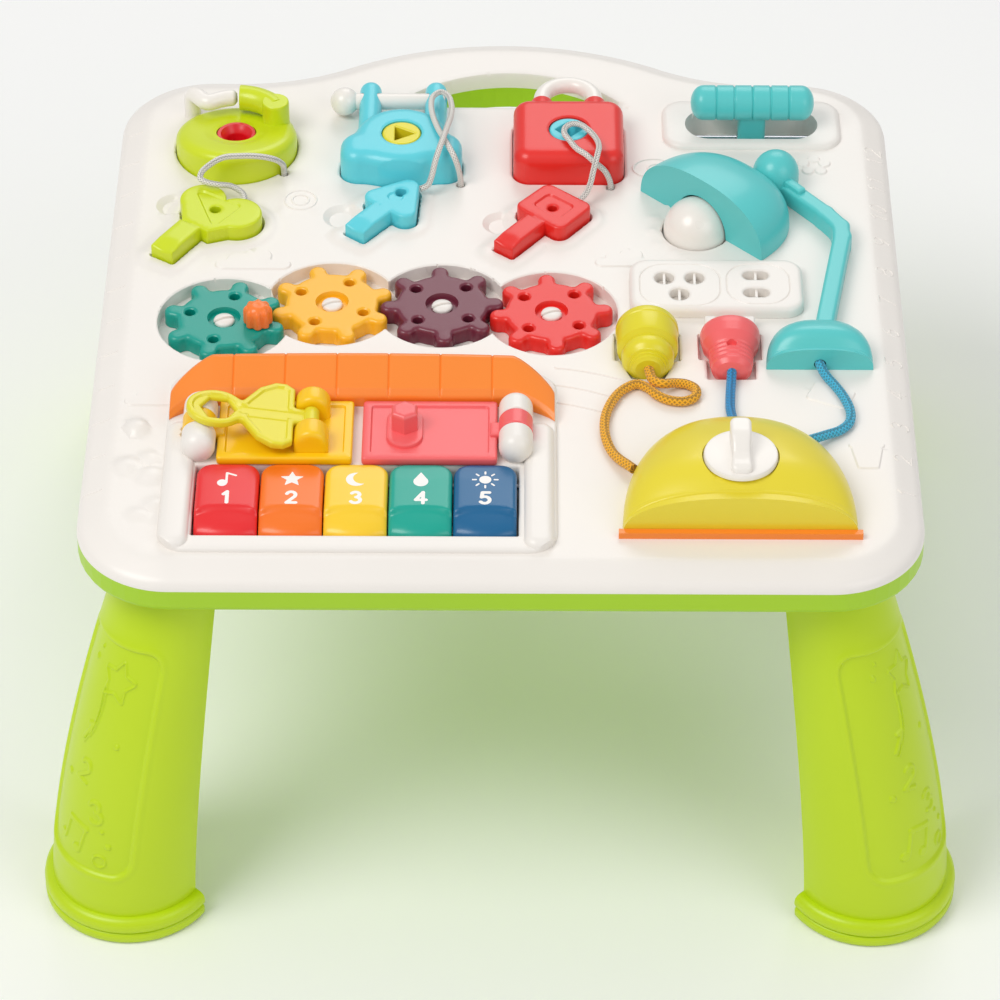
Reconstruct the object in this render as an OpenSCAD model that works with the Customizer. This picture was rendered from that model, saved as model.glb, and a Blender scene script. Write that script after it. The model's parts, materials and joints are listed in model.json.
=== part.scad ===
// Activity table for toddlers: a white play top on a green tray with four
// plug-in legs. The top carries gears, locks with keys, a door panel, a
// five-key keyboard, a lamp, plugs on cords, a timer dial and a lever.
// Origin: centre of the footprint on the floor. X right, Y to the back, Z up.

/* [Top] */
// Width of the table top between its side edges
top_w = 420; // [400:5:450]
// Depth of the table top without its rear handle
top_d = 424; // [416:2:450]
// Radius of the four corners of the table top
corner_r = 48; // [40:2:60]
// Height of the play surface above the floor
deck_h = 229; // [200:1:260]
// Rise of the crowned rim from its edge to the play surface
crown_h = 10; // [8:0.5:12]
// Width of the sloping border
crown_w = 20; // [14:1:24]
// Wall thickness of the moulded shells
wall = 2.5; // [2:0.1:3]
// How far the rear handle stands out
handle_out = 38; // [30:1:44]
// Radius of the crest of the rear handle
handle_r = 180; // [150:5:220]
// Radius of the hollows beside the rear handle
flare_r = 120; // [90:5:140]
// Width of the slot in the rear handle, between the ends of its arc
slot_w = 128; // [110:2:134]
// Depth of the slot in the rear handle
slot_d = 32; // [24:1:36]

/* [Tray] */
// Height of the tray's side wall
tray_h = 13; // [12:0.5:18]
// Thickness of the tray's floor plate
floor_t = 2.5; // [2:0.1:3.5]
// Rounding of the tray's lower edge
tray_edge_r = 3; // [1:0.5:4]

/* [Legs] */
// Radius of a leg just under the tray
leg_r_top = 26.5; // [22:0.5:28]
// Radius of a leg at its foot
leg_r_foot = 40.2; // [34:0.5:42]
// Distance of the leg's centre from the top's corner, under the tray
leg_in_top = 47.7; // [44:0.5:52]
// Distance of the leg's centre from the top's corner, at the foot
leg_in_foot = 18; // [12:1:26]
// Radius of the foot's flange
foot_r = 45.3; // [42.5:0.5:48]
// Height of the foot's flange
foot_h = 15; // [10:1:20]
// Share of the radius by which the flat inner side is set off the centre
flat_share = 0.26; // [0.2:0.02:0.4]
// Length of the spigot that plugs into the tray
spigot_h = 7.4; // [5:0.1:7.4]

/* [Gears] */
// Distance between the centres of two meshing gears
gear_pitch_d = 57.5; // [56:0.25:60]
// Radius of a gear over its teeth
gear_r = 32.2; // [31.5:0.1:33]
// Radius of a gear at the foot of its teeth
gear_root_r = 24.4; // [23:0.1:24.6]
// Width of a tooth
tooth_w = 9.2; // [7.5:0.1:9.6]
// Thickness of a gear
gear_t = 9; // [7:0.5:10]
// Depth of the pits that the gears lie in
pit_depth = 8; // [6:0.5:9]
// Radius of the posts that the gears turn on
post_r = 4; // [3:0.25:5]

/* [Locks and toy keys] */
// Radius of the round lock
round_lock_r = 33; // [30:0.5:34]
// Width of the padlock with the curved shackle
square_lock_w = 60; // [56:1:62]
// Depth of the padlock with the curved shackle
square_lock_d = 42; // [38:1:44]
// Width of the padlock with the sliding bolt
bolt_lock_w = 66; // [62:1:68]
// Height of the padlocks above the play surface
lock_h = 18; // [14:0.5:20]
// Radius of the keyhole barrels
barrel_r = 10.6; // [9:0.1:11.5]
// Thickness of a toy key
toy_key_t = 13; // [10:0.5:15]
// Radius of the bolt that slides through its lock
bolt_r = 4.5; // [3.5:0.25:5]
// Radius of the shackle that slides in its lock
shackle_r = 4.5; // [3.5:0.25:5]

/* [Keyboard] */
// Width of one piano key
piano_w = 31.3; // [29:0.1:31.6]
// Pitch from one piano key to the next
piano_pitch = 32; // [31.8:0.1:32.6]
// Length of one piano key
piano_l = 51; // [46:1:52]
// Height of a piano key above the play surface
piano_h = 6; // [4:0.5:8]
// Radius of the steel rod that the piano keys turn on
rod_r = 1.5; // [1:0.1:1.8]

/* [Doors] */
// Width of a door leaf
door_w = 68; // [62:1:69]
// Depth of a door leaf
door_d = 46; // [42:0.5:46.5]
// Thickness of a door leaf
door_t = 4.8; // [4:0.2:6]
// Radius of the door hinge barrels
hinge_r = 8.6; // [7.5:0.1:9]
// Width across the flats of the peg that the hasp drops over
peg_af = 13; // [11:0.5:14]
// Play of the hasp's hole round the peg, on each side
peg_play = 1.2; // [1.1:0.1:2]

/* [Lamp, timer and lever] */
// Height of the lamp shade above the play surface
shade_h = 30; // [24:1:34]
// Radius of the lamp's bulb
bulb_r = 17.2; // [15:0.2:18]
// Width of the lamp's arm
arm_w = 9.6; // [8:0.2:11]
// Width of the timer's housing
timer_w = 116; // [100:2:118]
// Depth of the timer's housing
timer_d = 82; // [74:2:86]
// Height of the timer's housing
timer_h = 31.5; // [28:0.5:36]
// Radius of the timer's dial
dial_r = 18.4; // [15:0.2:20]
// Length of the lever's hand bar
lever_bar_l = 67.5; // [56:0.5:68]
// Radius of the lever's hand bar
lever_bar_r = 9.6; // [8:0.2:10]

/* [Cords] */
// Diameter of the thin white cords of the toy keys
thin_cord_d = 3.2; // [2:0.1:3.6]
// Diameter of the thick cords of the plugs and the lamp
thick_cord_d = 5; // [4:0.1:5.4]

/* [Hidden] */

$fn = 48;
eps = 0.01;
gap = 0.5;       // moulding gap round a piece in its recess
seat = 0.3;      // gap between a loose piece and its seat
fit = 0.05;      // radial running clearance of pins, barrels and bolts
lip = 2;         // floor and wall thickness of the recess cups

white = [0.94, 0.92, 0.9];
green = [0.6, 0.8, 0.1];
lime = [0.7, 0.82, 0.1];
yellow = [0.98, 0.78, 0.1];
lemon = [0.88, 0.82, 0.2];
orange = [0.98, 0.57, 0.22];
red = [0.92, 0.22, 0.18];
pink = [0.95, 0.46, 0.46];
cyan = [0.3, 0.77, 0.83];
teal = [0.0, 0.65, 0.6];
plum = [0.37, 0.12, 0.23];
blue = [0.0, 0.43, 0.6];
steel = [0.7, 0.7, 0.72];

deck = deck_h;
rim_z = deck - crown_h;
tray_z = rim_z - tray_h;
inside_z = tray_z + floor_t;
foot_in = leg_in_foot + 0.3;
leg_over = foot_r - foot_in;
front_y = -(top_d + handle_out - leg_over) / 2;
back_y = front_y + top_d;
half_w = top_w / 2;
thin_r = thin_cord_d / 2;
thick_r = thick_cord_d / 2;
cord_play = 0.8;

// ---- points, rings and sweeps ----

// Arc as [x, y, outward x, outward y]; out is -1 on a hollow arc
function arc(c, r, a0, a1, n, out = 1) = [for (i = [0:n]) let (a = a0 + (a1 - a0) * i / n)
    [c[0] + r * cos(a), c[1] + r * sin(a), out * cos(a), out * sin(a)]];

flare_x = sqrt(pow(handle_r + flare_r, 2) - pow(handle_r + flare_r - handle_out, 2));
flare_a = atan2(handle_r + flare_r - handle_out, flare_x);
corner_x = half_w - corner_r;
outline = concat(
    arc([-corner_x, front_y + corner_r], corner_r, 180, 270, 10),
    arc([corner_x, front_y + corner_r], corner_r, 270, 360, 10),
    arc([corner_x, back_y - corner_r], corner_r, 0, 90, 10),
    arc([flare_x, back_y + flare_r], flare_r, 270, 180 + flare_a, 6, -1),
    arc([0, back_y + handle_out - handle_r], handle_r, flare_a + 1, 179 - flare_a, 12),
    arc([-flare_x, back_y + flare_r], flare_r, 360 - flare_a, 270, 6, -1),
    arc([-corner_x, back_y - corner_r], corner_r, 90, 180, 10));

function inset_ring(d, z) = [for (p = outline) [p[0] - p[2] * d, p[1] - p[3] * d, z]];

// Closed solid through rings of equal length, each turning left seen from the last
module loft(rings) {
    n = len(rings[0]);
    m = len(rings);
    polyhedron(points = [for (r = rings) for (p = r) p],
        faces = concat([[for (i = [0:n - 1]) i]],
            [for (k = [0:m - 2]) for (i = [0:n - 1]) let (j = (i + 1) % n)
                [k * n + i, (k + 1) * n + i, (k + 1) * n + j]],
            [for (k = [0:m - 2]) for (i = [0:n - 1]) let (j = (i + 1) % n)
                [k * n + i, (k + 1) * n + j, k * n + j]],
            [[for (i = [n - 1:-1:0]) (m - 1) * n + i]]), convexity = 6);
}

// Closed band through rings of equal length; the last ring meets the first
module loop(rings) {
    n = len(rings[0]);
    m = len(rings);
    polyhedron(points = [for (r = rings) for (p = r) p],
        faces = [for (k = [0:m - 1]) for (i = [0:n - 1]) let (j = (i + 1) % n, b = (k + 1) % m)
            each [[k * n + i, b * n + i, b * n + j], [k * n + i, b * n + j, k * n + j]]],
        convexity = 6);
}

function unit(v) = v / norm(v);
function across(v, t) = unit(v - (v * t) * t);
function carried(t, i, n) = i == 0 ? n : across(carried(t, i - 1, n), t[i]);
function spline(p, i, t) = let (a = p[max(i - 1, 0)], b = p[i], c = p[i + 1],
    d = p[min(i + 2, len(p) - 1)])
    b + t * (c - a) / 2 + t * t * (a - 2.5 * b + 2 * c - 0.5 * d)
    + t * t * t * (1.5 * b - 0.5 * a - 1.5 * c + 0.5 * d);
function smooth(p, k) = concat([for (i = [0:len(p) - 2]) for (j = [0:k - 1]) spline(p, i, j / k)],
    [p[len(p) - 1]]);

// Round tube of radius r along the points of path
module tube(path, r, k = 2, sides = 8) {
    p = smooth(path, k);
    n = len(p);
    t = [for (i = [0:n - 1]) unit(p[min(i + 1, n - 1)] - p[max(i - 1, 0)])];
    start = across(abs(t[0][2]) > 0.9 ? [1, 0, 0] : [0, 0, 1], t[0]);
    u = [for (i = [0:n - 1]) carried(t, i, start)];
    loft([for (i = [0:n - 1]) [for (s = [0:sides - 1]) let (a = -360 * s / sides)
        p[i] + r * cos(a) * u[i] - r * sin(a) * cross(t[i], u[i])]]);
}

// Bore or rod from p to q
module rod(p, q, r) {
    d = q - p;
    translate(p) rotate([0, acos(d[2] / norm(d)), atan2(d[1], d[0])]) cylinder(h = norm(d), r = r);
}

// ---- shared forms ----

module rounded_rect(w, d, r) {
    square([w - 2 * r, d], center = true);
    square([w, d - 2 * r], center = true);
    for (x = [-1, 1], y = [-1, 1]) translate([x * (w / 2 - r), y * (d / 2 - r)]) circle(r);
}

module bar2d(p, q, w, g = 0) {
    d = q - p;
    translate(p) rotate(atan2(d[1], d[0])) translate([-g, -w / 2 - g])
        square([norm(d) + 2 * g, w + 2 * g]);
}

module rod_x(x0, x1, y, z, r) translate([x0, y, z]) rotate([0, 90, 0]) cylinder(h = x1 - x0, r = r);

module rod_y(x, y0, y1, z, r) translate([x, y1, z]) rotate([90, 0, 0]) cylinder(h = y1 - y0, r = r);

// Cylinder with a rounded upper edge
module puck(r, h, f) rotate_extrude() {
    square([r - f, h]);
    square([r, h - f]);
    translate([r - f, h - f]) intersection() { circle(f); square(f); }
}

// Half dome with a flat side along X, over a squarish half oval
function oval_ring(a, b, s, q, z, n) = [for (i = [0:n]) let (t = 180 * i / n)
    [a * s * sign(cos(t)) * pow(abs(cos(t)), 2 / q), b * s * pow(sin(t), 2 / q), z]];
module half_dome(a, b, h, q = 2.3, n = 24, m = 8) loft([for (k = [0:m])
    let (z = h * sin(88 * k / m), s = pow(1 - pow(z / h, q), 1 / q))
    oval_ring(a, b, max(s, 0.05), q, z, n)]);

// ---- places on the play surface ----

house_x0 = -169;
house_x1 = 28;
house_y0 = -199.5;
house_y1 = -61;
house_t = 2.5;
keys_x = -135.7;
keys_front = -187.5;
keys_back = keys_front + piano_l;
key_well_depth = 13;
key_axis_y = keys_back - 4;
key_axis_z = deck - 7;
key_angle = 4.5;
function piano_x(i) = keys_x + piano_pitch * i;

gear_phase = [30.5, 17.5, 3, 5];
yellow_gear_at = [-89, -1.2];
gear_at = [yellow_gear_at - gear_pitch_d * [cos(13.8), sin(13.8)], yellow_gear_at,
    yellow_gear_at + gear_pitch_d * [cos(1.2), -sin(1.2)],
    yellow_gear_at + gear_pitch_d * ([cos(1.2), -sin(1.2)] + [cos(6), -sin(6)])];
gear_z = deck - pit_depth + seat;
gear_hole_at = 18.6;
hub_r = 8.3;
hub_depth = 3;
knob_at = gear_at[0] + gear_hole_at * [cos(gear_phase[0] - 45), sin(gear_phase[0] - 45)];

round_lock_at = [-145.7, 137];
lime_tilt = 0.19;
lime_h = 11.5;
catch_r = 4.6;
hook_r = 7;
hook_path_r = 25.5;
hook_z = deck + 15.2;
hook_a0 = 32;
hook_a1 = 88;
catch_a0 = 91;
catch_a1 = 130;
well = 4;

bolt_lock_at = [-55.3, 127];
bolt_lock_front = 105;
prong_dx = 18;
prong_r = 6;
prong_y = 176;
bolt_y = 168;
bolt_z = deck + 9;

square_lock_at = [35.4, 133];
square_barrel_at = square_lock_at - [0, 2];
shackle_dx = 14.5;
shackle_y = 167.5;
shackle_z = deck + 10.5;

key_hole_r = 2.4;
key_base = deck - well + seat;

lever_at = [136, 155.5];
lever_z = deck + 18;
lever_pivot_z = deck - 7;
lever_plinth = [98, 44, 3];
lever_plinth_y = 158;
lever_well = [71, 26];
lever_well_depth = 14;
stem_w = 15;
stem_d = 10;

hinge_z = deck + hinge_r + 0.6;
ball_y = [-128, -99.5];
hinge_barrel_r = hinge_r - 2.3;
hinge_y0 = ball_y[0] + hinge_r + seat;
hinge_y1 = ball_y[1] - hinge_r - seat;
hinge_pin_r = 2;
pink_hinge_x = 7.4;
yellow_hinge_x = pink_hinge_x - 159;
door_y0 = -136.4;
door_z = deck + house_t + seat;
door_top = door_z + door_t;
pink_door_x = pink_hinge_x - hinge_r - 0.6;
yellow_door_x = yellow_hinge_x + hinge_r + 0.6;

hasp_x = -95.5;
hasp_y = -111.5;
hasp_t = 4;
hasp_z = door_top + 4.4;
hasp_pin_r = 1.5;
hasp_lobe_r = 8.2;
hasp_reach = 47;
hasp_tilt = asin((hinge_z + hinge_r + seat + hasp_t / 2 - hasp_z) / (hasp_x - yellow_hinge_x));
peg_top = deck + 19.5;

shade_at = [105.6, 67.5];
shade_turn = -44.5;
shade_a = 44;
shade_b = 46;
bulb_at = [103, 64];
bulb_travel = 3;
knuckle_at = [147, 103];
knuckle_r = 12.5;
knuckle_h = 22;
arm_path = [[152, 94], [172, 69], [179.5, 57], [180, 48], [166, -32]];
lamp_base_at = [163.4, -55];
lamp_base_a = 27.5;
lamp_base_b = 29;
lamp_base_h = 20;

socket_at = [112.2, 9.5];
socket_size = [91, 44, 6];

yellow_plug_at = [76, -47];
pink_plug_at = [118, -45];

timer_at = [118.1, -186.5];
timer_q = 2.3;
strip_h = 3.6;
dial_at = [118.1, -158.5];
dial_z = deck + timer_h - 4.2;
dial_stem_r = 4;

battery_at = [104, 8];
battery_r = 5.2;
battery_l = 44.5;
battery_pitch = 12;
battery_bay = [52, 38];
bay_h = 14;
speaker_at = [-70, -110];
speaker_r = 20;
board_at = [-70, -60, inside_z + 4];
board_size = [90, 36, 1.6];
screw_r = 1.25;
screws_at = [[-192, -80], [192, -80], [-192, 80], [192, 80], [-60, front_y + 13.5],
    [60, front_y + 13.5], [-100, back_y - 20.5], [100, back_y - 16.5]];

// Routes of the cords, each from its hole to the piece that it holds, in heights over the deck
function over_deck(route) = [for (p = route) p + [0, 0, deck]];
heart_cord = over_deck([[-119, 113.5, -7], [-119, 113.5, 2], [-119.5, 107, 11], [-124, 100.5, 19],
    [-132, 98, 22.5], [-141, 97.5, 23], [-150.5, 98, 21.5], [-157.5, 96.5, 18], [-162, 93.5, 15],
    [-162.5, 90, 13.5], [-159.5, 87.5, 13], [-153, 86.5, 12], [-146, 88.5, 9.5], [-140, 87, 6],
    [-138.5, 82, 4.5], [-139, 76, 4.5]]);
triangle_cord = over_deck([[-23, 104, -7], [-23, 104, 2], [-24, 102.5, 11], [-26.5, 103.5, 19],
    [-30.5, 112, 21.5], [-35.5, 127, 20.5], [-38.5, 139, 20.5], [-39.5, 149, 20.5],
    [-38.5, 157, 20.5], [-34.5, 161, 20.5], [-30.5, 157.5, 20.5], [-28.5, 149, 20.5],
    [-28.5, 139, 21], [-30, 125, 24.5], [-33, 110, 24.5], [-36.5, 99, 19], [-38.5, 94.5, 12],
    [-40.5, 93, 7.5], [-44.5, 91.5, 6]]);
square_cord = over_deck([[58, 102, -7], [58, 102, 2], [55, 101, 11], [49.5, 99.5, 18],
    [44.5, 103, 20.8], [39.5, 109, 20.5], [35.5, 117, 20.5], [33, 123, 20.5], [33.5, 128, 20.5],
    [37, 131.5, 20.5], [41.5, 131, 20.5], [46, 126, 20.5], [50, 118.5, 20.5], [51.5, 110, 21.5],
    [50.5, 100, 22.5], [48.5, 93, 18], [46.5, 88, 11.5], [43.5, 84, 7.5], [39, 80, 6]]);
yellow_cord = over_deck([[74.5, -55, 6], [75.5, -63, 5.5], [77.5, -71, 5.5], [82, -74, 6],
    [88.5, -70.5, 3.5], [94.5, -70.5, 2.7], [99, -74.5, 2.6], [98.5, -80.5, 2.6],
    [93.5, -84, 2.6], [86, -83.5, 2.6], [79.5, -79.5, 2.6], [74.5, -73.5, 2.6], [69, -70.5, 2.6],
    [62, -75, 2.6], [56, -85, 2.6], [52.5, -98, 2.6], [52.5, -112, 2.6], [55.5, -124, 2.6],
    [59, -131, 3.5], [63, -136.6, 4.6], [66.2, -140.9, 5.2]]);
blue_cord = over_deck([[118, -53, 5], [117.8, -62, 4], [117.2, -70, 2.7], [116.5, -80, 2.6],
    [116.2, -90, 2.6], [116.7, -96, 3], [117.3, -100.5, 3.8], [117.8, -104.4, 4.6]]);
lamp_route = over_deck([[162.5, -47, 4], [163.5, -56, 3.8], [166, -63, 2.8], [170.5, -71.5, 2.6],
    [174.5, -81, 2.6], [177, -92, 2.6], [176, -100.5, 2.6], [171, -107, 2.8], [164, -112, 4],
    [157, -117, 5.5], [151, -121, 6.5]]);

// ---- footprints on the play surface, each grown by g ----

function grow(p, g) = [for (i = [0:len(p) - 1]) let (n = len(p), b = p[i],
    u = unit(b - p[(i + n - 1) % n]), v = unit(p[(i + 1) % n] - b),
    s = [u[1], -u[0]], t = [v[1], -v[0]]) b + g * (s + t) / (1 + s * t)];

module rounded_poly(pts, r, g) {
    core = grow(pts, -r);
    n = len(core);
    polygon([for (i = [0:n - 1]) let (u = core[i] - core[(i + n - 1) % n], v = core[(i + 1) % n] - core[i],
        a = atan2(u[1], u[0]) - 90, turn = (atan2(v[1], v[0]) - 90 - a + 720) % 360)
        for (k = [0:6]) core[i] + (r + g) * [cos(a + turn * k / 6), sin(a + turn * k / 6)]]);
}

module slot2d(g) {
    half = slot_w / 2;
    r = (half * half + slot_d * slot_d) / (2 * slot_d);
    end_r = 5;
    up = r - slot_d + end_r;
    side = sqrt(pow(r - end_r, 2) - up * up);
    at = [3, back_y - 30];
    ring = concat(arc(at + [side, end_r], end_r + g, -90, atan2(up, side), 6),
        arc(at + [0, end_r - up], r + g, atan2(up, side) + 2, 178 - atan2(up, side), 16),
        arc(at + [-side, end_r], end_r + g, 180 - atan2(up, side), 270, 6));
    polygon([for (p = ring) [p[0], p[1]]]);
}

module gear_pits2d(g) for (p = gear_at) translate(p) circle(gear_r + 2.5 + g, $fn = 72);

module round_lock2d(g) translate(round_lock_at) circle(round_lock_r + g, $fn = 72);

bolt_lock_x = [bolt_lock_at[0] - bolt_lock_w / 2, bolt_lock_at[0] + bolt_lock_w / 2];
hump_r = 26;
shoulder_y = 120;
shoulder_d = [bolt_lock_w / 2 - 10, shoulder_y - bolt_lock_at[1]];
shoulder_a = atan2(-shoulder_d[1], -shoulder_d[0]) - acos((10 - hump_r) / norm(shoulder_d));
bolt_lock_ring = concat(
    arc([bolt_lock_x[0] + 10, bolt_lock_front + 10], 10, 180, 270, 8),
    arc([bolt_lock_x[1] - 10, bolt_lock_front + 10], 10, 270, 360, 8),
    arc([bolt_lock_x[1] - 10, shoulder_y], 10, 0, shoulder_a, 4),
    arc(bolt_lock_at, hump_r, shoulder_a, 180 - shoulder_a, 14),
    arc([bolt_lock_x[0] + 10, shoulder_y], 10, 180 - shoulder_a, 180, 4));

function box_ring(c, w, d, r, n = 6) = concat(
    arc(c + [r - w / 2, r - d / 2], r, 180, 270, n), arc(c + [w / 2 - r, r - d / 2], r, 270, 360, n),
    arc(c + [w / 2 - r, d / 2 - r], r, 0, 90, n), arc(c + [r - w / 2, d / 2 - r], r, 90, 180, n));

square_lock_ring = box_ring(square_lock_at, square_lock_w, square_lock_d + 14, 9);

function grown(ring, g) = [for (p = ring) [p[0] + g * p[2], p[1] + g * p[3]]];

// Solid over a ring, standing from z0 to z0 + h, with its upper edge rounded by f
module pillow(ring, z0, h, f) loft(concat([[for (p = ring) [p[0], p[1], z0]]],
    [for (k = [0:5]) let (a = 18 * k) [for (p = grown(ring, -f * (1 - cos(a)))) [p[0], p[1],
        z0 + h - f + f * sin(a)]]]));

heart_lobe_a = [-160.5, 78.5];
heart_lobe_b = [-142, 65.5];
heart_hole = [-153.6, 69.6];
module heart2d(g) {
    translate(heart_lobe_a) circle(12.5 + g);
    translate(heart_lobe_b) circle(13.5 + g);
    polygon(grow([heart_lobe_a, [-172, 74.5], [-171, 60], [-156.8, 49], [-146, 52.6],
        heart_lobe_b], g));
    bar2d([-166, 56.5], [-180.3, 34.5], 14, g);
}

triangle_hole = [-54.8, 85];
module triangle2d(g) {
    rounded_poly([[-79, 82.7], [-46.9, 56.5], [-44.5, 100.5]], 6, g);
    bar2d([-64, 72], [-79, 53.2], 13, g);
}

square_hole = [26.4, 71.8];
module square2d(g) {
    rounded_poly([[5.6, 73.2], [30.7, 50.5], [48.6, 73.4], [23.9, 94]], 5, g);
    bar2d([18, 62.5], [0.1, 39.9], 12.6, g);
}

module key_well2d() translate([piano_x(2), (keys_front + keys_back) / 2])
    square([4 * piano_pitch + piano_w + 2, piano_l + 2], center = true);

well_half = (4 * piano_pitch + piano_w + 2) / 2;

module lever_well2d(g) translate([lever_at[0], lever_at[1] + 1]) {
    square([lever_well[0] - lever_well[1], lever_well[1] + 2 * g], center = true);
    for (s = [-1, 1]) translate([s * (lever_well[0] - lever_well[1]) / 2, 0])
        circle(lever_well[1] / 2 + g);
}

yellow_plug_slot = [[75, -27], [75, -56]];
module yellow_plug2d(g) {
    translate([58.7 - g, -47 - g]) square([32.6 + 2 * g, 20 + 2 * g]);
    polygon(grow([[61, -47], [67, -62], [83, -62], [89, -47]], g));
}

module pink_plug2d(g) {
    translate([102.5 - g, -46 - g]) square([31 + 2 * g, 19 + 2 * g]);
    translate([106 - g, -62 - g]) square([24 + 2 * g, 20 + 2 * g]);
}

module at_deck(depth) translate([0, 0, deck - depth]) linear_extrude(depth + 1) children();
module cup(depth) translate([0, 0, deck - depth - lip]) linear_extrude(depth + lip - 1) children();

// ---- table top ----

// Flat plate over the outline, inset by d
module plate(d, z0, z1) translate([0, 0, z0]) linear_extrude(z1 - z0)
    polygon([for (p = outline) [p[0] - p[2] * d, p[1] - p[3] * d]]);

module panel_shell() {
    plate(crown_w - 0.5, deck - wall, deck);
    loop([inset_ring(0, rim_z), inset_ring(0, rim_z + 0.15 * crown_h),
        inset_ring(0.06 * crown_w, rim_z + 0.35 * crown_h),
        inset_ring(0.2 * crown_w, rim_z + 0.6 * crown_h),
        inset_ring(0.45 * crown_w, rim_z + 0.83 * crown_h),
        inset_ring(0.75 * crown_w, rim_z + 0.96 * crown_h), inset_ring(crown_w, deck - 0.1),
        inset_ring(crown_w, deck - wall + 0.1), inset_ring(wall + 0.7 * crown_w, deck - wall),
        inset_ring(wall + 0.45 * crown_w, rim_z + 0.6 * crown_h),
        inset_ring(wall + 0.2 * crown_w, rim_z + 0.4 * crown_h),
        inset_ring(wall + 0.06 * crown_w, rim_z + 0.2 * crown_h),
        inset_ring(wall, rim_z + 0.05 * crown_h), inset_ring(wall, rim_z)]);
}

module house() {
    d = house_y1 - house_y0;
    mid = [(house_x0 + house_x1) / 2, (house_y0 + house_y1) / 2];
    translate([mid[0], mid[1], deck - 1]) linear_extrude(house_t + 1)
        rounded_rect(house_x1 - house_x0, d, 12);
    for (x = [house_x0 + 8, house_x1 - 9])
        pillow(box_ring([x, house_y0 + 48.5], 15, 95, 6), deck, piano_h, 4);
    for (x = [yellow_hinge_x, pink_hinge_x], y = ball_y) {
        translate([x, y, hinge_z]) sphere(hinge_r);
        translate([x, y, deck]) cylinder(h = hinge_z - deck, r = hinge_r - 0.4);
    }
}

module socket_plate() {
    pillow(box_ring(socket_at, socket_size[0], socket_size[1], 10), deck - 1, socket_size[2] + 1, 3);
    cup(5) translate(socket_at) rounded_rect(socket_size[0] - 8, socket_size[1] - 8, 8);
}

socket_holes = [[84.9, 14.4], [100.8, 14.5], [92.6, 0.7]];
socket_slots = [[132.9, 17], [132.9, 2.2]];

module cord_holes(r) {
    for (route = [heart_cord, triangle_cord, square_cord])
        translate([route[0][0], route[0][1], deck - 14]) cylinder(h = 15, r = r);
}

module panel_wells() {
    at_deck(pit_depth) gear_pits2d(0);
    at_deck(well) {
        round_lock2d(gap);
        polygon(grown(bolt_lock_ring, gap));
        polygon(grown(square_lock_ring, gap));
        heart2d(gap);
        triangle2d(gap);
        square2d(gap);
        yellow_plug2d(gap);
        pink_plug2d(gap);
    }
    at_deck(lever_well_depth) lever_well2d(0);
    at_deck(key_well_depth) key_well2d();
    translate([bulb_at[0], bulb_at[1], deck - 5]) cylinder(h = 6, r = bulb_r + gap);
}

module panel_cups() {
    cup(pit_depth) gear_pits2d(lip);
    cup(well) {
        round_lock2d(gap + lip);
        polygon(grown(bolt_lock_ring, gap + lip));
        polygon(grown(square_lock_ring, gap + lip));
        heart2d(gap + lip);
        triangle2d(gap + lip);
        square2d(gap + lip);
        yellow_plug2d(gap + lip);
        pink_plug2d(gap + lip);
    }
    cup(lever_well_depth) lever_well2d(lip);
    cup(key_well_depth) translate([piano_x(2), (keys_front + keys_back) / 2])
        square([2 * well_half + 2 * lip, piano_l + 2 + 2 * lip], center = true);
    translate([bulb_at[0], bulb_at[1], deck - 5 - lip]) cylinder(h = 5, r = bulb_r + gap + lip);
    translate([lever_at[0], lever_plinth_y, deck - 1])
        linear_extrude(lever_plinth[2] + 1) rounded_rect(lever_plinth[0], lever_plinth[1], 9);
    for (p = screws_at) translate([p[0], p[1], inside_z]) cylinder(h = deck - 1.6 - inside_z, r = 4);
    for (p = gear_at) translate([p[0], p[1], deck - pit_depth - 7]) cylinder(h = 6, r = post_r + 2.5);
}

module panel_bores() {
    for (p = gear_at) translate([p[0], p[1], deck - pit_depth - 8])
        cylinder(h = 9, r = post_r - 1 + fit);
    for (p = [round_lock_at, bolt_lock_at, square_barrel_at])
        translate([p[0], p[1], deck - well - 4]) cylinder(h = 6, r = barrel_r / 2 + fit);
    rod_x(lever_at[0] - lever_well[0] / 2 - 1.8, lever_at[0] + lever_well[0] / 2 + 1.8,
        lever_at[1], lever_pivot_z, 2.5 + fit);
    rod_x(piano_x(2) - well_half - 1.8, piano_x(2) + well_half + 1.8, key_axis_y, key_axis_z,
        rod_r + fit);
    for (x = [yellow_hinge_x, pink_hinge_x]) rod_y(x, ball_y[0] - 5, ball_y[1] + 5, hinge_z,
        hinge_pin_r + fit);
    for (p = screws_at) translate([p[0], p[1], inside_z - 1]) cylinder(h = 13, r = screw_r + fit);
    cord_holes(key_hole_r);
    for (p = socket_holes) translate([p[0], p[1], deck - 4]) cylinder(h = 12, r = 5.2);
    for (p = socket_slots) translate([p[0] - 6.9, p[1] - 4.5, deck - 4]) cube([13.8, 9, 12]);
    for (p = catch_holes()) translate([p[0], p[1], deck - 6]) cylinder(h = 8, r = catch_r / 2 + fit);
}

function catch_holes() = [round_lock_at + 40 * [cos(catch_a1), sin(catch_a1)]];

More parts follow.
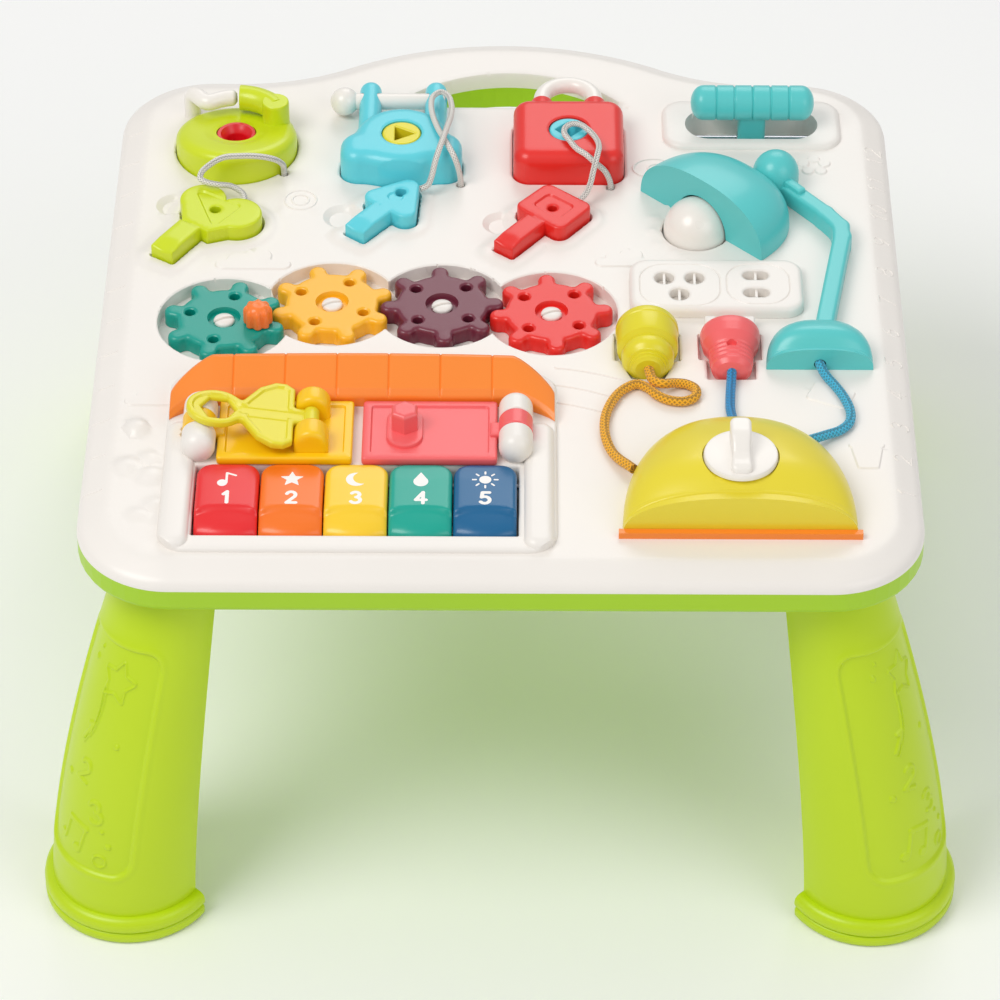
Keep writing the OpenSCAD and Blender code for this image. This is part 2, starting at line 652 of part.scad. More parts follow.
module top_panel() color(white) difference() {
    union() {
        panel_shell();
        panel_cups();
        house();
        socket_plate();
        difference() {
            translate([0, 0, rim_z]) linear_extrude(crown_h - 1) slot2d(wall);
            translate([0, 0, rim_z - 1]) linear_extrude(crown_h + 1) slot2d(0);
        }
    }
    translate([0, 0, deck - wall - 1]) linear_extrude(wall + 2) slot2d(0);
    panel_wells();
    translate([0, 0, deck]) linear_extrude(house_t + 1) key_well2d();
    translate([0, 0, deck + 1]) linear_extrude(4) lever_well2d(0);
    for (x = [yellow_hinge_x, pink_hinge_x]) {
        rod_y(x, hinge_y0 - seat, hinge_y1 + seat, hinge_z, hinge_barrel_r + gap);
        translate([x - 9, hinge_y0 - 1.6, deck + house_t]) cube([18, hinge_y1 - hinge_y0 + 3.2, 4]);
    }
    panel_bores();
}

// ---- tray, legs and fixings ----

leg_top_c = leg_in_top;
corners = [[-half_w, front_y, 45], [half_w, front_y, 135], [-half_w, back_y, -45],
    [half_w, back_y, -135]];
flat_a = acos(flat_share);
function leg_ring(k, c, r, z) = let (p = corners[k], a = p[2])
    [for (t = [0:20]) let (b = a + flat_a + (360 - 2 * flat_a) * t / 20)
        [p[0] + c * sign(cos(a)) + r * cos(b), p[1] + c * sign(sin(a)) + r * sin(b), z]];
function leg_t(z) = (z - foot_h) / (tray_z - foot_h);
function leg_c(z) = leg_in_foot + (leg_in_top - leg_in_foot) * pow(leg_t(z), 1.45);
function leg_r(z) = leg_r_foot + (leg_r_top - leg_r_foot) * pow(leg_t(z), 1.7);
leg_z = [for (k = [0:8]) foot_h + (tray_z - foot_h) * k / 8];
cap_h = 6.5;
spigot_r = leg_r_top - 4.5;
plug_h = min(spigot_h, crown_h + tray_h - max(key_well_depth, lever_well_depth) - lip - 2 * seat);

module leg_d(k, c, r, z, h) loft([leg_ring(k, c, r, z), leg_ring(k, c, r, z + h)]);

module base_tray() color(green) difference() {
    union() {
        difference() {
            union() {
                loft([inset_ring(tray_edge_r, tray_z),
                    inset_ring(0.3 * tray_edge_r, tray_z + 0.3 * tray_edge_r),
                    inset_ring(0, tray_z + tray_edge_r)]);
                plate(0, tray_z + tray_edge_r, rim_z);
            }
            plate(wall, inside_z, rim_z + 1);
        }
        for (k = [0:3]) leg_d(k, leg_in_top, spigot_r + lip, tray_z, plug_h);
        translate([0, 0, tray_z]) linear_extrude(tray_h) slot2d(wall);
        translate([battery_at[0], battery_at[1], tray_z]) linear_extrude(bay_h + 1)
            square([battery_bay[0] + 2 * lip, battery_bay[1] + 2 * lip], center = true);
    }
    translate([0, 0, tray_z - 1]) linear_extrude(tray_h + 2) slot2d(0);
    for (k = [0:3]) leg_d(k, leg_in_top, spigot_r, tray_z - 1, tray_h + 2);
    translate([battery_at[0], battery_at[1], tray_z - 1]) linear_extrude(bay_h)
        square(battery_bay, center = true);
    for (p = screws_at) translate([p[0], p[1], tray_z - 1]) {
        cylinder(h = 2.2, r = 3.3);
        cylinder(h = floor_t + 2, r = screw_r + fit);
    }
    for (x = [-3:3]) translate([speaker_at[0] + 5 * x, speaker_at[1], tray_z - 1])
        linear_extrude(floor_t + 2) square([2, 26], center = true);
}

module leg(k) color(lime) difference() {
    union() {
        loft([for (z = leg_z) leg_ring(k, leg_c(z), leg_r(z), z)]);
        leg_d(k, foot_in, foot_r, cap_h, foot_h - cap_h);
        leg_d(k, leg_in_top, spigot_r - seat, tray_z - 1, plug_h + 1);
    }
    loft([for (z = concat([cap_h - 1], [for (i = [1:7]) leg_z[i]], [tray_z - 4]))
        leg_ring(k, leg_c(max(z, foot_h)), leg_r(max(z, foot_h)) - 3, z)]);
    leg_d(k, leg_in_top, spigot_r - 3, tray_z + 2, plug_h);
}

module front_left_leg() leg(0);
module front_right_leg() leg(1);
module back_left_leg() leg(2);
module back_right_leg() leg(3);

module foot_caps() color(lime) for (k = [0:3]) {
    leg_d(k, foot_in, foot_r, 0, cap_h);
    leg_d(k, leg_in_foot, leg_r_foot - 3.4, cap_h, 4);
}

module panel_screws() color(steel) for (p = screws_at) translate([p[0], p[1], tray_z + 0.2]) {
    cylinder(h = 1, r = 3);
    cylinder(h = 12, r = screw_r);
}

module battery_door() color(green) translate([battery_at[0], battery_at[1], tray_z])
    linear_extrude(2) square([battery_bay[0] - 0.6, battery_bay[1] - 0.6], center = true);

module batteries() color(steel) for (i = [-1:1]) {
    x0 = battery_at[0] - battery_l / 2;
    rod_x(x0, x0 + battery_l - 1, battery_at[1] + i * battery_pitch, tray_z + 2 + battery_r,
        battery_r);
    rod_x(x0 + battery_l - 1, x0 + battery_l, battery_at[1] + i * battery_pitch,
        tray_z + 2 + battery_r, 1.9);
}

module speaker() color(steel) translate([speaker_at[0], speaker_at[1], inside_z]) {
    cylinder(h = 2, r = speaker_r);
    cylinder(h = 5, r = 9);
}

module circuit_board() color(teal) {
    translate([board_at[0] - board_size[0] / 2, board_at[1], inside_z + 2]) cube(board_size);
    for (x = [-38, 38], y = [4, 32]) translate([board_at[0] + x, board_at[1] + y, inside_z])
        cylinder(h = 2, r = 2.5);
}

// ---- house: awning, doors and keyboard ----

function roof_ring(x, yb, zt, yf, zf, d = 0) = [[x, yb - d, house_t], [x, yb - d, zt - d],
    [x, yb - 3 - d, zt + 0.4 - d], [x, yf + 3 + d, zf + 1.5 - d], [x, yf + d, zf - d], [x, yf + d, house_t]];
roof_line = [[-1, -81, 7, -101, 3.6], [-0.96, -74, 11.5, -98, 5], [-0.91, -69, 15, -93.5, 7.5],
    [-0.84, -65.5, 17.3, -90, 9.5], [-0.78, -64.5, 18, -89.4, 10], [0.78, -64.5, 18, -89.4, 10],
    [0.84, -65.5, 17.3, -90, 9.5], [0.91, -69, 15, -93.5, 7.5], [0.96, -74, 11.5, -98, 5],
    [1, -81, 7, -101, 3.6]];
roof_half = (house_x1 - house_x0) / 2 - 1;
roof_x = (house_x0 + house_x1) / 2;
seam_pitch = 26.3;

module awning() color(orange) translate([roof_x, 0, deck]) difference() {
    loft([for (p = roof_line) roof_ring(p[0] * roof_half, p[1], p[2], p[3], p[4])]);
    translate([0, 0, -1]) loft([for (p = roof_line)
        roof_ring(p[0] * (roof_half - 2), p[1] - 2, p[2] - 1, p[3] + 2, p[4] - 1)]);
    for (i = [-3:2]) rod([seam_pitch * (i + 0.5), -64, 18.9], [seam_pitch * (i + 0.5), -90, 10.9], 0.8);
}

module piano_key(i) color([red, orange, yellow, teal, blue][i]) difference() {
    intersection() {
        translate([piano_x(i) - piano_w / 2, 0, deck]) rotate([90, 0, 90]) linear_extrude(piano_w)
            polygon([[keys_back, -10], [keys_back, piano_h - 2], [keys_back - 4, piano_h - 0.6],
                [keys_back - 14, piano_h], [keys_front + 17, piano_h], [keys_front + 14, piano_h - 0.5],
                [keys_front + 9, piano_h - 2.6], [keys_front + 4, piano_h - 3.6],
                [keys_front + 1, piano_h - 5], [keys_front, piano_h - 7.5], [keys_front, -6],
                [keys_back - 9, -6], [keys_back - 9, -10]]);
        translate([piano_x(i), keys_back + 1, deck - 11]) rotate([90, 0, 0])
            linear_extrude(piano_l + 2) translate([0, (11 + piano_h) / 2])
                rounded_rect(piano_w, 11 + piano_h, 3.4);
    }
    rod_x(piano_x(i) - piano_w, piano_x(i) + piano_w, key_axis_y, key_axis_z, rod_r + fit);
}

module piano_key_1() piano_key(0);
module piano_key_2() piano_key(1);
module piano_key_3() piano_key(2);
module piano_key_4() piano_key(3);
module piano_key_5() piano_key(4);

module piano_key_rod() color(steel)
    rod_x(piano_x(2) - well_half - 1.6, piano_x(2) + well_half + 1.6, key_axis_y, key_axis_z, rod_r);

module key_contact_strip() color([0.25, 0.25, 0.27])
    translate([piano_x(0) - 14, keys_front + 3, deck - key_well_depth])
        cube([4 * piano_pitch + 28, 8, 2.4]);

module door_leaf(x, side) {
    x0 = side > 0 ? x : x - door_w;
    difference() {
        translate([x0, door_y0, door_z]) cube([door_w, door_d, door_t]);
        translate([x0 + 4, door_y0 + 4, door_top - 1]) cube([door_w - 8, door_d - 8, 2]);
    }
}

module yellow_door() color(yellow) difference() {
    union() {
        door_leaf(yellow_door_x, 1);
        rod_y(yellow_hinge_x, hinge_y0, hinge_y1, hinge_z, hinge_barrel_r);
        translate([yellow_hinge_x, hinge_y0, door_z + 0.4])
            cube([12, hinge_y1 - hinge_y0, 5.5]);
        for (y = hasp_lobes) {
            rod_y(hasp_x, y[0], y[1], hasp_z, hasp_lobe_r - 1.2);
            translate([hasp_x - 5.5, y[0], door_top - 1.5]) cube([11, y[1] - y[0], hasp_z - door_top]);
        }
    }
    rod_y(yellow_hinge_x, hinge_y0 - 1, hinge_y1 + 1, hinge_z, hinge_pin_r + fit);
    rod_y(hasp_x, hasp_lobes[0][0] + 3, hasp_lobes[1][1] - 3, hasp_z, hasp_pin_r + fit);
}

hasp_lobes = [[-132, -118], [-105, -93]];

module pink_door() color(pink) difference() {
    union() {
        door_leaf(pink_door_x, -1);
        rod_y(pink_hinge_x, hinge_y0, hinge_y1, hinge_z, hinge_barrel_r);
        translate([pink_hinge_x - 12, hinge_y0, door_z + 0.4])
            cube([12, hinge_y1 - hinge_y0, 5.5]);
        translate([hasp_x + hasp_reach, hasp_y, door_top - 1.5]) {
            cylinder(h = peg_top - door_top + 1.5, d = peg_af / cos(30), $fn = 6);
            linear_extrude(2.3) bar2d([0, -8], [0, 4], 17);
        }
    }
    rod_y(pink_hinge_x, hinge_y0 - 1, hinge_y1 + 1, hinge_z, hinge_pin_r + fit);
}

module door_hinge_pins() color(steel) for (x = [yellow_hinge_x, pink_hinge_x])
    rod_y(x, ball_y[0] - 4.8, ball_y[1] + 4.8, hinge_z, hinge_pin_r);

module hasp() color(lemon) translate([hasp_x, hasp_y, hasp_z]) rotate([0, hasp_tilt, 0])
    difference() {
        union() {
            rod_y(0, hasp_lobes[0][1] - hasp_y + seat, hasp_lobes[1][0] - hasp_y - seat, 0, 4);
            translate([0, 0, -hasp_t / 2]) linear_extrude(hasp_t) {
                translate([-40, -5.6]) square([40, 11.2]);
                translate([-hasp_reach, 0]) circle(12.6);
                translate([-hasp_reach - 5, 0]) circle(11);
                for (s = [-1, 1]) mirror([0, s < 0 ? 1 : 0]) {
                    polygon([[-9.5, 4], [-9.5, 21], [-13, 24], [-19, 24], [-27, 19], [-34, 8], [-36, 4]]);
                }
            }
        }
        translate([-hasp_reach, 0, -hasp_t]) cylinder(h = 2 * hasp_t,
            d = (peg_af + 2 * peg_play) / cos(30), $fn = 6);
        rod_y(0, -20, 20, 0, hasp_pin_r + fit);
    }

module hasp_pin() color(steel)
    rod_y(hasp_x, hasp_lobes[0][0] + 3.2, hasp_lobes[1][1] - 3.2, hasp_z, hasp_pin_r);

// ---- gears ----

module gear(i, c) color(c) translate([gear_at[i][0], gear_at[i][1], gear_z]) difference() {
    linear_extrude(gear_t) difference() {
        union() {
            circle(gear_root_r, $fn = 72);
            for (k = [0:7]) rotate(gear_phase[i] + 45 * k) {
                translate([gear_root_r - 6, -tooth_w / 2]) square([gear_r - gear_root_r + 6 - tooth_w / 2, tooth_w]);
                translate([gear_r - tooth_w / 2, 0]) circle(tooth_w / 2, $fn = 24);
            }
        }
        for (k = [0:3]) rotate(gear_phase[i] - 45 + 90 * k) translate([gear_hole_at, 0])
            circle(2.8, $fn = 24);
        circle(post_r + fit);
    }
    translate([0, 0, gear_t - hub_depth]) cylinder(h = hub_depth + 1, r = hub_r);
}

module teal_gear() gear(0, teal);
module yellow_gear() gear(1, yellow);
module plum_gear() gear(2, plum);
module red_gear() gear(3, red);

module gear_posts() color(white) for (p = gear_at) translate([p[0], p[1], 0]) {
    translate([0, 0, deck - pit_depth - 6]) cylinder(h = 7, r = post_r - 1);
    translate([0, 0, deck - pit_depth]) cylinder(h = gear_t - hub_depth + 2 * seat, r = post_r);
    translate([0, 0, gear_z + gear_t - hub_depth + seat]) puck(post_r + 1.6, 2.4, 1);
}

module crank_knob() color(orange) translate([knob_at[0], knob_at[1], gear_z + gear_t + seat]) {
    translate([0, 0, -7]) cylinder(h = 8, r = 2.8 - fit);
    puck(6, 12, 3);
    for (k = [0:7]) rotate(45 * k) translate([5.6, 0, 1.5]) cylinder(h = 8, r = 2, $fn = 24);
}

// ---- locks ----

function tilted_ring(r, e) = [for (k = [0:35]) let (a = 10 * k) [r * cos(a), r * sin(a),
    lime_h - lime_tilt * r * sin(a) - e]];

module lime_lock() color(lime) translate([round_lock_at[0], round_lock_at[1], 0]) difference() {
    union() {
        translate([0, 0, deck]) loft(concat([[for (k = [0:35]) let (a = 10 * k)
            [round_lock_r * cos(a), round_lock_r * sin(a), seat - well]]],
            [for (k = [0:5]) let (a = 18 * k)
                tilted_ring(round_lock_r - 6 * (1 - cos(a)), 6 * (1 - sin(a)))]));
        translate([0, 0, hook_z]) rotate(hook_a0) rotate_extrude(angle = hook_a1 - hook_a0)
            translate([hook_path_r, 0]) circle(hook_r);
        rotate(hook_a0) translate([hook_path_r - 0.6, 0, deck])
            puck(hook_r + 0.4, hook_z - deck + hook_r - 0.4, 5);
    }
    translate([0, 0, hook_z]) rotate(hook_a0 + 20) rotate_extrude(angle = hook_a1 - hook_a0 - 15)
        translate([hook_path_r, 0]) circle(catch_r + 0.6);
    translate([0, 0, deck - well]) cylinder(h = 40, r = barrel_r + fit);
}

module lock_barrel(p, top) translate([p[0], p[1], 0]) difference() {
    union() {
        translate([0, 0, deck - well + seat]) cylinder(h = top - deck + well - seat, r = barrel_r);
        translate([0, 0, deck - well - lip - 3]) cylinder(h = lip + 5, r = barrel_r / 2);
    }
    children();
}

module lime_lock_barrel() color(red) lock_barrel(round_lock_at, deck + lime_h - 2)
    translate([0, 0, deck]) {
        cylinder(h = 20, r = 5.4);
        translate([0, 0, lime_h - 5.5]) cylinder(h = 4, r1 = 5.4, r2 = 8.6);
    }

function polar(r, a, z) = [r * cos(a), r * sin(a), z];
catch_path = concat([for (a = [catch_a0:6:catch_a1 - 5]) polar(hook_path_r, a, hook_z)],
    [polar(hook_path_r + 0.8, catch_a1 - 2.5, hook_z), polar(hook_path_r + 3.5, catch_a1, hook_z),
    polar(35, catch_a1, hook_z), polar(38.2, catch_a1, hook_z - 0.8),
    polar(39.8, catch_a1, hook_z - 3.5), polar(40, catch_a1, hook_z - 8),
    polar(40, catch_a1, deck + 0.1)]);

module lime_lock_catch() color(white) translate([round_lock_at[0], round_lock_at[1], 0]) {
    tube(catch_path, catch_r, 2, 14);
    translate(polar(40, catch_a1, deck - 4)) cylinder(h = 5, r = catch_r / 2);
}

module cyan_lock() color(cyan) difference() {
    union() {
        pillow(bolt_lock_ring, deck - well, lock_h + well, 7);
        for (s = [-1, 1]) translate([bolt_lock_at[0] + s * prong_dx, 0, 0]) {
            rod_y(0, bolt_lock_at[1], prong_y, bolt_z, prong_r);
            translate([0, prong_y, bolt_z]) sphere(prong_r);
            translate([-prong_r, bolt_lock_at[1] + 20, deck]) cube([2 * prong_r, prong_y - bolt_lock_at[1] - 20, bolt_z - deck]);
            translate([0, prong_y, deck]) cylinder(h = bolt_z - deck, r = prong_r);
        }
    }
    rod_x(bolt_lock_at[0] - 40, bolt_lock_at[0] + 40, bolt_y, bolt_z, bolt_r + fit);
    translate([bolt_lock_at[0], bolt_lock_at[1], deck - well - 1]) cylinder(h = 30, r = barrel_r + fit);
}

module cyan_lock_barrel() color(lemon) lock_barrel(bolt_lock_at, deck + lock_h - 0.6)
    translate([0, 0, deck + 2]) cylinder(h = 20, r = 7.4, $fn = 3);

ball_x = bolt_lock_at[0] - prong_dx - prong_r - seat - 6;
bolt_ball_r = 7.8;
bolt_neck_a = asin(bolt_r / bolt_ball_r);
module cyan_lock_bolt() color(white) translate([ball_x - 2, bolt_y, bolt_z]) rotate([0, 90, 0])
    rotate_extrude() polygon(concat(
        [for (k = [0:8]) let (a = (180 - bolt_neck_a) * k / 8) bolt_ball_r * [sin(a), -cos(a)]],
        [[bolt_r, bolt_lock_at[0] + prong_dx + prong_r + 1 - ball_x],
        [0, bolt_lock_at[0] + prong_dx + prong_r + 1 - ball_x]]));

module red_lock() color(red) difference() {
    union() {
        pillow(square_lock_ring, deck - well, lock_h + well, 7);
        for (s = [-1, 1]) translate([square_lock_at[0] + s * shackle_dx, 0, 0]) {
            rod_y(0, square_lock_at[1], square_lock_at[1] + square_lock_d / 2 + 9.5, shackle_z, shackle_r + 2);
        }
    }
    for (s = [-1, 1]) rod_y(square_lock_at[0] + s * shackle_dx, square_lock_at[1] + 13, shackle_y + 10,
        shackle_z, shackle_r + fit);
    translate([square_barrel_at[0], square_barrel_at[1], deck - well - 1])
        cylinder(h = 30, r = barrel_r + fit);
}

module red_lock_barrel() color(cyan) lock_barrel(square_barrel_at, deck + lock_h - 0.6)
    translate([0, 0, deck + 2]) cylinder(h = 20, r = 7.4, $fn = 4);

module red_lock_shackle() color(white) {
    for (s = [-1, 1]) rod_y(square_lock_at[0] + s * shackle_dx, square_lock_at[1] + 14, shackle_y,
        shackle_z, shackle_r);
    translate([square_lock_at[0], shackle_y, shackle_z]) rotate_extrude(angle = 180)
        translate([shackle_dx, 0]) circle(shackle_r);
}

// ---- toy keys and their cords ----

module heart_key() color(lime) difference() {
    translate([0, 0, key_base]) linear_extrude(toy_key_t) difference() {
        heart2d(0);
        translate(heart_hole) circle(3);
    }
    rod([-138.5, 88, key_base + 8.2], [-139, 75, key_base + 8.2], key_hole_r);
}

module triangle_key() color(cyan) difference() {
    translate([0, 0, key_base]) linear_extrude(toy_key_t) difference() {
        triangle2d(0);
        translate(triangle_hole) circle(3);
    }
    rod([-41, 92.6, key_base + 9.7], [-51, 89, key_base + 9.7], key_hole_r);
}

module square_key() color(red) difference() {
    translate([0, 0, key_base]) linear_extrude(toy_key_t) difference() {
        square2d(0);
        translate(square_hole) circle(2.6);
    }
    rod([44, 86, key_base + 9.7], [34, 75, key_base + 9.7], key_hole_r);
}

module heart_key_cord() color(white) tube(heart_cord, thin_r);
module triangle_key_cord() color(white) tube(triangle_cord, thin_r);
module square_key_cord() color(white) tube(square_cord, thin_r);

// ---- lever ----

module lever() color(cyan) difference() {
    union() {
        rod_x(lever_at[0] - lever_bar_l / 2 + 3, lever_at[0] + lever_bar_l / 2 - 3, lever_at[1], lever_z,
            lever_bar_r);
        for (s = [-1, 1]) translate([lever_at[0] + s * (lever_bar_l / 2 - 3), lever_at[1], lever_z])
            rotate([0, s * 90, 0]) puck(lever_bar_r, 3, 2.9);
        translate([lever_at[0] - stem_w / 2, lever_at[1] - stem_d / 2, lever_pivot_z])
            cube([stem_w, stem_d, lever_z - lever_pivot_z]);
        rod_x(lever_at[0] - stem_w / 2, lever_at[0] + stem_w / 2, lever_at[1], lever_pivot_z, 5.5);
    }
    rod_x(lever_at[0] - stem_w, lever_at[0] + stem_w, lever_at[1], lever_pivot_z, 2.5 + fit);
    for (i = [-2:2]) translate([lever_at[0] + 9.9 * i, lever_at[1], lever_z]) rotate([0, 90, 0])
        rotate_extrude() translate([lever_bar_r + 0.4, 0]) circle(1, $fn = 16);
}

module lever_pin() color(steel) rod_x(lever_at[0] - lever_well[0] / 2 - 1.6,
    lever_at[0] + lever_well[0] / 2 + 1.6, lever_at[1], lever_pivot_z, 2.5);

// ---- lamp, sockets and plugs ----

module at_shade() translate([shade_at[0], shade_at[1], deck]) rotate(shade_turn) children();

module lamp_shade() color(cyan) difference() {
    union() {
        at_shade() half_dome(shade_a, shade_b, shade_h, 2.4, 28, 8);
        translate([knuckle_at[0], knuckle_at[1], deck]) puck(knuckle_r, knuckle_h, 5);
    }
    at_shade() translate([0, -1, -0.5]) half_dome(shade_a - wall, shade_b - wall, shade_h - wall + 0.5, 2.4, 28, 8);
    translate([bulb_at[0], bulb_at[1], deck - 1]) cylinder(h = bulb_r + 3.5, r = bulb_r + 0.6);
    rod([knuckle_at[0], knuckle_at[1], deck + 8], [arm_path[1][0], arm_path[1][1], deck + 8],
        arm_w / 2 + 2.1);
}

module lamp_arm() color(cyan) difference() {
    translate([0, 0, deck]) {
        for (i = [0:3]) translate([0, 0, i == 0 ? 4 : 0]) linear_extrude(i == 0 ? 6 : 10)
            bar2d(arm_path[i], arm_path[i + 1], i == 0 ? arm_w - 2 : arm_w);
        for (i = [1:3]) translate(arm_path[i]) cylinder(h = 10, r = arm_w / 2 + 0.15);
    }
    at_shade() translate([0, -1, -0.6])
        half_dome(shade_a + seat, shade_b + 1 + seat, shade_h + 0.6 + seat, 2.4, 28, 8);
}

module lamp_base() color(cyan) difference() {
    translate([lamp_base_at[0], lamp_base_at[1], deck]) half_dome(lamp_base_a, lamp_base_b, lamp_base_h, 2.6);
    translate([0, 0, deck - 1]) linear_extrude(11.6) bar2d(arm_path[3], arm_path[4], arm_w + 1.2, 0.3);
    rod(lamp_route[0] + [0, 2, 0], lamp_route[1] - [0, 3, 0], thick_r + 0.3);
}

module bulb_button() color(white) translate([bulb_at[0], bulb_at[1], 0]) {
    translate([0, 0, deck - 1.6]) cylinder(h = 2.6, r = bulb_r);
    translate([0, 0, deck + 1]) rotate_extrude() intersection() {
        circle(bulb_r);
        square(bulb_r);
    }
}

module yellow_plug() color(lemon) difference() {
    translate([75, 0, deck + 4.7]) intersection() {
        union() {
            rod_y(0, -47, -27, 0, 16.3);
            translate([0, -47, 0]) rotate([90, 0, 0]) cylinder(h = 15, r1 = 14, r2 = 7);
        }
        translate([-20, -70, -8.4]) cube([40, 50, 40]);
    }
    rod(yellow_cord[0] + [0, 6, 0], yellow_cord[1] - [0, 4, 0], thick_r + 0.3);
}

module pink_plug() color(pink) difference() {
    translate([118, 0, deck + 2.7]) intersection() {
        union() {
            rod_y(0, -46, -27, 0, 15.5);
            for (i = [0:3]) rod_y(0, -62 + 4.1 * i, -59 + 4.1 * i, 0, 11.8);
            rod_y(0, -62, -42, 0, 10.2);
        }
        translate([-20, -70, -6.4]) cube([40, 50, 15]);
    }
    rod(blue_cord[0] + [0, 6, 0], blue_cord[1] - [0, 4, 0], thick_r + 0.3);
}

module yellow_plug_cord() color(yellow) tube(yellow_cord, thick_r);
module pink_plug_cord() color(blue) tube(blue_cord, thick_r);
module lamp_cord() color(blue) tube(lamp_route, thick_r);

// ---- timer ----

module timer_housing() color(lemon) difference() {
    translate([timer_at[0], timer_at[1], deck]) half_dome(timer_w / 2, timer_d, timer_h, timer_q, 32, 9);
    translate([timer_at[0], timer_at[1] + wall, deck - 0.5])
        half_dome(timer_w / 2 - wall, timer_d - 2 * wall, timer_h - 9, timer_q, 32, 9);
    translate([timer_at[0] - timer_w, timer_at[1] - 1, deck - 1]) cube([2 * timer_w, 3.2, strip_h + 1]);
    translate([dial_at[0], dial_at[1], dial_z - seat]) cylinder(h = 30, r = dial_r + gap);
    translate([dial_at[0], dial_at[1], deck]) cylinder(h = timer_h, r = dial_stem_r + fit);
    rod(yellow_cord[19], yellow_cord[20] + [5, -6, 1.2], thick_r + cord_play);
    rod(blue_cord[6], blue_cord[7] + [1, -9, 1.2], thick_r + cord_play);
    rod(lamp_route[8] + [3, 2, 0], lamp_route[10] - [3, 2, 0], thick_r + cord_play);
}

module timer_strip() color(orange) translate([timer_at[0] - timer_w / 2 - 2, timer_at[1] - 1.5, deck])
    cube([timer_w + 4, 3.5, strip_h]);

module timer_dial() color(white) translate([dial_at[0], dial_at[1], dial_z]) {
    puck(dial_r, 3.5, 1.5);
    translate([0, 0, -7]) cylinder(h = 8, r = dial_stem_r);
    translate([0, 0, 3]) linear_extrude(10.5) bar2d([0, -11], [0, 11], 10.5);
    for (s = [-1, 1]) translate([0, 11 * s, 3]) cylinder(h = 10.5, r = 5.25);
}

top_panel();
base_tray();
front_left_leg();
front_right_leg();
back_left_leg();
back_right_leg();
foot_caps();
panel_screws();
awning();
piano_key_1();
piano_key_2();
piano_key_3();
piano_key_4();
piano_key_5();
piano_key_rod();
key_contact_strip();
yellow_door();
pink_door();
door_hinge_pins();
hasp();
hasp_pin();
teal_gear();
yellow_gear();
plum_gear();
red_gear();
gear_posts();
crank_knob();
lime_lock();
lime_lock_barrel();
lime_lock_catch();
cyan_lock();
cyan_lock_barrel();
cyan_lock_bolt();
red_lock();
red_lock_barrel();
red_lock_shackle();
heart_key();
triangle_key();
square_key();
heart_key_cord();
triangle_key_cord();
square_key_cord();
yellow_plug();
pink_plug();
yellow_plug_cord();
pink_plug_cord();
lamp_cord();
lamp_shade();
lamp_arm();
lamp_base();
bulb_button();
timer_housing();
timer_strip();
timer_dial();
lever();
circuit_board();
speaker();
battery_door();
batteries();
lever_pin();
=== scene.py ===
"""Looks of a toddler's activity table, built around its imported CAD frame.

Every sub-assembly is a class that makes its visible pieces in the row frame. Lengths in the
tables below are millimetres, and meshes are written in metres. The play surface is at DECK.
"""
import json
import logging
import math
from dataclasses import dataclass
from enum import Enum
from typing import Callable, Sequence

import bpy
import numpy as np
from mathutils import Matrix, Vector
from mathutils.geometry import delaunay_2d_cdt


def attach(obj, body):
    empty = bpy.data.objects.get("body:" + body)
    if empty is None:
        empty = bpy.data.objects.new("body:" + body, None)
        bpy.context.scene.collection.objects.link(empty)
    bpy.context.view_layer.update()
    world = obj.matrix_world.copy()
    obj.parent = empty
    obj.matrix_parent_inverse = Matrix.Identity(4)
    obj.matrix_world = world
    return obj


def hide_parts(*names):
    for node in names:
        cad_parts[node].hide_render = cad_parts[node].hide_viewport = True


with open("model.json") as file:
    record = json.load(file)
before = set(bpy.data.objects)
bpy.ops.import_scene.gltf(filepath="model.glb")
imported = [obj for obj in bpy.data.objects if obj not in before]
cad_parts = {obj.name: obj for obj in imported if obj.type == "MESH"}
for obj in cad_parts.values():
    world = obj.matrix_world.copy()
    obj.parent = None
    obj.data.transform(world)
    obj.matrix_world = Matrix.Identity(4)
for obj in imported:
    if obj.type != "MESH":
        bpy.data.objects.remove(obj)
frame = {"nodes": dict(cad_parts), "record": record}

LOG = logging.getLogger("table")
MM = 0.001
DECK = 229.0
RIM = 219.0
LOWEST_CUP = 210.0
FRONT = -217.5
BACK = 206.5
Array = np.ndarray
Field2 = Callable[[Array, Array], Array]
Solid = tuple[Array, list[Array]]


# ------------------------------------------------------------------ camera, light, stage


@dataclass(frozen=True)
class View:
    """The main camera, in the row frame (metres and degrees)."""

    place: tuple[float, float, float] = (0.0068, -1.8333, 1.659)
    pitch: float = 40.5
    yaw: float = 0.245
    roll: float = 0.083
    lens: float = 159.8

    def build(self) -> bpy.types.Object:
        """Makes the camera and sets it as the scene's.

        Returns:
            The camera object.
        """
        data = bpy.data.cameras.new("Camera")
        data.lens, data.sensor_width, data.clip_end = self.lens, 36.0, 20.0
        cam = bpy.data.objects.new("Camera", data)
        bpy.context.scene.collection.objects.link(cam)
        p, y, r = (math.radians(a) for a in (self.pitch, self.yaw, self.roll))
        turn = np.array([[math.cos(y), -math.sin(y), 0], [math.sin(y), math.cos(y), 0], [0, 0, 1]])
        right = turn @ np.array([1.0, 0, 0])
        up = turn @ np.array([0, math.sin(p), math.cos(p)])
        back = -(turn @ np.array([0, math.cos(p), -math.sin(p)]))
        right, up = (math.cos(r) * right + math.sin(r) * up, math.cos(r) * up - math.sin(r) * right)
        m = np.eye(4)
        m[:3, 0], m[:3, 1], m[:3, 2], m[:3, 3] = right, up, back, self.place
        cam.matrix_world = Matrix(m.tolist())
        bpy.context.scene.camera = cam
        return cam


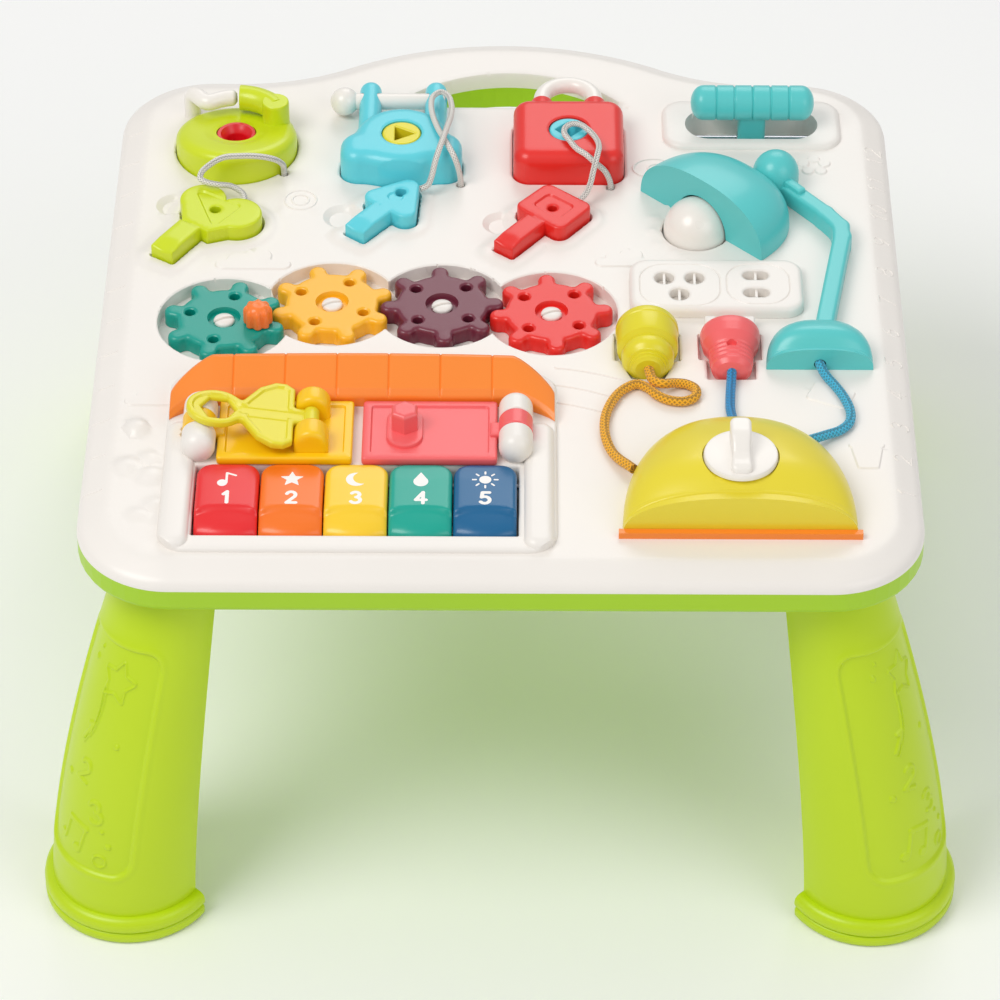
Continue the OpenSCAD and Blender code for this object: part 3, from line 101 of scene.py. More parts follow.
@dataclass(frozen=True)
class Lamp:
    """One soft studio light: its place, its size in metres and its power in watts."""

    name: str
    place: tuple[float, float, float]
    size: float
    power: float
    tint: tuple[float, float, float] = (1.0, 1.0, 1.0)

    def build(self) -> bpy.types.Object:
        """Makes the area light, aimed at the middle of the table.

        Returns:
            The light object.
        """
        data = bpy.data.lights.new(self.name, "AREA")
        data.shape, data.size, data.energy, data.color = "DISK", self.size, self.power, self.tint
        obj = bpy.data.objects.new(self.name, data)
        bpy.context.scene.collection.objects.link(obj)
        obj.location = self.place
        aim = Vector((0, 0, 0.2)) - Vector(self.place)
        obj.rotation_euler = aim.to_track_quat("-Z", "Y").to_euler()
        return obj


class Studio:
    """A pale sweep of floor with three soft lights."""

    LAMPS = (
        Lamp("Key", (-1.3, -0.9, 2.3), 1.5, 31.0, (1.0, 0.985, 0.96)),
        Lamp("Fill", (1.7, -1.5, 1.7), 1.8, 12.0),
        Lamp("Back", (0.3, 1.9, 1.8), 1.6, 12.0),
    )

    def build(self) -> None:
        """Makes the floor, the lights and the world."""
        scene = bpy.context.scene
        scene.view_settings.view_transform = "Standard"
        scene.view_settings.look = "None"
        world = bpy.data.worlds.new("World")
        world.use_nodes = True
        world.node_tree.nodes["Background"].inputs["Color"].default_value = (1, 1, 1, 1)
        world.node_tree.nodes["Background"].inputs["Strength"].default_value = 0.48
        scene.world = world
        for lamp in self.LAMPS:
            lamp.build()
        mesh = bpy.data.meshes.new("Floor")
        s = 6.0
        mesh.from_pydata([(-s, -s, -0.0004), (s, -s, -0.0004), (s, s, -0.0004), (-s, s, -0.0004)], [],
                         [(0, 1, 2, 3)])
        floor = bpy.data.objects.new("Floor", mesh)
        scene.collection.objects.link(floor)
        mesh.materials.append(Paint("floor", (252, 252, 252), roughness=0.9, coat=0.0, grain=0.0).material())
        LOG.info("studio: %d lights and a floor", len(self.LAMPS))


# ------------------------------------------------------------------ finishes


def linear(rgb: Sequence[float]) -> tuple[float, float, float, float]:
    """An sRGB colour of 0 to 255 as linear light.

    Args:
        rgb: The three channels.

    Returns:
        Red, green, blue and an alpha of 1.
    """
    c = np.asarray(rgb, float) / 255.0
    c = np.where(c <= 0.04045, c / 12.92, ((c + 0.055) / 1.055) ** 2.4)
    return (*c.tolist(), 1.0)


class Groups:
    """The shader node groups that the finishes share."""

    made: dict[str, bpy.types.NodeTree] = {}

    @classmethod
    def moulded(cls) -> bpy.types.NodeTree:
        """Fine orange-peel relief and slow changes of shade, as on injection-moulded plastic.

        Returns:
            A group with Color, Rough and Grain in, and Color, Roughness and Normal out.
        """
        if "moulded" in cls.made:
            return cls.made["moulded"]
        g = bpy.data.node_groups.new("Moulded", "ShaderNodeTree")
        new = g.interface.new_socket
        new("Color", in_out="INPUT", socket_type="NodeSocketColor")
        new("Rough", in_out="INPUT", socket_type="NodeSocketFloat")
        new("Grain", in_out="INPUT", socket_type="NodeSocketFloat")
        new("Color", in_out="OUTPUT", socket_type="NodeSocketColor")
        new("Roughness", in_out="OUTPUT", socket_type="NodeSocketFloat")
        new("Normal", in_out="OUTPUT", socket_type="NodeSocketVector")
        n, link = g.nodes.new, g.links.new
        gin, gout, coord = n("NodeGroupInput"), n("NodeGroupOutput"), n("ShaderNodeTexCoord")
        slow, fine = n("ShaderNodeTexNoise"), n("ShaderNodeTexNoise")
        slow.inputs["Scale"].default_value, slow.inputs["Detail"].default_value = 14.0, 3.0
        fine.inputs["Scale"].default_value, fine.inputs["Detail"].default_value = 620.0, 2.0
        link(coord.outputs["Object"], slow.inputs["Vector"])
        link(coord.outputs["Object"], fine.inputs["Vector"])
        shade, rough, bump = n("ShaderNodeMapRange"), n("ShaderNodeMapRange"), n("ShaderNodeBump")
        shade.inputs["To Min"].default_value, shade.inputs["To Max"].default_value = 0.965, 1.02
        rough.inputs["To Min"].default_value, rough.inputs["To Max"].default_value = -0.035, 0.05
        link(slow.outputs["Fac"], shade.inputs["Value"])
        link(slow.outputs["Fac"], rough.inputs["Value"])
        mix, add = n("ShaderNodeVectorMath"), n("ShaderNodeMath")
        mix.operation, add.operation = "SCALE", "ADD"
        link(gin.outputs["Color"], mix.inputs[0])
        link(shade.outputs["Result"], mix.inputs["Scale"])
        link(gin.outputs["Rough"], add.inputs[0])
        link(rough.outputs["Result"], add.inputs[1])
        bump.inputs["Distance"].default_value = 0.0004
        link(gin.outputs["Grain"], bump.inputs["Strength"])
        link(fine.outputs["Fac"], bump.inputs["Height"])
        link(mix.outputs["Vector"], gout.inputs["Color"])
        link(add.outputs["Value"], gout.inputs["Roughness"])
        link(bump.outputs["Normal"], gout.inputs["Normal"])
        cls.made["moulded"] = g
        return g

    @classmethod
    def braided(cls) -> bpy.types.NodeTree:
        """Crossing strands along a cord, from its own "along" and "around" attributes, with painted shade in the
        grooves between strands.

        Returns:
            A group with Color and Pitch in, and Color and Normal out.
        """
        if "braided" in cls.made:
            return cls.made["braided"]
        g = bpy.data.node_groups.new("Braided", "ShaderNodeTree")
        new = g.interface.new_socket
        new("Color", in_out="INPUT", socket_type="NodeSocketColor")
        new("Pitch", in_out="INPUT", socket_type="NodeSocketFloat")
        new("Color", in_out="OUTPUT", socket_type="NodeSocketColor")
        new("Normal", in_out="OUTPUT", socket_type="NodeSocketVector")
        n, link = g.nodes.new, g.links.new

        def math_node(op: str, a: bpy.types.NodeSocket | float, b: bpy.types.NodeSocket | float | None = None
                      ) -> bpy.types.NodeSocket:
            """Adds a math node to the group.

            Args:
                op: The operation.
                a: The first input.
                b: The second input.

            Returns:
                The result's socket.
            """
            m = n("ShaderNodeMath")
            m.operation = op
            for i, v in enumerate((a, b)):
                if isinstance(v, (int, float)):
                    m.inputs[i].default_value = v
                elif v is not None:
                    link(v, m.inputs[i])
            return m.outputs[0]

        gin, gout = n("NodeGroupInput"), n("NodeGroupOutput")
        along, around = n("ShaderNodeAttribute"), n("ShaderNodeAttribute")
        along.attribute_name, around.attribute_name = "along", "around"
        a = math_node("DIVIDE", along.outputs["Fac"], gin.outputs["Pitch"])
        t = math_node("MULTIPLY", around.outputs["Fac"], 3.0)
        waves = []
        for sign in ("ADD", "SUBTRACT"):
            phase = math_node("MULTIPLY", math_node(sign, a, t), 2 * math.pi)
            waves.append(math_node("ABSOLUTE", math_node("SINE", phase)))
        height = math_node("MAXIMUM", *waves)
        bump, shade, scale = n("ShaderNodeBump"), n("ShaderNodeMapRange"), n("ShaderNodeVectorMath")
        bump.inputs["Distance"].default_value, bump.inputs["Strength"].default_value = 0.0006, 0.9
        link(height, bump.inputs["Height"])
        # painted shade: the colour drops to 0.55 of itself in the grooves between strands and stays near full on the
        # strand crests
        shade.inputs["From Min"].default_value = 0.6
        shade.inputs["To Min"].default_value, shade.inputs["To Max"].default_value = 0.55, 1.05
        link(height, shade.inputs["Value"])
        scale.operation = "SCALE"
        link(gin.outputs["Color"], scale.inputs[0])
        link(shade.outputs["Result"], scale.inputs["Scale"])
        link(scale.outputs["Vector"], gout.inputs["Color"])
        link(bump.outputs["Normal"], gout.inputs["Normal"])
        cls.made["braided"] = g
        return g


@dataclass(frozen=True)
class Paint:
    """A finish: a colour of 0 to 255 and how it shines."""

    name: str
    rgb: tuple[int, int, int]
    roughness: float = 0.34
    coat: float = 0.25
    grain: float = 0.06
    metallic: float = 0.0
    braid: float = 0.0
    slot: str = ""

    def material(self) -> bpy.types.Material:
        """The material, made once.

        Returns:
            The Blender material of this finish.
        """
        found = bpy.data.materials.get("paint_" + self.name)
        if found:
            return found
        m = bpy.data.materials.new("paint_" + self.name)
        m.use_nodes = True
        tree = m.node_tree
        bsdf = tree.nodes["Principled BSDF"]
        colour = linear(self.rgb)
        bsdf.inputs["Base Color"].default_value = colour
        bsdf.inputs["Roughness"].default_value = self.roughness
        bsdf.inputs["Metallic"].default_value = self.metallic
        bsdf.inputs["Coat Weight"].default_value = self.coat
        bsdf.inputs["Coat Roughness"].default_value = 0.18
        if self.braid:
            # braided cords get a braid bump and painted shade that darkens the grooves between strands
            node = tree.nodes.new("ShaderNodeGroup")
            node.node_tree = Groups.braided()
            node.inputs["Color"].default_value = colour
            node.inputs["Pitch"].default_value = self.braid
            tree.links.new(node.outputs["Color"], bsdf.inputs["Base Color"])
            tree.links.new(node.outputs["Normal"], bsdf.inputs["Normal"])
            bsdf.inputs["Sheen Weight"].default_value = 0.25
        elif self.grain:
            node = tree.nodes.new("ShaderNodeGroup")
            node.node_tree = Groups.moulded()
            node.inputs["Color"].default_value = colour
            node.inputs["Rough"].default_value = self.roughness
            node.inputs["Grain"].default_value = self.grain
            tree.links.new(node.outputs["Color"], bsdf.inputs["Base Color"])
            tree.links.new(node.outputs["Roughness"], bsdf.inputs["Roughness"])
            tree.links.new(node.outputs["Normal"], bsdf.inputs["Normal"])
        return m


class Finish(Enum):
    """Every finish on the table."""

    SHELL = Paint("shell", (243, 238, 232), 0.36, 0.12, slot="white_shell")
    TRAY = Paint("tray", (168, 212, 16), 0.4, 0.1, slot="green_tray")
    LEG = Paint("leg", (194, 222, 0), 0.38, 0.12, slot="lime_leg")
    LIME = Paint("lime", (210, 226, 24), slot="lime")
    YELLOW = Paint("yellow", (254, 203, 8), slot="yellow")
    GEAR_YELLOW = Paint("gear_yellow", (252, 186, 30), slot="yellow")
    LEMON = Paint("lemon", (232, 220, 40), slot="lemon")
    TIMER = Paint("timer", (236, 218, 50), slot="lemon")
    ORANGE = Paint("orange", (253, 140, 45), slot="orange")
    KNOB = Paint("knob", (253, 128, 48), slot="orange")
    RED = Paint("red", (236, 42, 34), slot="red")
    INSERT_RED = Paint("insert_red", (224, 20, 34), slot="red")
    PINK = Paint("pink", (248, 104, 106), slot="pink")
    CYAN = Paint("cyan", (96, 214, 228), slot="cyan")
    LAMP = Paint("lamp", (92, 206, 206), slot="cyan")
    TEAL = Paint("teal", (0, 158, 142), slot="teal")
    PLUM = Paint("plum", (112, 40, 60), slot="plum")
    KEY_RED = Paint("key_red", (236, 36, 40), slot="red")
    KEY_ORANGE = Paint("key_orange", (250, 120, 26), slot="key_orange")
    KEY_YELLOW = Paint("key_yellow", (252, 208, 40), slot="yellow")
    KEY_TEAL = Paint("key_teal", (0, 168, 148), slot="teal")
    KEY_BLUE = Paint("key_blue", (0, 98, 148), slot="blue")
    BUTTON = Paint("button", (246, 241, 234), 0.28, 0.3, slot="white_shell")
    INK = Paint("ink", (250, 248, 245), 0.5, 0.0, 0.0)
    STEEL = Paint("steel", (190, 190, 195), 0.28, 0.0, 0.0, metallic=1.0, slot="steel")
    RUBBER = Paint("rubber", (60, 60, 64), 0.7, 0.0, slot="rubber_grey")
    BOARD = Paint("board", (20, 110, 70), 0.5, 0.0, slot="board")
    BATTERY = Paint("battery", (60, 60, 66), 0.35, slot="battery")
    CORD_WHITE = Paint("cord_white", (246, 243, 236), 0.8, 0.0, braid=0.0032, slot="cord_white")
    CORD_YELLOW = Paint("cord_yellow", (250, 180, 30), 0.75, 0.0, braid=0.0046, slot="cord_yellow")
    CORD_BLUE = Paint("cord_blue", (30, 150, 215), 0.75, 0.0, braid=0.0046, slot="cord_blue")
    CORD_SKY = Paint("cord_sky", (66, 185, 222), 0.75, 0.0, braid=0.0046, slot="cord_blue")


# ------------------------------------------------------------------ plane fields


def circle(x: Array, y: Array, cx: float, cy: float, r: float) -> Array:
    """Signed distance to a disc, below zero inside."""
    return np.hypot(x - cx, y - cy) - r


def rect(x: Array, y: Array, cx: float, cy: float, w: float, d: float, r: float = 0.0,
         turn: float = 0.0) -> Array:
    """Signed distance to a rectangle of width w and depth d, rounded by r and turned by degrees.

    Args:
        x: The places' x values in millimetres.
        y: Their y values.
        cx: The middle in x.
        cy: The middle in y.
        w: The width.
        d: The depth.
        r: The radius of the corners.
        turn: The turn in degrees.

    Returns:
        The signed distances.
    """
    c, s = math.cos(math.radians(turn)), math.sin(math.radians(turn))
    u, v = np.abs(c * (x - cx) + s * (y - cy)) - w / 2 + r, np.abs(c * (y - cy) - s * (x - cx)) - d / 2 + r
    return np.hypot(np.maximum(u, 0), np.maximum(v, 0)) + np.minimum(np.maximum(u, v), 0) - r


def capsule(x: Array, y: Array, a: Sequence[float], b: Sequence[float], r: float) -> Array:
    """Signed distance to a thick line from a to b.

    Args:
        x: The places' x values in millimetres.
        y: Their y values.
        a: One end.
        b: The other end.
        r: The radius.

    Returns:
        The signed distances.
    """
    dx, dy = b[0] - a[0], b[1] - a[1]
    t = np.clip(((x - a[0]) * dx + (y - a[1]) * dy) / max(dx * dx + dy * dy, 1e-9), 0, 1)
    return np.hypot(x - a[0] - t * dx, y - a[1] - t * dy) - r


def strokes(x: Array, y: Array, lines: Sequence[Sequence[Sequence[float]]], r: float) -> Array:
    """Signed distance to polylines drawn with a round pen of radius r.

    Args:
        x: The places' x values in millimetres.
        y: Their y values.
        lines: The lines' points.
        r: The pen's radius.

    Returns:
        The signed distances.
    """
    out = np.full(np.shape(x), 1e3)
    for line in lines:
        for a, b in zip(line[:-1], line[1:]):
            out = np.minimum(out, capsule(x, y, a, b, r))
    return out


def polygon(x: Array, y: Array, pts: Sequence[Sequence[float]], r: float = 0.0) -> Array:
    """Signed distance to a polygon, grown by r with round corners.

    Args:
        x: The places' x values in millimetres.
        y: Their y values.
        pts: The corners.
        r: How far it is grown.

    Returns:
        The signed distances.
    """
    p = np.asarray(pts, float)
    d2, sign = np.full(np.shape(x), 1e12), np.ones(np.shape(x))
    for a, b in zip(p, np.roll(p, 1, axis=0)):
        e, wx, wy = b - a, x - a[0], y - a[1]
        t = np.clip((wx * e[0] + wy * e[1]) / (e @ e), 0, 1)
        d2 = np.minimum(d2, (wx - t * e[0]) ** 2 + (wy - t * e[1]) ** 2)
        c1, c2, c3 = y >= a[1], y < b[1], e[0] * wy > e[1] * wx
        sign = np.where((c1 & c2 & c3) | (~c1 & ~c2 & ~c3), -sign, sign)
    return sign * np.sqrt(d2) - r


def merge(a: Array, b: Array, k: float) -> Array:
    """Union of two fields with a fillet of about k in the hollow between them."""
    h = np.maximum(k - np.abs(a - b), 0) / k
    return np.minimum(a, b) - h * h * k / 4


def step(t: Array) -> Array:
    """A smooth step from 0 to 1 as t goes from 0 to 1."""
    t = np.clip(t, 0, 1)
    return t * t * (3 - 2 * t)


def edge_drop(d: Array, r: float) -> Array:
    """How far a rounded edge of radius r has dropped at the signed distance d from the outline."""
    t = np.clip(1 + d / r, 0, 1)
    return r * (1 - np.sqrt(np.maximum(1 - t * t, 0)))


def contour(f: Array, xs: Array, ys: Array, level: float) -> tuple[Array, Array]:
    """Points and edges of the line f = level on a grid, by marching squares on whole arrays.

    Args:
        f: The field, one row for each y.
        xs: The grid's x values.
        ys: The grid's y values.
        level: The value to trace.

    Returns:
        Points (n, 2) and edges (m, 2).
    """
    s = f < level
    h, v = s[:, :-1] != s[:, 1:], s[:-1, :] != s[1:, :]
    hid, vid = np.full(h.shape, -1), np.full(v.shape, -1)
    hid[h], vid[v] = np.arange(h.sum()), h.sum() + np.arange(v.sum())
    hj, hi = np.nonzero(h)
    vj, vi = np.nonzero(v)
    th = np.clip((level - f[hj, hi]) / (f[hj, hi + 1] - f[hj, hi]), 0.06, 0.94)
    tv = np.clip((level - f[vj, vi]) / (f[vj + 1, vi] - f[vj, vi]), 0.06, 0.94)
    pts = np.concatenate([np.stack([xs[hi] + th * (xs[hi + 1] - xs[hi]), ys[hj]], 1),
                          np.stack([xs[vi], ys[vj] + tv * (ys[vj + 1] - ys[vj])], 1)])
    code = s[:-1, :-1] + 2 * s[:-1, 1:] + 4 * s[1:, 1:] + 8 * s[1:, :-1]
    side = {"b": hid[:-1, :], "t": hid[1:, :], "l": vid[:, :-1], "r": vid[:, 1:]}
    table = {1: "lb", 2: "br", 3: "lr", 4: "rt", 6: "bt", 7: "lt", 8: "lt", 9: "bt", 11: "rt", 12: "lr",
             13: "br", 14: "lb", 5: "lbrt", 10: "brlt"}
    edges = [np.stack([side[pair[k]][code == c], side[pair[k + 1]][code == c]], 1)
             for c, pair in table.items() for k in range(0, len(pair), 2)]
    return pts, np.concatenate(edges)


# ------------------------------------------------------------------ meshes


def make_object(name: str, verts: Array, faces: Sequence[Array], paint: Paint, sharp: float = 38.0,
                scalars: dict[str, Array] | None = None) -> bpy.types.Object:
    """A mesh object at the origin from points in millimetres.

    Args:
        name: The object's name.
        verts: Points (n, 3) in millimetres.
        faces: Arrays of faces, each (m, k) with k corners.
        paint: Its finish.
        sharp: Edges that turn by more than this many degrees stay crisp.
        scalars: Extra values for each point, by attribute name.

    Returns:
        The linked object.
    """
    mesh = bpy.data.meshes.new(name)
    counts = np.concatenate([np.full(len(f), f.shape[1]) for f in faces]).astype(np.int32)
    loops = np.concatenate([f.ravel() for f in faces]).astype(np.int32)
    mesh.vertices.add(len(verts))
    mesh.vertices.foreach_set("co", (np.asarray(verts, np.float64) * MM).astype(np.float32).ravel())
    mesh.loops.add(len(loops))
    mesh.loops.foreach_set("vertex_index", loops)
    mesh.polygons.add(len(counts))
    mesh.polygons.foreach_set("loop_start", (np.cumsum(counts) - counts).astype(np.int32))
    mesh.polygons.foreach_set("loop_total", counts)
    mesh.update(calc_edges=True)
    mesh.validate()
    mesh.polygons.foreach_set("use_smooth", np.ones(len(mesh.polygons), bool))
    mesh.set_sharp_from_angle(angle=math.radians(sharp))
    for key, values in (scalars or {}).items():
        mesh.attributes.new(key, "FLOAT", "POINT").data.foreach_set("value", values.astype(np.float32))
    obj = bpy.data.objects.new(name, mesh)
    bpy.context.scene.collection.objects.link(obj)
    mesh.materials.append(paint.material())
    LOG.info("%s: %d faces", name, len(counts))
    return obj


@dataclass
class Relief:
    """A moulded piece: an outline in plan with a height over every point of it.

    The outline and the creases are signed-distance fields. Their level lines are traced on a
    grid and become edges of a Delaunay triangulation, so fillets and steps keep crisp lines.
    The top is z = top(x, y, d), the underside z = bottom(x, y, d), with d the outline's field.
    """

    outline: Field2
    top: Callable[[Array, Array, Array], Array]
    bottom: Callable[[Array, Array, Array], Array]
    span: tuple[float, float, float, float]
    rings: Sequence[float] = ()
    creases: Sequence[tuple[Field2, Sequence[float]]] = ()
    cell: float = 0.6
    fill: float = 2.4

    def plan(self) -> tuple[Array, Array]:
        """Points and triangles of the plan, each triangle turning left.

        Returns:
            Points (n, 2) and triangles (m, 3).
        """
        x0, y0, x1, y1 = self.span
        xs = np.arange(x0 - 2.13 * self.cell, x1 + 2.5 * self.cell, self.cell)
        ys = np.arange(y0 - 2.17 * self.cell, y1 + 2.5 * self.cell, self.cell)
        gx, gy = np.meshgrid(xs, ys)
        whole = self.outline(gx, gy)
        fields = [(self.outline, (0.0, *self.rings))] + [(f, levels) for f, levels in self.creases]
        pts, edges, count = [], [], 0
        for k, (f, levels) in enumerate(fields):
            values = whole if k == 0 else f(gx, gy)
            for level in levels:
                p, e = contour(values, xs, ys, level)
                if k and len(p):
                    inside = self.outline(p[:, 0], p[:, 1]) < -0.25 * self.cell
                    e = e[inside[e].all(1)]
                    used = np.unique(e)
                    lookup = np.full(len(p), -1)
                    lookup[used] = np.arange(len(used))
                    p, e = p[used], lookup[e]
                if len(p):
                    pts.append(p)
                    edges.append(e + count)
                    count += len(p)
        size = self.fill
        hx, hy = np.meshgrid(np.arange(x0, x1, size), np.arange(y0, y1, size * 0.866))
        hx = hx + np.where(np.arange(hx.shape[0]) % 2 == 0, 0, size / 2)[:, None]
        hx, hy = hx.ravel(), hy.ravel()
        near = np.full(hx.shape, 1e9)
        for f, levels in fields:
            v = f(hx, hy)
            for level in levels:
                near = np.minimum(near, np.abs(v - level))
        keep = (self.outline(hx, hy) < 0) & (near > 0.45 * size)
        pts.append(np.stack([hx[keep], hy[keep]], 1))
        points = np.concatenate(pts)
        verts, _, faces, _, _, _ = delaunay_2d_cdt([Vector(p) for p in points.tolist()],
                                                   np.concatenate(edges).tolist(), [], 0, 1e-5)
        p2 = np.array([tuple(v) for v in verts])
        tri = np.array([f for f in faces if len(f) == 3])
        a, b, c = p2[tri[:, 0]], p2[tri[:, 1]], p2[tri[:, 2]]
        mid = (a + b + c) / 3
        area = (b[:, 0] - a[:, 0]) * (c[:, 1] - a[:, 1]) - (b[:, 1] - a[:, 1]) * (c[:, 0] - a[:, 0])
        tri[area < 0] = tri[area < 0][:, ::-1]
        tri = tri[(self.outline(mid[:, 0], mid[:, 1]) < 0) & (np.abs(area) > 1e-9)]
        used, flat = np.unique(tri, return_inverse=True)
        return p2[used], flat.reshape(tri.shape)

    def solid(self) -> Solid:
        """The closed solid between top and underside.

        Returns:
            Points (n, 3) in millimetres, and the triangle and quad faces.
        """
        p, tri = self.plan()
        n = len(p)
        d = np.minimum(self.outline(p[:, 0], p[:, 1]), 0)
        top = np.column_stack([p, self.top(p[:, 0], p[:, 1], d)])
        low = np.column_stack([p, self.bottom(p[:, 0], p[:, 1], d) + np.zeros(n)])
        e = np.concatenate([tri[:, [0, 1]], tri[:, [1, 2]], tri[:, [2, 0]]])
        code = e[:, 0] * n + e[:, 1]
        rim = e[~np.isin(code, e[:, 1] * n + e[:, 0])]
        walls = np.stack([rim[:, 0] + n, rim[:, 1] + n, rim[:, 1], rim[:, 0]], 1)
        return np.concatenate([top, low]), [tri, tri[:, ::-1] + n, walls]

    def build(self, name: str, paint: Paint, sharp: float = 38.0,
              move: Callable[[Array], Array] | None = None) -> bpy.types.Object:
        """Makes the object, after moving the points if asked.

        Args:
            name: The object's name.
            paint: Its finish.
            sharp: The crease angle in degrees.
            move: Maps points (n, 3) to where the piece really stands.

        Returns:
            The object.
        """
        verts, faces = self.solid()
        return make_object(name, move(verts) if move else verts, faces, paint, sharp)


def skin(grid: Array) -> Solid:
    """A closed skin over a grid of points: rows along the piece, columns around it, a fan at each end.

    Args:
        grid: Points (rows, columns, 3) in millimetres, each row turning left seen from the last row.

    Returns:
        Points and faces.
    """
    rows, cols = grid.shape[:2]
    idx = np.arange(rows * cols).reshape(rows, cols)
    nxt = np.roll(idx, -1, axis=1)
    quads = np.stack([idx[:-1], nxt[:-1], nxt[1:], idx[1:]], -1).reshape(-1, 4)
    a, b = rows * cols, rows * cols + 1
    first, last = idx[0], idx[-1]
    fans = [np.stack([np.roll(first, -1), first, np.full(cols, a)], 1),
            np.stack([last, np.roll(last, -1), np.full(cols, b)], 1)]
    return np.concatenate([grid.reshape(-1, 3), grid[0].mean(0)[None], grid[-1].mean(0)[None]]), [quads, *fans]


def unit(v: Array) -> Array:
    """Rows of v at a length of 1."""
    return v / np.maximum(np.linalg.norm(v, axis=-1, keepdims=True), 1e-12)


def lathe(profile: Sequence[Sequence[float]], at: Sequence[float], axis: Sequence[float] = (0, 0, 1),
          n: int = 64) -> Solid:
    """A turned solid: the profile of (radius, height) points spun about an axis through at.

    Args:
        profile: Points from the low end to the high end.
        at: The point of height 0 on the axis, in millimetres.
        axis: The axis' direction.
        n: Points around.

    Returns:
        Points and faces.
    """
    p = np.asarray(profile, float)
    w = unit(np.asarray(axis, float))
    u = unit(np.cross(w, [0.3, 0.9, 0.1] if abs(w[1]) < 0.9 else [1, 0, 0]))
    v = np.cross(w, u)
    a = 2 * np.pi * np.arange(n) / n
    ring = np.cos(a)[:, None] * u + np.sin(a)[:, None] * v
    grid = np.asarray(at, float) + p[:, 1, None, None] * w + np.maximum(p[:, 0], 1e-3)[:, None, None] * ring
    return skin(grid)


def join(*parts: Solid) -> Solid:
    """Several solids as one mesh.

    Args:
        parts: The solids.

    Returns:
        One solid's points and faces.
    """
    pts, faces, n = [], [], 0
    for p, fs in parts:
        pts.append(p)
        faces += [f + n for f in fs]
        n += len(p)
    return np.concatenate(pts), faces


def rounded(p: Sequence[Sequence[float]], r: float | Sequence[float], n: int = 5) -> Array:
    """A profile line with its inner corners rounded by r.

    Args:
        p: The line's points.
        r: The rounding at each point.
        n: How many points replace a corner.

    Returns:
        The rounded line's points.
    """
    q = np.asarray(p, float)
    rs = np.broadcast_to(r, len(q))
    out = [q[:1]]
    for a, b, c, rr in zip(q[:-2], q[1:-1], q[2:], rs[1:-1]):
        u, v = unit(a - b), unit(c - b)
        reach = min(rr / max(math.tan(math.acos(np.clip(u @ v, -1, 1)) / 2), 1e-6),
                    0.49 * np.linalg.norm(a - b), 0.49 * np.linalg.norm(c - b))
        t = np.linspace(0, 1, n)[:, None]
        s, e = b + u * reach, b + v * reach
        out.append((1 - t) ** 2 * s + 2 * t * (1 - t) * b + t * t * e)
    return np.concatenate([*out, q[-1:]])


def spline(points: Sequence[Sequence[float]], step_mm: float = 0.8) -> Array:
    """A smooth line through the points, sampled about every step_mm (centripetal Catmull-Rom).

    Args:
        points: The points to pass.
        step_mm: The distance between the new points.

    Returns:
        Points along the curve.
    """
    p = np.asarray(points, float)
    p = np.concatenate([2 * p[:1] - p[1:2], p, 2 * p[-1:] - p[-2:-1]])
    knots = np.concatenate([[0], np.cumsum(np.sqrt(np.linalg.norm(np.diff(p, axis=0), axis=1)))])
    out = []
    for i in range(1, len(p) - 2):
        n = max(2, int(np.linalg.norm(p[i + 1] - p[i]) / step_mm))
        t = np.linspace(knots[i], knots[i + 1], n, endpoint=i == len(p) - 3)[:, None]
        k = knots[i - 1: i + 3]
        a = [(k[j + 1] - t) / (k[j + 1] - k[j]) * p[i - 1 + j] + (t - k[j]) / (k[j + 1] - k[j]) * p[i + j]
             for j in range(3)]
        b = [(k[j + 2] - t) / (k[j + 2] - k[j]) * a[j] + (t - k[j]) / (k[j + 2] - k[j]) * a[j + 1]
             for j in range(2)]
        out.append((k[2] - t) / (k[2] - k[1]) * b[0] + (t - k[1]) / (k[2] - k[1]) * b[1])
    return np.concatenate(out)


def sweep(path: Array, radius: float | Array, sides: int) -> tuple[Array, list[Array], dict[str, Array]]:
    """A round tube along a path, with frames carried along it without twist.

    Args:
        path: Points (n, 3) in millimetres.
        radius: One radius, or one for each point.
        sides: Points around.

    Returns:
        Points, faces, and the "along" (metres) and "around" (0 to 1) values of each point.
    """
    t = unit(np.gradient(path, axis=0))
    u = np.array([1, 0, 0] if abs(t[0, 2]) > 0.9 else [0, 0, 1], float)
    frames = []
    for k in range(len(path)):
        u = u - (u @ t[k]) * t[k]
        u = u / np.linalg.norm(u)
        frames.append(u)
    u = np.array(frames)
    v = np.cross(t, u)
    a = 2 * np.pi * np.arange(sides) / sides
    r = np.broadcast_to(radius, len(path))[:, None, None]
    grid = path[:, None, :] + r * (np.cos(a)[None, :, None] * u[:, None] + np.sin(a)[None, :, None] * v[:, None])
    pts, faces = skin(grid)
    length = np.concatenate([[0], np.cumsum(np.linalg.norm(np.diff(path, axis=0), axis=1))]) * MM
    along = np.concatenate([np.repeat(length, sides), [0, length[-1]]])
    around = np.concatenate([np.tile(np.arange(sides) / sides, len(path)), [0, 0]])
    return pts, faces, {"along": along, "around": around}


def rod(a: Sequence[float], b: Sequence[float], r: float, n: int = 32) -> Solid:
    """A round bar of radius r from a to b."""
    axis = np.asarray(b, float) - np.asarray(a, float)
    return lathe([(r, 0), (r, float(np.linalg.norm(axis)))], a, axis, n)


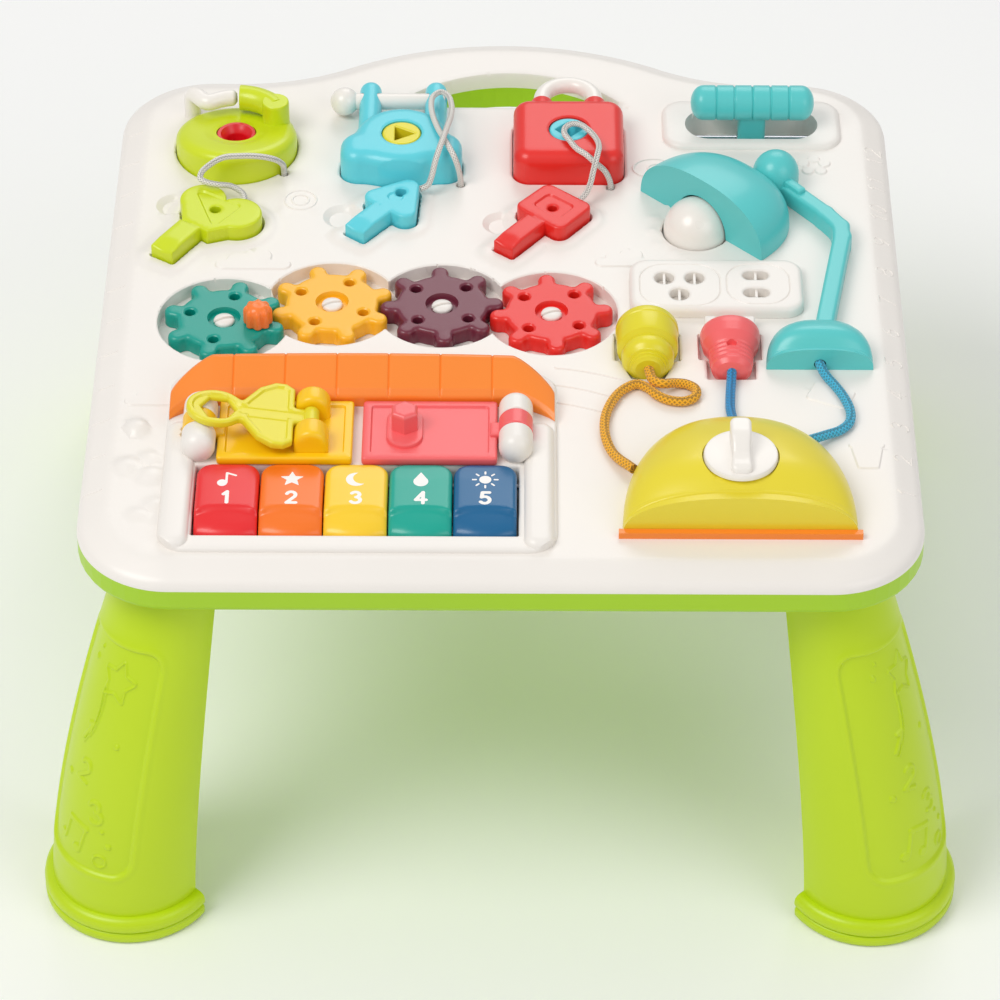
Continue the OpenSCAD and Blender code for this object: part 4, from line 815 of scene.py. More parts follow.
def carve(shape: Solid, *cutters: Solid) -> Solid:
    """Cuts closed shapes out of a closed shape, exactly.

    Args:
        shape: Points and faces of the piece.
        cutters: Points and faces of what is taken away.

    Returns:
        Points and triangles of what is left.
    """
    scratch = []
    for pts, faces in (shape, *cutters):
        mesh = bpy.data.meshes.new("scratch")
        mesh.from_pydata(pts.tolist(), [], [f for group in faces for f in group.tolist()])
        obj = bpy.data.objects.new("scratch", mesh)
        bpy.context.scene.collection.objects.link(obj)
        scratch.append(obj)
    for other in scratch[1:]:
        cut = scratch[0].modifiers.new("cut", "BOOLEAN")
        cut.object, cut.operation, cut.solver = other, "DIFFERENCE", "EXACT"
    view = scratch[0].evaluated_get(bpy.context.evaluated_depsgraph_get())
    mesh = view.to_mesh()
    mesh.calc_loop_triangles()
    pts = np.empty(len(mesh.vertices) * 3)
    mesh.vertices.foreach_get("co", pts)
    tri = np.empty(len(mesh.loop_triangles) * 3, np.int32)
    mesh.loop_triangles.foreach_get("vertices", tri)
    view.to_mesh_clear()
    for obj in scratch:
        bpy.data.meshes.remove(obj.data)
    return pts.reshape(-1, 3), [tri.reshape(-1, 3)]


def moved(shape: Solid, move: Callable[[Array], Array]) -> Solid:
    """A shape with its points mapped by move."""
    return move(shape[0]), shape[1]


def upright(p: Array) -> Array:
    """Stands a shape up: its plan becomes the front view, and its height points to the viewer."""
    return np.stack([p[:, 0], -p[:, 2], p[:, 1]], 1)


def half_dome(at: Sequence[float], a: float, b: float, h: float, q: float, turn: float = 0.0,
              n: int = 64, m: int = 20) -> Solid:
    """Half of a squarish dome, flat along its X side.

    At a height z the plan is half the superellipse |x/a|^q + |y/b|^q = s^q with
    s = (1 - (z/h)^q)^(1/q), so the outline from the side is a superellipse too.

    Args:
        at: Middle of the flat side at the base, in millimetres.
        a: Half the width.
        b: The depth.
        h: The height.
        q: The exponent; 2 is an ellipse.
        turn: Degrees about the vertical.
        n: Columns over the round side.
        m: Rows.

    Returns:
        Points and faces.
    """
    z = h * np.sin(np.radians(88.5 * np.arange(m + 1) / m))
    s = np.maximum((1 - (z / h) ** q) ** (1 / q), 0.05)
    t = np.pi * np.arange(n + 1) / n
    x = a * s[:, None] * (np.sign(np.cos(t)) * np.abs(np.cos(t)) ** (2 / q))[None]
    y = b * s[:, None] * (np.maximum(np.sin(t), 0) ** (2 / q))[None]
    c, k = math.cos(math.radians(turn)), math.sin(math.radians(turn))
    grid = np.stack([at[0] + c * x - k * y, at[1] + k * x + c * y, at[2] + np.broadcast_to(z[:, None], x.shape)], -1)
    return skin(grid)


# ------------------------------------------------------------------ glyphs and motifs


def bow(cx: float, cy: float, rx: float, ry: float, a0: float, a1: float, n: int = 10) -> list:
    """Points on an oval's arc, with the angles in degrees."""
    a = np.radians(np.linspace(a0, a1, n + 1))
    return np.stack([cx + rx * np.cos(a), cy + ry * np.sin(a)], 1).tolist()


DIGITS = {
    "0": [bow(0.3, 0.5, 0.28, 0.5, 0, 360, 18)],
    "1": [[(0.12, 0.76), (0.34, 1.0), (0.34, 0.0)]],
    "2": [bow(0.3, 0.72, 0.27, 0.28, 160, -35, 9) + [(0.04, 0.0), (0.6, 0.0)]],
    "3": [bow(0.28, 0.76, 0.25, 0.24, 150, -80, 8) + bow(0.28, 0.26, 0.3, 0.27, 80, -150, 9)],
    "4": [[(0.46, 0.0), (0.46, 1.0), (0.02, 0.3), (0.64, 0.3)]],
    "5": [[(0.56, 1.0), (0.14, 1.0), (0.09, 0.56)] + bow(0.28, 0.31, 0.3, 0.31, 125, -145, 10)],
    "6": [bow(0.62, 0.3, 0.58, 0.72, 115, 180, 6) + bow(0.31, 0.29, 0.27, 0.29, 180, -180, 14)],
    "7": [[(0.04, 1.0), (0.6, 1.0), (0.22, 0.0)]],
    "8": [bow(0.3, 0.75, 0.22, 0.25, 0, 360, 14), bow(0.3, 0.26, 0.28, 0.26, 0, 360, 14)],
    "9": [bow(-0.02, 0.7, 0.58, 0.72, -65, 0, 6) + bow(0.29, 0.71, 0.27, 0.29, 0, 360, 14)],
}


def number_field(x: Array, y: Array, text: str, at: Sequence[float], size: float, pen: float,
                 turn: float = 0.0) -> Array:
    """Signed distance to a number drawn with a round pen.

    Args:
        x: The places' x values in millimetres.
        y: Their y values.
        text: The digits.
        at: The number's middle.
        size: The digits' height.
        pen: The pen's radius.
        turn: The turn of the reading direction in degrees.

    Returns:
        The distance for each place.
    """
    c, s = math.cos(math.radians(turn)), math.sin(math.radians(turn))
    u, v = c * (x - at[0]) + s * (y - at[1]), c * (y - at[1]) - s * (x - at[0])
    wide = 0.84 * len(text) - 0.24
    out = np.full(np.shape(x), 1e3)
    for k, digit in enumerate(text):
        lines = [[(size * (p[0] + 0.84 * k - wide / 2), size * (p[1] - 0.5)) for p in line] for line in DIGITS[digit]]
        out = np.minimum(out, strokes(u, v, lines, pen))
    return out


def star_points(at: Sequence[float], big: float, small: float, n: int, turn: float = 90.0) -> list:
    """Corners of a star with n rays.

    Args:
        at: The middle.
        big: The radius at the tips.
        small: The radius between them.
        n: The number of rays.
        turn: The direction of the first tip in degrees.

    Returns:
        The corners.
    """
    a = np.radians(turn + 180.0 * np.arange(2 * n) / n)
    r = np.where(np.arange(2 * n) % 2 == 0, big, small)
    return np.stack([at[0] + r * np.cos(a), at[1] + r * np.sin(a)], 1).tolist()


def cloud(x: Array, y: Array, cx: float, cy: float, w: float) -> Array:
    """Signed distance to a flat-bottomed cloud of width w.

    Args:
        x: The places' x values in millimetres.
        y: Their y values.
        cx: The middle in x.
        cy: The middle in y.
        w: The cloud's width.

    Returns:
        The signed distances.
    """
    h = 0.33 * w
    puffs = np.minimum(circle(x, y, cx + 0.06 * w, cy + 0.02 * w, 0.55 * h),
                       circle(x, y, cx - 0.2 * w, cy - 0.06 * w, 0.45 * h))
    body = np.minimum(rect(x, y, cx, cy - 0.16 * w, w, 0.2 * w, 0.1 * w), puffs)
    return np.maximum(body, cy - 0.26 * w - y)


# ------------------------------------------------------------------ table top


HEART = ((-160.5, 78.5), (-172, 74.5), (-171, 60), (-156.8, 49), (-146, 52.6), (-142, 65.5))
TRIANGLE = ((-79, 82.7), (-46.9, 56.5), (-44.5, 100.5))
SQUARE = ((5.6, 73.2), (30.7, 50.5), (48.6, 73.4), (23.9, 94))
GEARS = ((-144.84, -14.92), (-89.0, -1.2), (-31.51, -2.40), (25.67, -8.41))
LIME_LOCK = (-145.7, 137.0)
CYAN_LOCK = (-55.3, 127.0)
KEY_WELL = (-71.7, -162.0, 161.3, 53.0)


def shrink(points: Sequence[Sequence[float]], r: float) -> Array:
    """A left-turning polygon moved inwards by r.

    Args:
        points: The polygon's corners.
        r: The inset.

    Returns:
        The new corners.
    """
    p = np.asarray(points, float)
    u, v = unit(p - np.roll(p, 1, axis=0)), unit(np.roll(p, -1, axis=0) - p)
    s, t = np.stack([u[:, 1], -u[:, 0]], 1), np.stack([v[:, 1], -v[:, 0]], 1)
    return p - r * (s + t) / (1 + (s * t).sum(1))[:, None]


def heart_plan(x: Array, y: Array) -> Array:
    """Outline of the lime toy key.

    Args:
        x: The places' x values in millimetres.
        y: Their y values.

    Returns:
        The signed distances.
    """
    head = np.minimum(circle(x, y, -160.5, 78.5, 12.5), circle(x, y, -142, 65.5, 13.5))
    head = np.minimum(head, polygon(x, y, HEART))
    return np.minimum(head, rect(x, y, -173.15, 45.5, 26.3, 14, 0.6, 56.97))


def triangle_plan(x: Array, y: Array) -> Array:
    """Outline of the cyan toy key."""
    head = polygon(x, y, shrink(TRIANGLE, 6), 6)
    return np.minimum(head, rect(x, y, -71.5, 62.6, 24.05, 13, 0.6, 51.43))


def square_plan(x: Array, y: Array) -> Array:
    """Outline of the red toy key."""
    head = polygon(x, y, shrink(SQUARE, 5), 5)
    return np.minimum(head, rect(x, y, 9.05, 51.2, 28.8, 12.6, 0.6, 51.61))


def key_plans(x: Array, y: Array) -> Array:
    """Outlines of all three toy keys."""
    return np.minimum(np.minimum(heart_plan(x, y), triangle_plan(x, y)), square_plan(x, y))


def cyan_lock_plan(x: Array, y: Array) -> Array:
    """Outline of the cyan padlock: rounded shoulders under a round hump."""
    body = rect(x, y, -55.3, 117.5, 66, 25, 10)
    return merge(body, circle(x, y, *CYAN_LOCK, 26), 5)


def red_lock_plan(x: Array, y: Array) -> Array:
    """Outline of the red padlock."""
    return rect(x, y, 35.4, 133, 60, 56, 9)


def yellow_plug_plan(x: Array, y: Array) -> Array:
    """Outline of the yellow plug's bed."""
    return np.minimum(rect(x, y, 75, -37, 32.6, 20), polygon(x, y, [(61, -47), (67, -62), (83, -62), (89, -47)]))


def pink_plug_plan(x: Array, y: Array) -> Array:
    """Outline of the pink plug's bed."""
    return np.minimum(rect(x, y, 118, -36.5, 31, 19), rect(x, y, 118, -52, 24, 20))


def table_plan(x: Array, y: Array) -> Array:
    """Outline of the table top: a rounded rectangle with a flared hump at the back.

    Args:
        x: The places' x values in millimetres.
        y: Their y values.

    Returns:
        The signed distances.
    """
    corner = rect(x, y, 0, (FRONT + BACK) / 2, 420, BACK - FRONT, 48)
    hump = np.hypot(x, y - 64.5) - 180
    flare = 120 - np.hypot(np.abs(x) - 146, y - 326.5)
    back = np.where(np.abs(np.arctan2(x, y - 64.5)) <= math.radians(29.1), hump, flare)
    middle = np.maximum(np.maximum(np.abs(x) - 210, FRONT - y), back)
    near_front = rect(x, y, 0, FRONT + 300, 420, 600, 48)
    middle = np.where(y < 0, near_front, middle)
    return np.where(np.abs(x) < 146, middle, corner)


SLOT_X, SLOT_Y = 3, 181.5
SLOT_ARC_Y, SLOT_ARC = 128.5, 80
SLOT_REACH, SLOT_END = 53.07, 5


def slot_plan(x: Array, y: Array) -> Array:
    """Outline of the carrying slot: an arc over a straight front edge, with round ends.

    Args:
        x: The places' x values in millimetres.
        y: Their y values.

    Returns:
        The signed distances.
    """
    arc = np.hypot(x - SLOT_X, y - SLOT_ARC_Y) - SLOT_ARC
    inner = np.maximum(arc + SLOT_END, SLOT_Y - y)
    ends = np.minimum(circle(x, y, SLOT_X - SLOT_REACH, SLOT_Y, SLOT_END),
                      circle(x, y, SLOT_X + SLOT_REACH, SLOT_Y, SLOT_END))
    u, v = np.abs(x - SLOT_X), y - SLOT_Y
    chord = np.maximum(arc, SLOT_Y - SLOT_END - y)
    return np.where((u > SLOT_REACH) & (v < 60), np.minimum(ends, np.maximum(chord, 0) + 1e-3 * (u > 60)),
                    np.where(inner < 0, np.maximum(inner - SLOT_END, chord), chord))


CROWN = np.array([(-60, 0), (-14.5, 0), (-12.2, 0.5), (-4, 4.1), (-2.55, 4.9), (-0.6, 6.8), (0, 8.4)])


class TableTop:
    """The white top: crowned edge, pits and beds for every toy, soft raised details."""

    BORDER = 1.5
    RIDGES = (((28, -54), (48, -56), (72, -68)), ((28, -68), (45, -71), (62, -80)), ((28, -82), (42, -85), (55, -91)))
    DOTS = ((88.5, 83.5, 2.4), (81.5, 73.0, 2.2), (79.4, 62.0, 2.4), (82.8, 50.0, 2.4), (92.0, 42.5, 2.2))

    def wells(self, x: Array, y: Array) -> tuple[Array, Array]:
        """The pits and beds.

        Args:
            x: The places' x values in millimetres.
            y: Their y values.

        Returns:
            The signed distance to the nearest, and that one's depth.
        """
        pits = np.full(np.shape(x), 1e3)
        for g in GEARS:
            pits = np.minimum(pits, circle(x, y, *g, 34.7))
        beds = np.minimum(key_plans(x, y), circle(x, y, *LIME_LOCK, 33))
        for f in (cyan_lock_plan, red_lock_plan, yellow_plug_plan, pink_plug_plan):
            beds = np.minimum(beds, f(x, y))
        beds = np.minimum(beds - 0.5, circle(x, y, 103, 64, 18.0))
        lever = capsule(x, y, (113.5, 156.5), (158.5, 156.5), 13)
        piano = rect(x, y, *KEY_WELL)
        holes = np.minimum(np.minimum(circle(x, y, -119, 113.5, 2.4), circle(x, y, -23, 104, 2.4)),
                           circle(x, y, 58, 102, 2.4))
        fields = np.stack([pits, beds, lever, piano, holes])
        near = fields.argmin(0)
        return fields.min(0), np.array([8.0, 4.0, 14.0, 13.0, 3.0])[near]

    def plinth(self, x: Array, y: Array) -> Array:
        """The raised bed of the lever."""
        return rect(x, y, 136, 158, 98, 44, 12)

    def ruler(self, x: Array, y: Array) -> Array:
        """The ruler's marks down the left edge."""
        return strokes(x, y, [[(-208.0 + 2.0 * (k % 2), -151.4 + 27.6 * k), (-199.0, -151.4 + 27.6 * k)]
                              for k in range(12)], 0.7)

    def numbers(self, x: Array, y: Array) -> Array:
        """The numbers 1 to 12 up the right edge, read from the side.

        Args:
            x: The places' x values in millimetres.
            y: Their y values.

        Returns:
            The signed distances.
        """
        out = np.full(np.shape(x), 1e3)
        for k in range(12):
            at = (202.0, -149.6 + 25.8 * k)
            near = np.abs(y - at[1]) < 12
            out[near] = np.minimum(out[near], number_field(x[near], y[near], str(k + 1), at, 9.0, 0.42, 90))
        return out

    def ridges(self, x: Array, y: Array) -> Array:
        """Three bowed ridges beside the dome.

        Args:
            x: The places' x values in millimetres.
            y: Their y values.

        Returns:
            The signed distances.
        """
        out = np.full(np.shape(x), 1e3)
        for a, b, c in self.RIDGES:
            t = np.linspace(0, 1, 9)[:, None]
            line = (1 - t) ** 2 * np.array(a) + 2 * t * (1 - t) * np.array(b) + t * t * np.array(c)
            out = np.minimum(out, strokes(x, y, [line.tolist()], 1.1))
        return out

    def rings(self, x: Array, y: Array) -> Array:
        """Two oval ripples and a ringed sun.

        Args:
            x: The places' x values in millimetres.
            y: Their y values.

        Returns:
            The signed distances.
        """
        ripple = np.abs(np.hypot((x - 82) / 1.35, y - 119) - 8.5) - 0.6
        ripple = np.minimum(ripple, np.abs(np.hypot((x - 84) / 1.35, y - 119) - 4) - 0.6)
        sun = np.minimum(np.abs(circle(x, y, -109, 89, 8.5)), np.abs(circle(x, y, -109, 89, 4.5))) - 0.6
        return np.minimum(ripple, sun)

    def lumps(self, x: Array, y: Array) -> Array:
        """Flat raised motifs: clouds, pebbles, a flower, a beaker and a tag.

        Args:
            x: The places' x values in millimetres.
            y: Their y values.

        Returns:
            The signed distances.
        """
        out = np.minimum(cloud(x, y, -132, 38, 40), cloud(x, y, 66, 40, 34))
        out = np.minimum(out, cloud(x, y, -174, -77, 36))
        for k in range(5):
            a = math.radians(72 * k + 18)
            out = np.minimum(out, circle(x, y, 169 + 6 * math.cos(a), 122 + 6 * math.sin(a), 3.2))
        beaker = polygon(x, y, [(179.5, -133), (188.5, -133), (191, -119), (177, -119)], 0.8)
        lid = rect(x, y, 184, -116, 18, 3, 1.4)
        tag = rect(x, y, 168, -76, 22, 15, 2, -24)
        return np.minimum(np.minimum(out, beaker), np.minimum(lid, tag))

    def domes(self, x: Array, y: Array) -> Array:
        """Heights of small rounded bumps.

        Args:
            x: The places' x values in millimetres.
            y: Their y values.

        Returns:
            The added heights.
        """
        z = np.zeros(np.shape(x))
        bumps = [(*d, 1.4) for d in self.DOTS]
        bumps += [(-109 + 14 * math.cos(0.785 * k), 89 + 14 * math.sin(0.785 * k), 1.5, 0.9) for k in range(8)]
        bumps += [(-187, -134, 6.5, 3.0), (-176, -128, 5.5, 2.2), (-175, -141, 7.0, 2.6), (-184, -104.5, 6.8, 4.0),
                  (-179, -171, 5, 1.8), (-171, -163, 5, 1.8), (-166, -174, 5, 1.6)]
        for cx, cy, r, h in bumps:
            z = np.maximum(z, h * np.sqrt(np.maximum(1 - ((x - cx) ** 2 + (y - cy) ** 2) / r ** 2, 0)))
        return z

    def dents(self, x: Array, y: Array) -> Array:
        """Distance to the finger dents at the toy keys' shoulders."""
        out = np.minimum(circle(x, y, -176.5, 84, 9), circle(x, y, -86, 74.5, 9.5))
        return np.minimum(out, circle(x, y, -1, 69, 9))

    def surface(self, x: Array, y: Array) -> Array:
        """Height of the top skin before the wells are cut.

        Args:
            x: The places' x values in millimetres.
            y: Their y values.

        Returns:
            The heights.
        """
        outer = table_plan(x, y)
        z = DECK - np.interp(outer, CROWN[:, 0], CROWN[:, 1])
        z = z - edge_drop(-np.abs(slot_plan(x, y)), 2.0) * (slot_plan(x, y) < 2)
        f = key_plans(x, y)
        z = z + self.BORDER * (1 - step((f - 5.0) / 4.0))
        p = self.plinth(x, y)
        z = np.where(p < 0, DECK + 3 - edge_drop(np.minimum(p, 0), 3.0), z)
        z = z + 0.8 * (1 - step((self.lumps(x, y) + 0.4) / 0.8))
        z = z + self.domes(x, y)
        return z - 3.0 * (1 - step((self.dents(x, y) + 3.0) / 4.0))

    def top(self, x: Array, y: Array, d: Array) -> Array:
        """Height of the finished top skin.

        Args:
            x: The places' x values in millimetres.
            y: Their y values.
            d: Their distance to the outline; not used.

        Returns:
            The heights.
        """
        z = self.surface(x, y)
        f, depth = self.wells(x, y)
        z = z - edge_drop(-np.maximum(f, 0), 1.0)
        floor = DECK - depth
        return np.where(f < 0.12, floor + (np.minimum(z, DECK) - floor) * np.clip((f + 0.12) / 0.24, 0, 1), z)

    def under(self, x: Array, y: Array, d: Array) -> Array:
        """Height of the underside: a shell with a rim and cups under the pits.

        Args:
            x: The places' x values in millimetres.
            y: Their y values.
            d: Their distance to the outline; not used.

        Returns:
            The heights.
        """
        outer = table_plan(x, y)
        f, depth = self.wells(x, y)
        z = np.where(f < 2.1, DECK - depth - 2, DECK - 2.6)
        z = np.minimum(z, DECK - 2.6 - np.interp(outer, CROWN[:, 0], CROWN[:, 1]))
        rim = (outer > -2.6) | (np.abs(slot_plan(x, y)) < 2.5)
        return np.where(rim, RIM, np.maximum(z, LOWEST_CUP))

    def build(self) -> None:
        """Makes the top skin and everything moulded on it."""
        outline = lambda x, y: np.maximum(table_plan(x, y), -slot_plan(x, y))
        relief = Relief(outline, self.top, self.under, (-210, FRONT, 210, 244.5),
                        rings=(-0.6, -2.55, -4, -12.2, -14.5),
                        creases=((lambda x, y: self.wells(x, y)[0], (-0.12, 0.12, 0.9, 2.0)),
                                 (key_plans, (5.0, 7.0, 9.0)), (self.plinth, (0.0, -0.4, -1.2, -3.0)),
                                 (self.lumps, (-0.4, 0.4)),
                                 (self.dents, (-3.0, -1.0, 1.0))), cell=1.0, fill=3.2)
        top = relief.build("Table_top", Finish.SHELL.value, 34.0)
        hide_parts("top_panel")
        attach(top, "table")
        for name, mark, span in (("Ruler_marks", self.ruler, (-210, -156, -196, 157)),
                                 ("Edge_numbers", self.numbers, (195, -158, 209, 142)),
                                 ("Ridges", self.ridges, (25, -95, 75, -50)),
                                 ("Sun_ring", self.rings, (-120, 78, -98, 100)),
                                 ("Ripple_rings", self.rings, (68, 108, 96, 130))):
            raised = Relief(mark, lambda x, y, d: self.surface(x, y) + 0.55 * step(-d / 0.35),
                            lambda x, y, d: self.surface(x, y) - 0.6, span, rings=(-0.18, -0.35),
                            cell=0.36, fill=1.2)
            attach(raised.build(name, Finish.SHELL.value, 30.0), "table")


# ------------------------------------------------------------------ house: slab, roof, doors, keyboard


HINGE_Z = 238.2
YELLOW_HINGE = -151.6
PINK_HINGE = 7.4
HASP = (-95.5, -111.5, 241.0)
HASP_TILT = 8.3
DOOR_LOW, DOOR_TOP = 231.8, 236.6
FACE_X = -70.5


def plain(z: float) -> Callable[[Array, Array, Array], Array]:
    """A flat underside at height z."""
    return lambda x, y, d: np.full(np.shape(x), float(z))


def show(name: str, body: str, shape: Solid, finish: Finish, *nodes: str,
         sharp: float = 38.0) -> bpy.types.Object:
    """Makes an object from points and faces, rides it on a body and lets it stand for CAD nodes.

    Args:
        name: The object's name.
        body: The body it rides on.
        shape: Its points and faces.
        finish: Its finish.
        nodes: The CAD nodes it stands for.
        sharp: The angle in degrees above which an edge is sharp.

    Returns:
        The object.
    """
    obj = make_object(name, shape[0], shape[1], finish.value, sharp)
    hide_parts(*nodes)
    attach(obj, body)
    return obj


class House:
    """The house's white slab and posts, and its orange awning."""

    LEFT, RIGHT, NEAR, FAR = -169.0, 28.0, -199.5, -61.0

    def slab_top(self, x: Array, y: Array, d: Array) -> Array:
        """A low slab with side columns, cut round the hinge barrels.

        Args:
            x: The places' x values in millimetres.
            y: Their y values.
            d: Their distance to the outline.

        Returns:
            The heights.
        """
        z = DECK + 2.5 - edge_drop(d, 1.6)
        for cx in (-161.0, 19.0):
            f = rect(x, y, cx, -151, 15, 95, 6.5)
            z = np.where(f < 0, np.maximum(z, DECK + 6 - edge_drop(f, 4.5) * 0.85), z)
        for hx in (YELLOW_HINGE, PINK_HINGE):
            near = (np.abs(x - hx) < 9.3) & (y > -120.2) & (y < -107.3)
            z = np.where(near, np.minimum(z, HINGE_Z - np.sqrt(np.maximum(9.3 ** 2 - (x - hx) ** 2, 0))), z)
        return np.maximum(z, DECK - 1)

    def build(self) -> None:
        """Makes the slab, the ball posts and the awning."""
        base = lambda x, y: rect(x, y, -70.5, -130.25, 197, 138.5, 14)
        plan = lambda x, y: np.maximum(base(x, y), -rect(x, y, *KEY_WELL, 1.0))
        columns = lambda x, y: np.minimum(rect(x, y, -161, -151, 15, 95, 6.5), rect(x, y, 19, -151, 15, 95, 6.5))
        slab = Relief(plan, self.slab_top, plain(DECK - 1.8), (self.LEFT, self.NEAR, self.RIGHT, self.FAR),
                      rings=(-0.3, -0.8, -1.6), creases=((columns, (0.0, -0.5, -1.5, -3.0, -4.5)),),
                      cell=0.8, fill=2.4)
        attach(slab.build("House_slab", Finish.SHELL.value, 34.0), "table")
        a = np.radians(np.linspace(0, 90, 14))
        dome = np.stack([8.6 * np.cos(a), 9.4 + 7.2 * np.sin(a)], 1).tolist()
        for hx, side in ((YELLOW_HINGE, "left"), (PINK_HINGE, "right")):
            for k, (py, way) in enumerate(((-119.5, -1), (-108.0, 1))):
                cap = lathe([(0, 0), (8.1, 0), (8.6, 0.5), *dome], (hx, py, HINGE_Z), (0, way, 0), 72)
                show(f"Hinge_cap_{side}_{k + 1}", "table", cap, Finish.SHELL)
        self.awning()

    def awning(self) -> None:
        """The roof: seven slats with thin seams, rolled down at both ends.

        For a share s of the half width, t = (|s| - 0.78) / 0.22 is how far into the rolled end a
        section lies, and the roof has sunk by 3/4 t^1.3 + 1/4 (1 - sqrt(1 - t^2)) of its fall.
        """
        seams = 26.3 * np.arange(-2.5, 3.0)
        x = np.unique(np.concatenate([np.linspace(-97.5, 97.5, 131), *[s + np.linspace(-1, 1, 9) for s in seams],
                                      97.5 - np.geomspace(0.05, 20, 24), np.geomspace(0.05, 20, 24) - 97.5]))
        s = np.abs(x) / 97.5
        t = np.clip((s - 0.78) / 0.22, 0, 1)
        sink = 0.75 * t ** 1.3 + 0.25 * (1 - np.sqrt(1 - t * t))
        back, front = -64.5 - 16.5 * sink - 2.4 * s ** 2, -89.4 - 11.6 * sink
        high, low = 18 - 11 * sink, 10 - 6.4 * sink
        rows = []
        for yb, zt, yf, zf in zip(back, high, front, low):
            line = rounded([(yb, 2.6), (yb, 2.7), (yb, zt), (yb - 3, zt + 0.4), (yf + 3.4, zf + 1.9), (yf, zf - 1.2),
                            (yf, 2.7), (yf, 2.6)], (0, 0, 2.6, 1.0, 3.6, 3.0, 0, 0), 7)
            rows.append(line)
        sec = np.array(rows)
        seam = np.exp(-((x[:, None] - seams[None]) / 0.42) ** 2).sum(1)
        z = sec[:, :, 1] - 0.7 * seam[:, None] * (sec[:, :, 1] > 4.5)
        grid = np.stack([np.broadcast_to(x[:, None] + FACE_X, z.shape), sec[:, :, 0], z + DECK], -1)
        show("Awning", "table", skin(grid), Finish.ORANGE, "awning", sharp=50.0)


@dataclass
class Door:
    """A leaf with a raised border, an arm and a barrel on its hinge."""

    name: str
    body: str
    node: str
    finish: Finish
    left: float
    hinge: float

    def leaf_plan(self, x: Array, y: Array) -> Array:
        """Outline of the leaf."""
        return rect(x, y, self.left + 34, -113.4, 68, 46, 2.0)

    def leaf_top(self, x: Array, y: Array, d: Array) -> Array:
        """Top of the leaf: a border 4 mm wide round a field 1 mm deep."""
        inner = rect(x, y, self.left + 34, -113.4, 59, 37, 1.5)
        return DOOR_TOP - edge_drop(d, 1.3) - 1.0 * (1 - step((inner + 0.4) / 0.8))

    def build(self) -> None:
        """Makes the leaf and its hinge barrel."""
        inner = lambda x, y: rect(x, y, self.left + 34, -113.4, 59, 37, 1.5)
        leaf = Relief(self.leaf_plan, self.leaf_top, lambda x, y, d: DOOR_LOW + edge_drop(d, 1.0),
                      (self.left, -136.5, self.left + 68, -90.3), rings=(-0.2, -0.55, -1.3),
                      creases=((inner, (-0.4, 0.4)),), cell=0.7, fill=3.0)
        obj = leaf.build(self.name, self.finish.value)
        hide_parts(self.node)
        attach(obj, self.body)
        barrel = lathe([(0, 0), (8.1, 0), (8.6, 0.5), (8.6, 10.2), (8.1, 10.7), (0, 10.7)],
                       (self.hinge, -119.1, HINGE_Z), (0, 1, 0), 72)
        side = 1 if self.left > self.hinge else -1
        arm = Relief(lambda x, y: rect(x, y, self.hinge + side * 6.5, -113.75, 13, 10.7, 0.8),
                     lambda x, y, d: 237.6 - edge_drop(d, 0.8), plain(232.2),
                     (self.hinge - 13.5, -119.5, self.hinge + 13.5, -108), rings=(-0.3, -0.8), cell=0.6, fill=2)
        show(self.name + "_barrel", self.body, join(barrel, arm.solid()), self.finish)


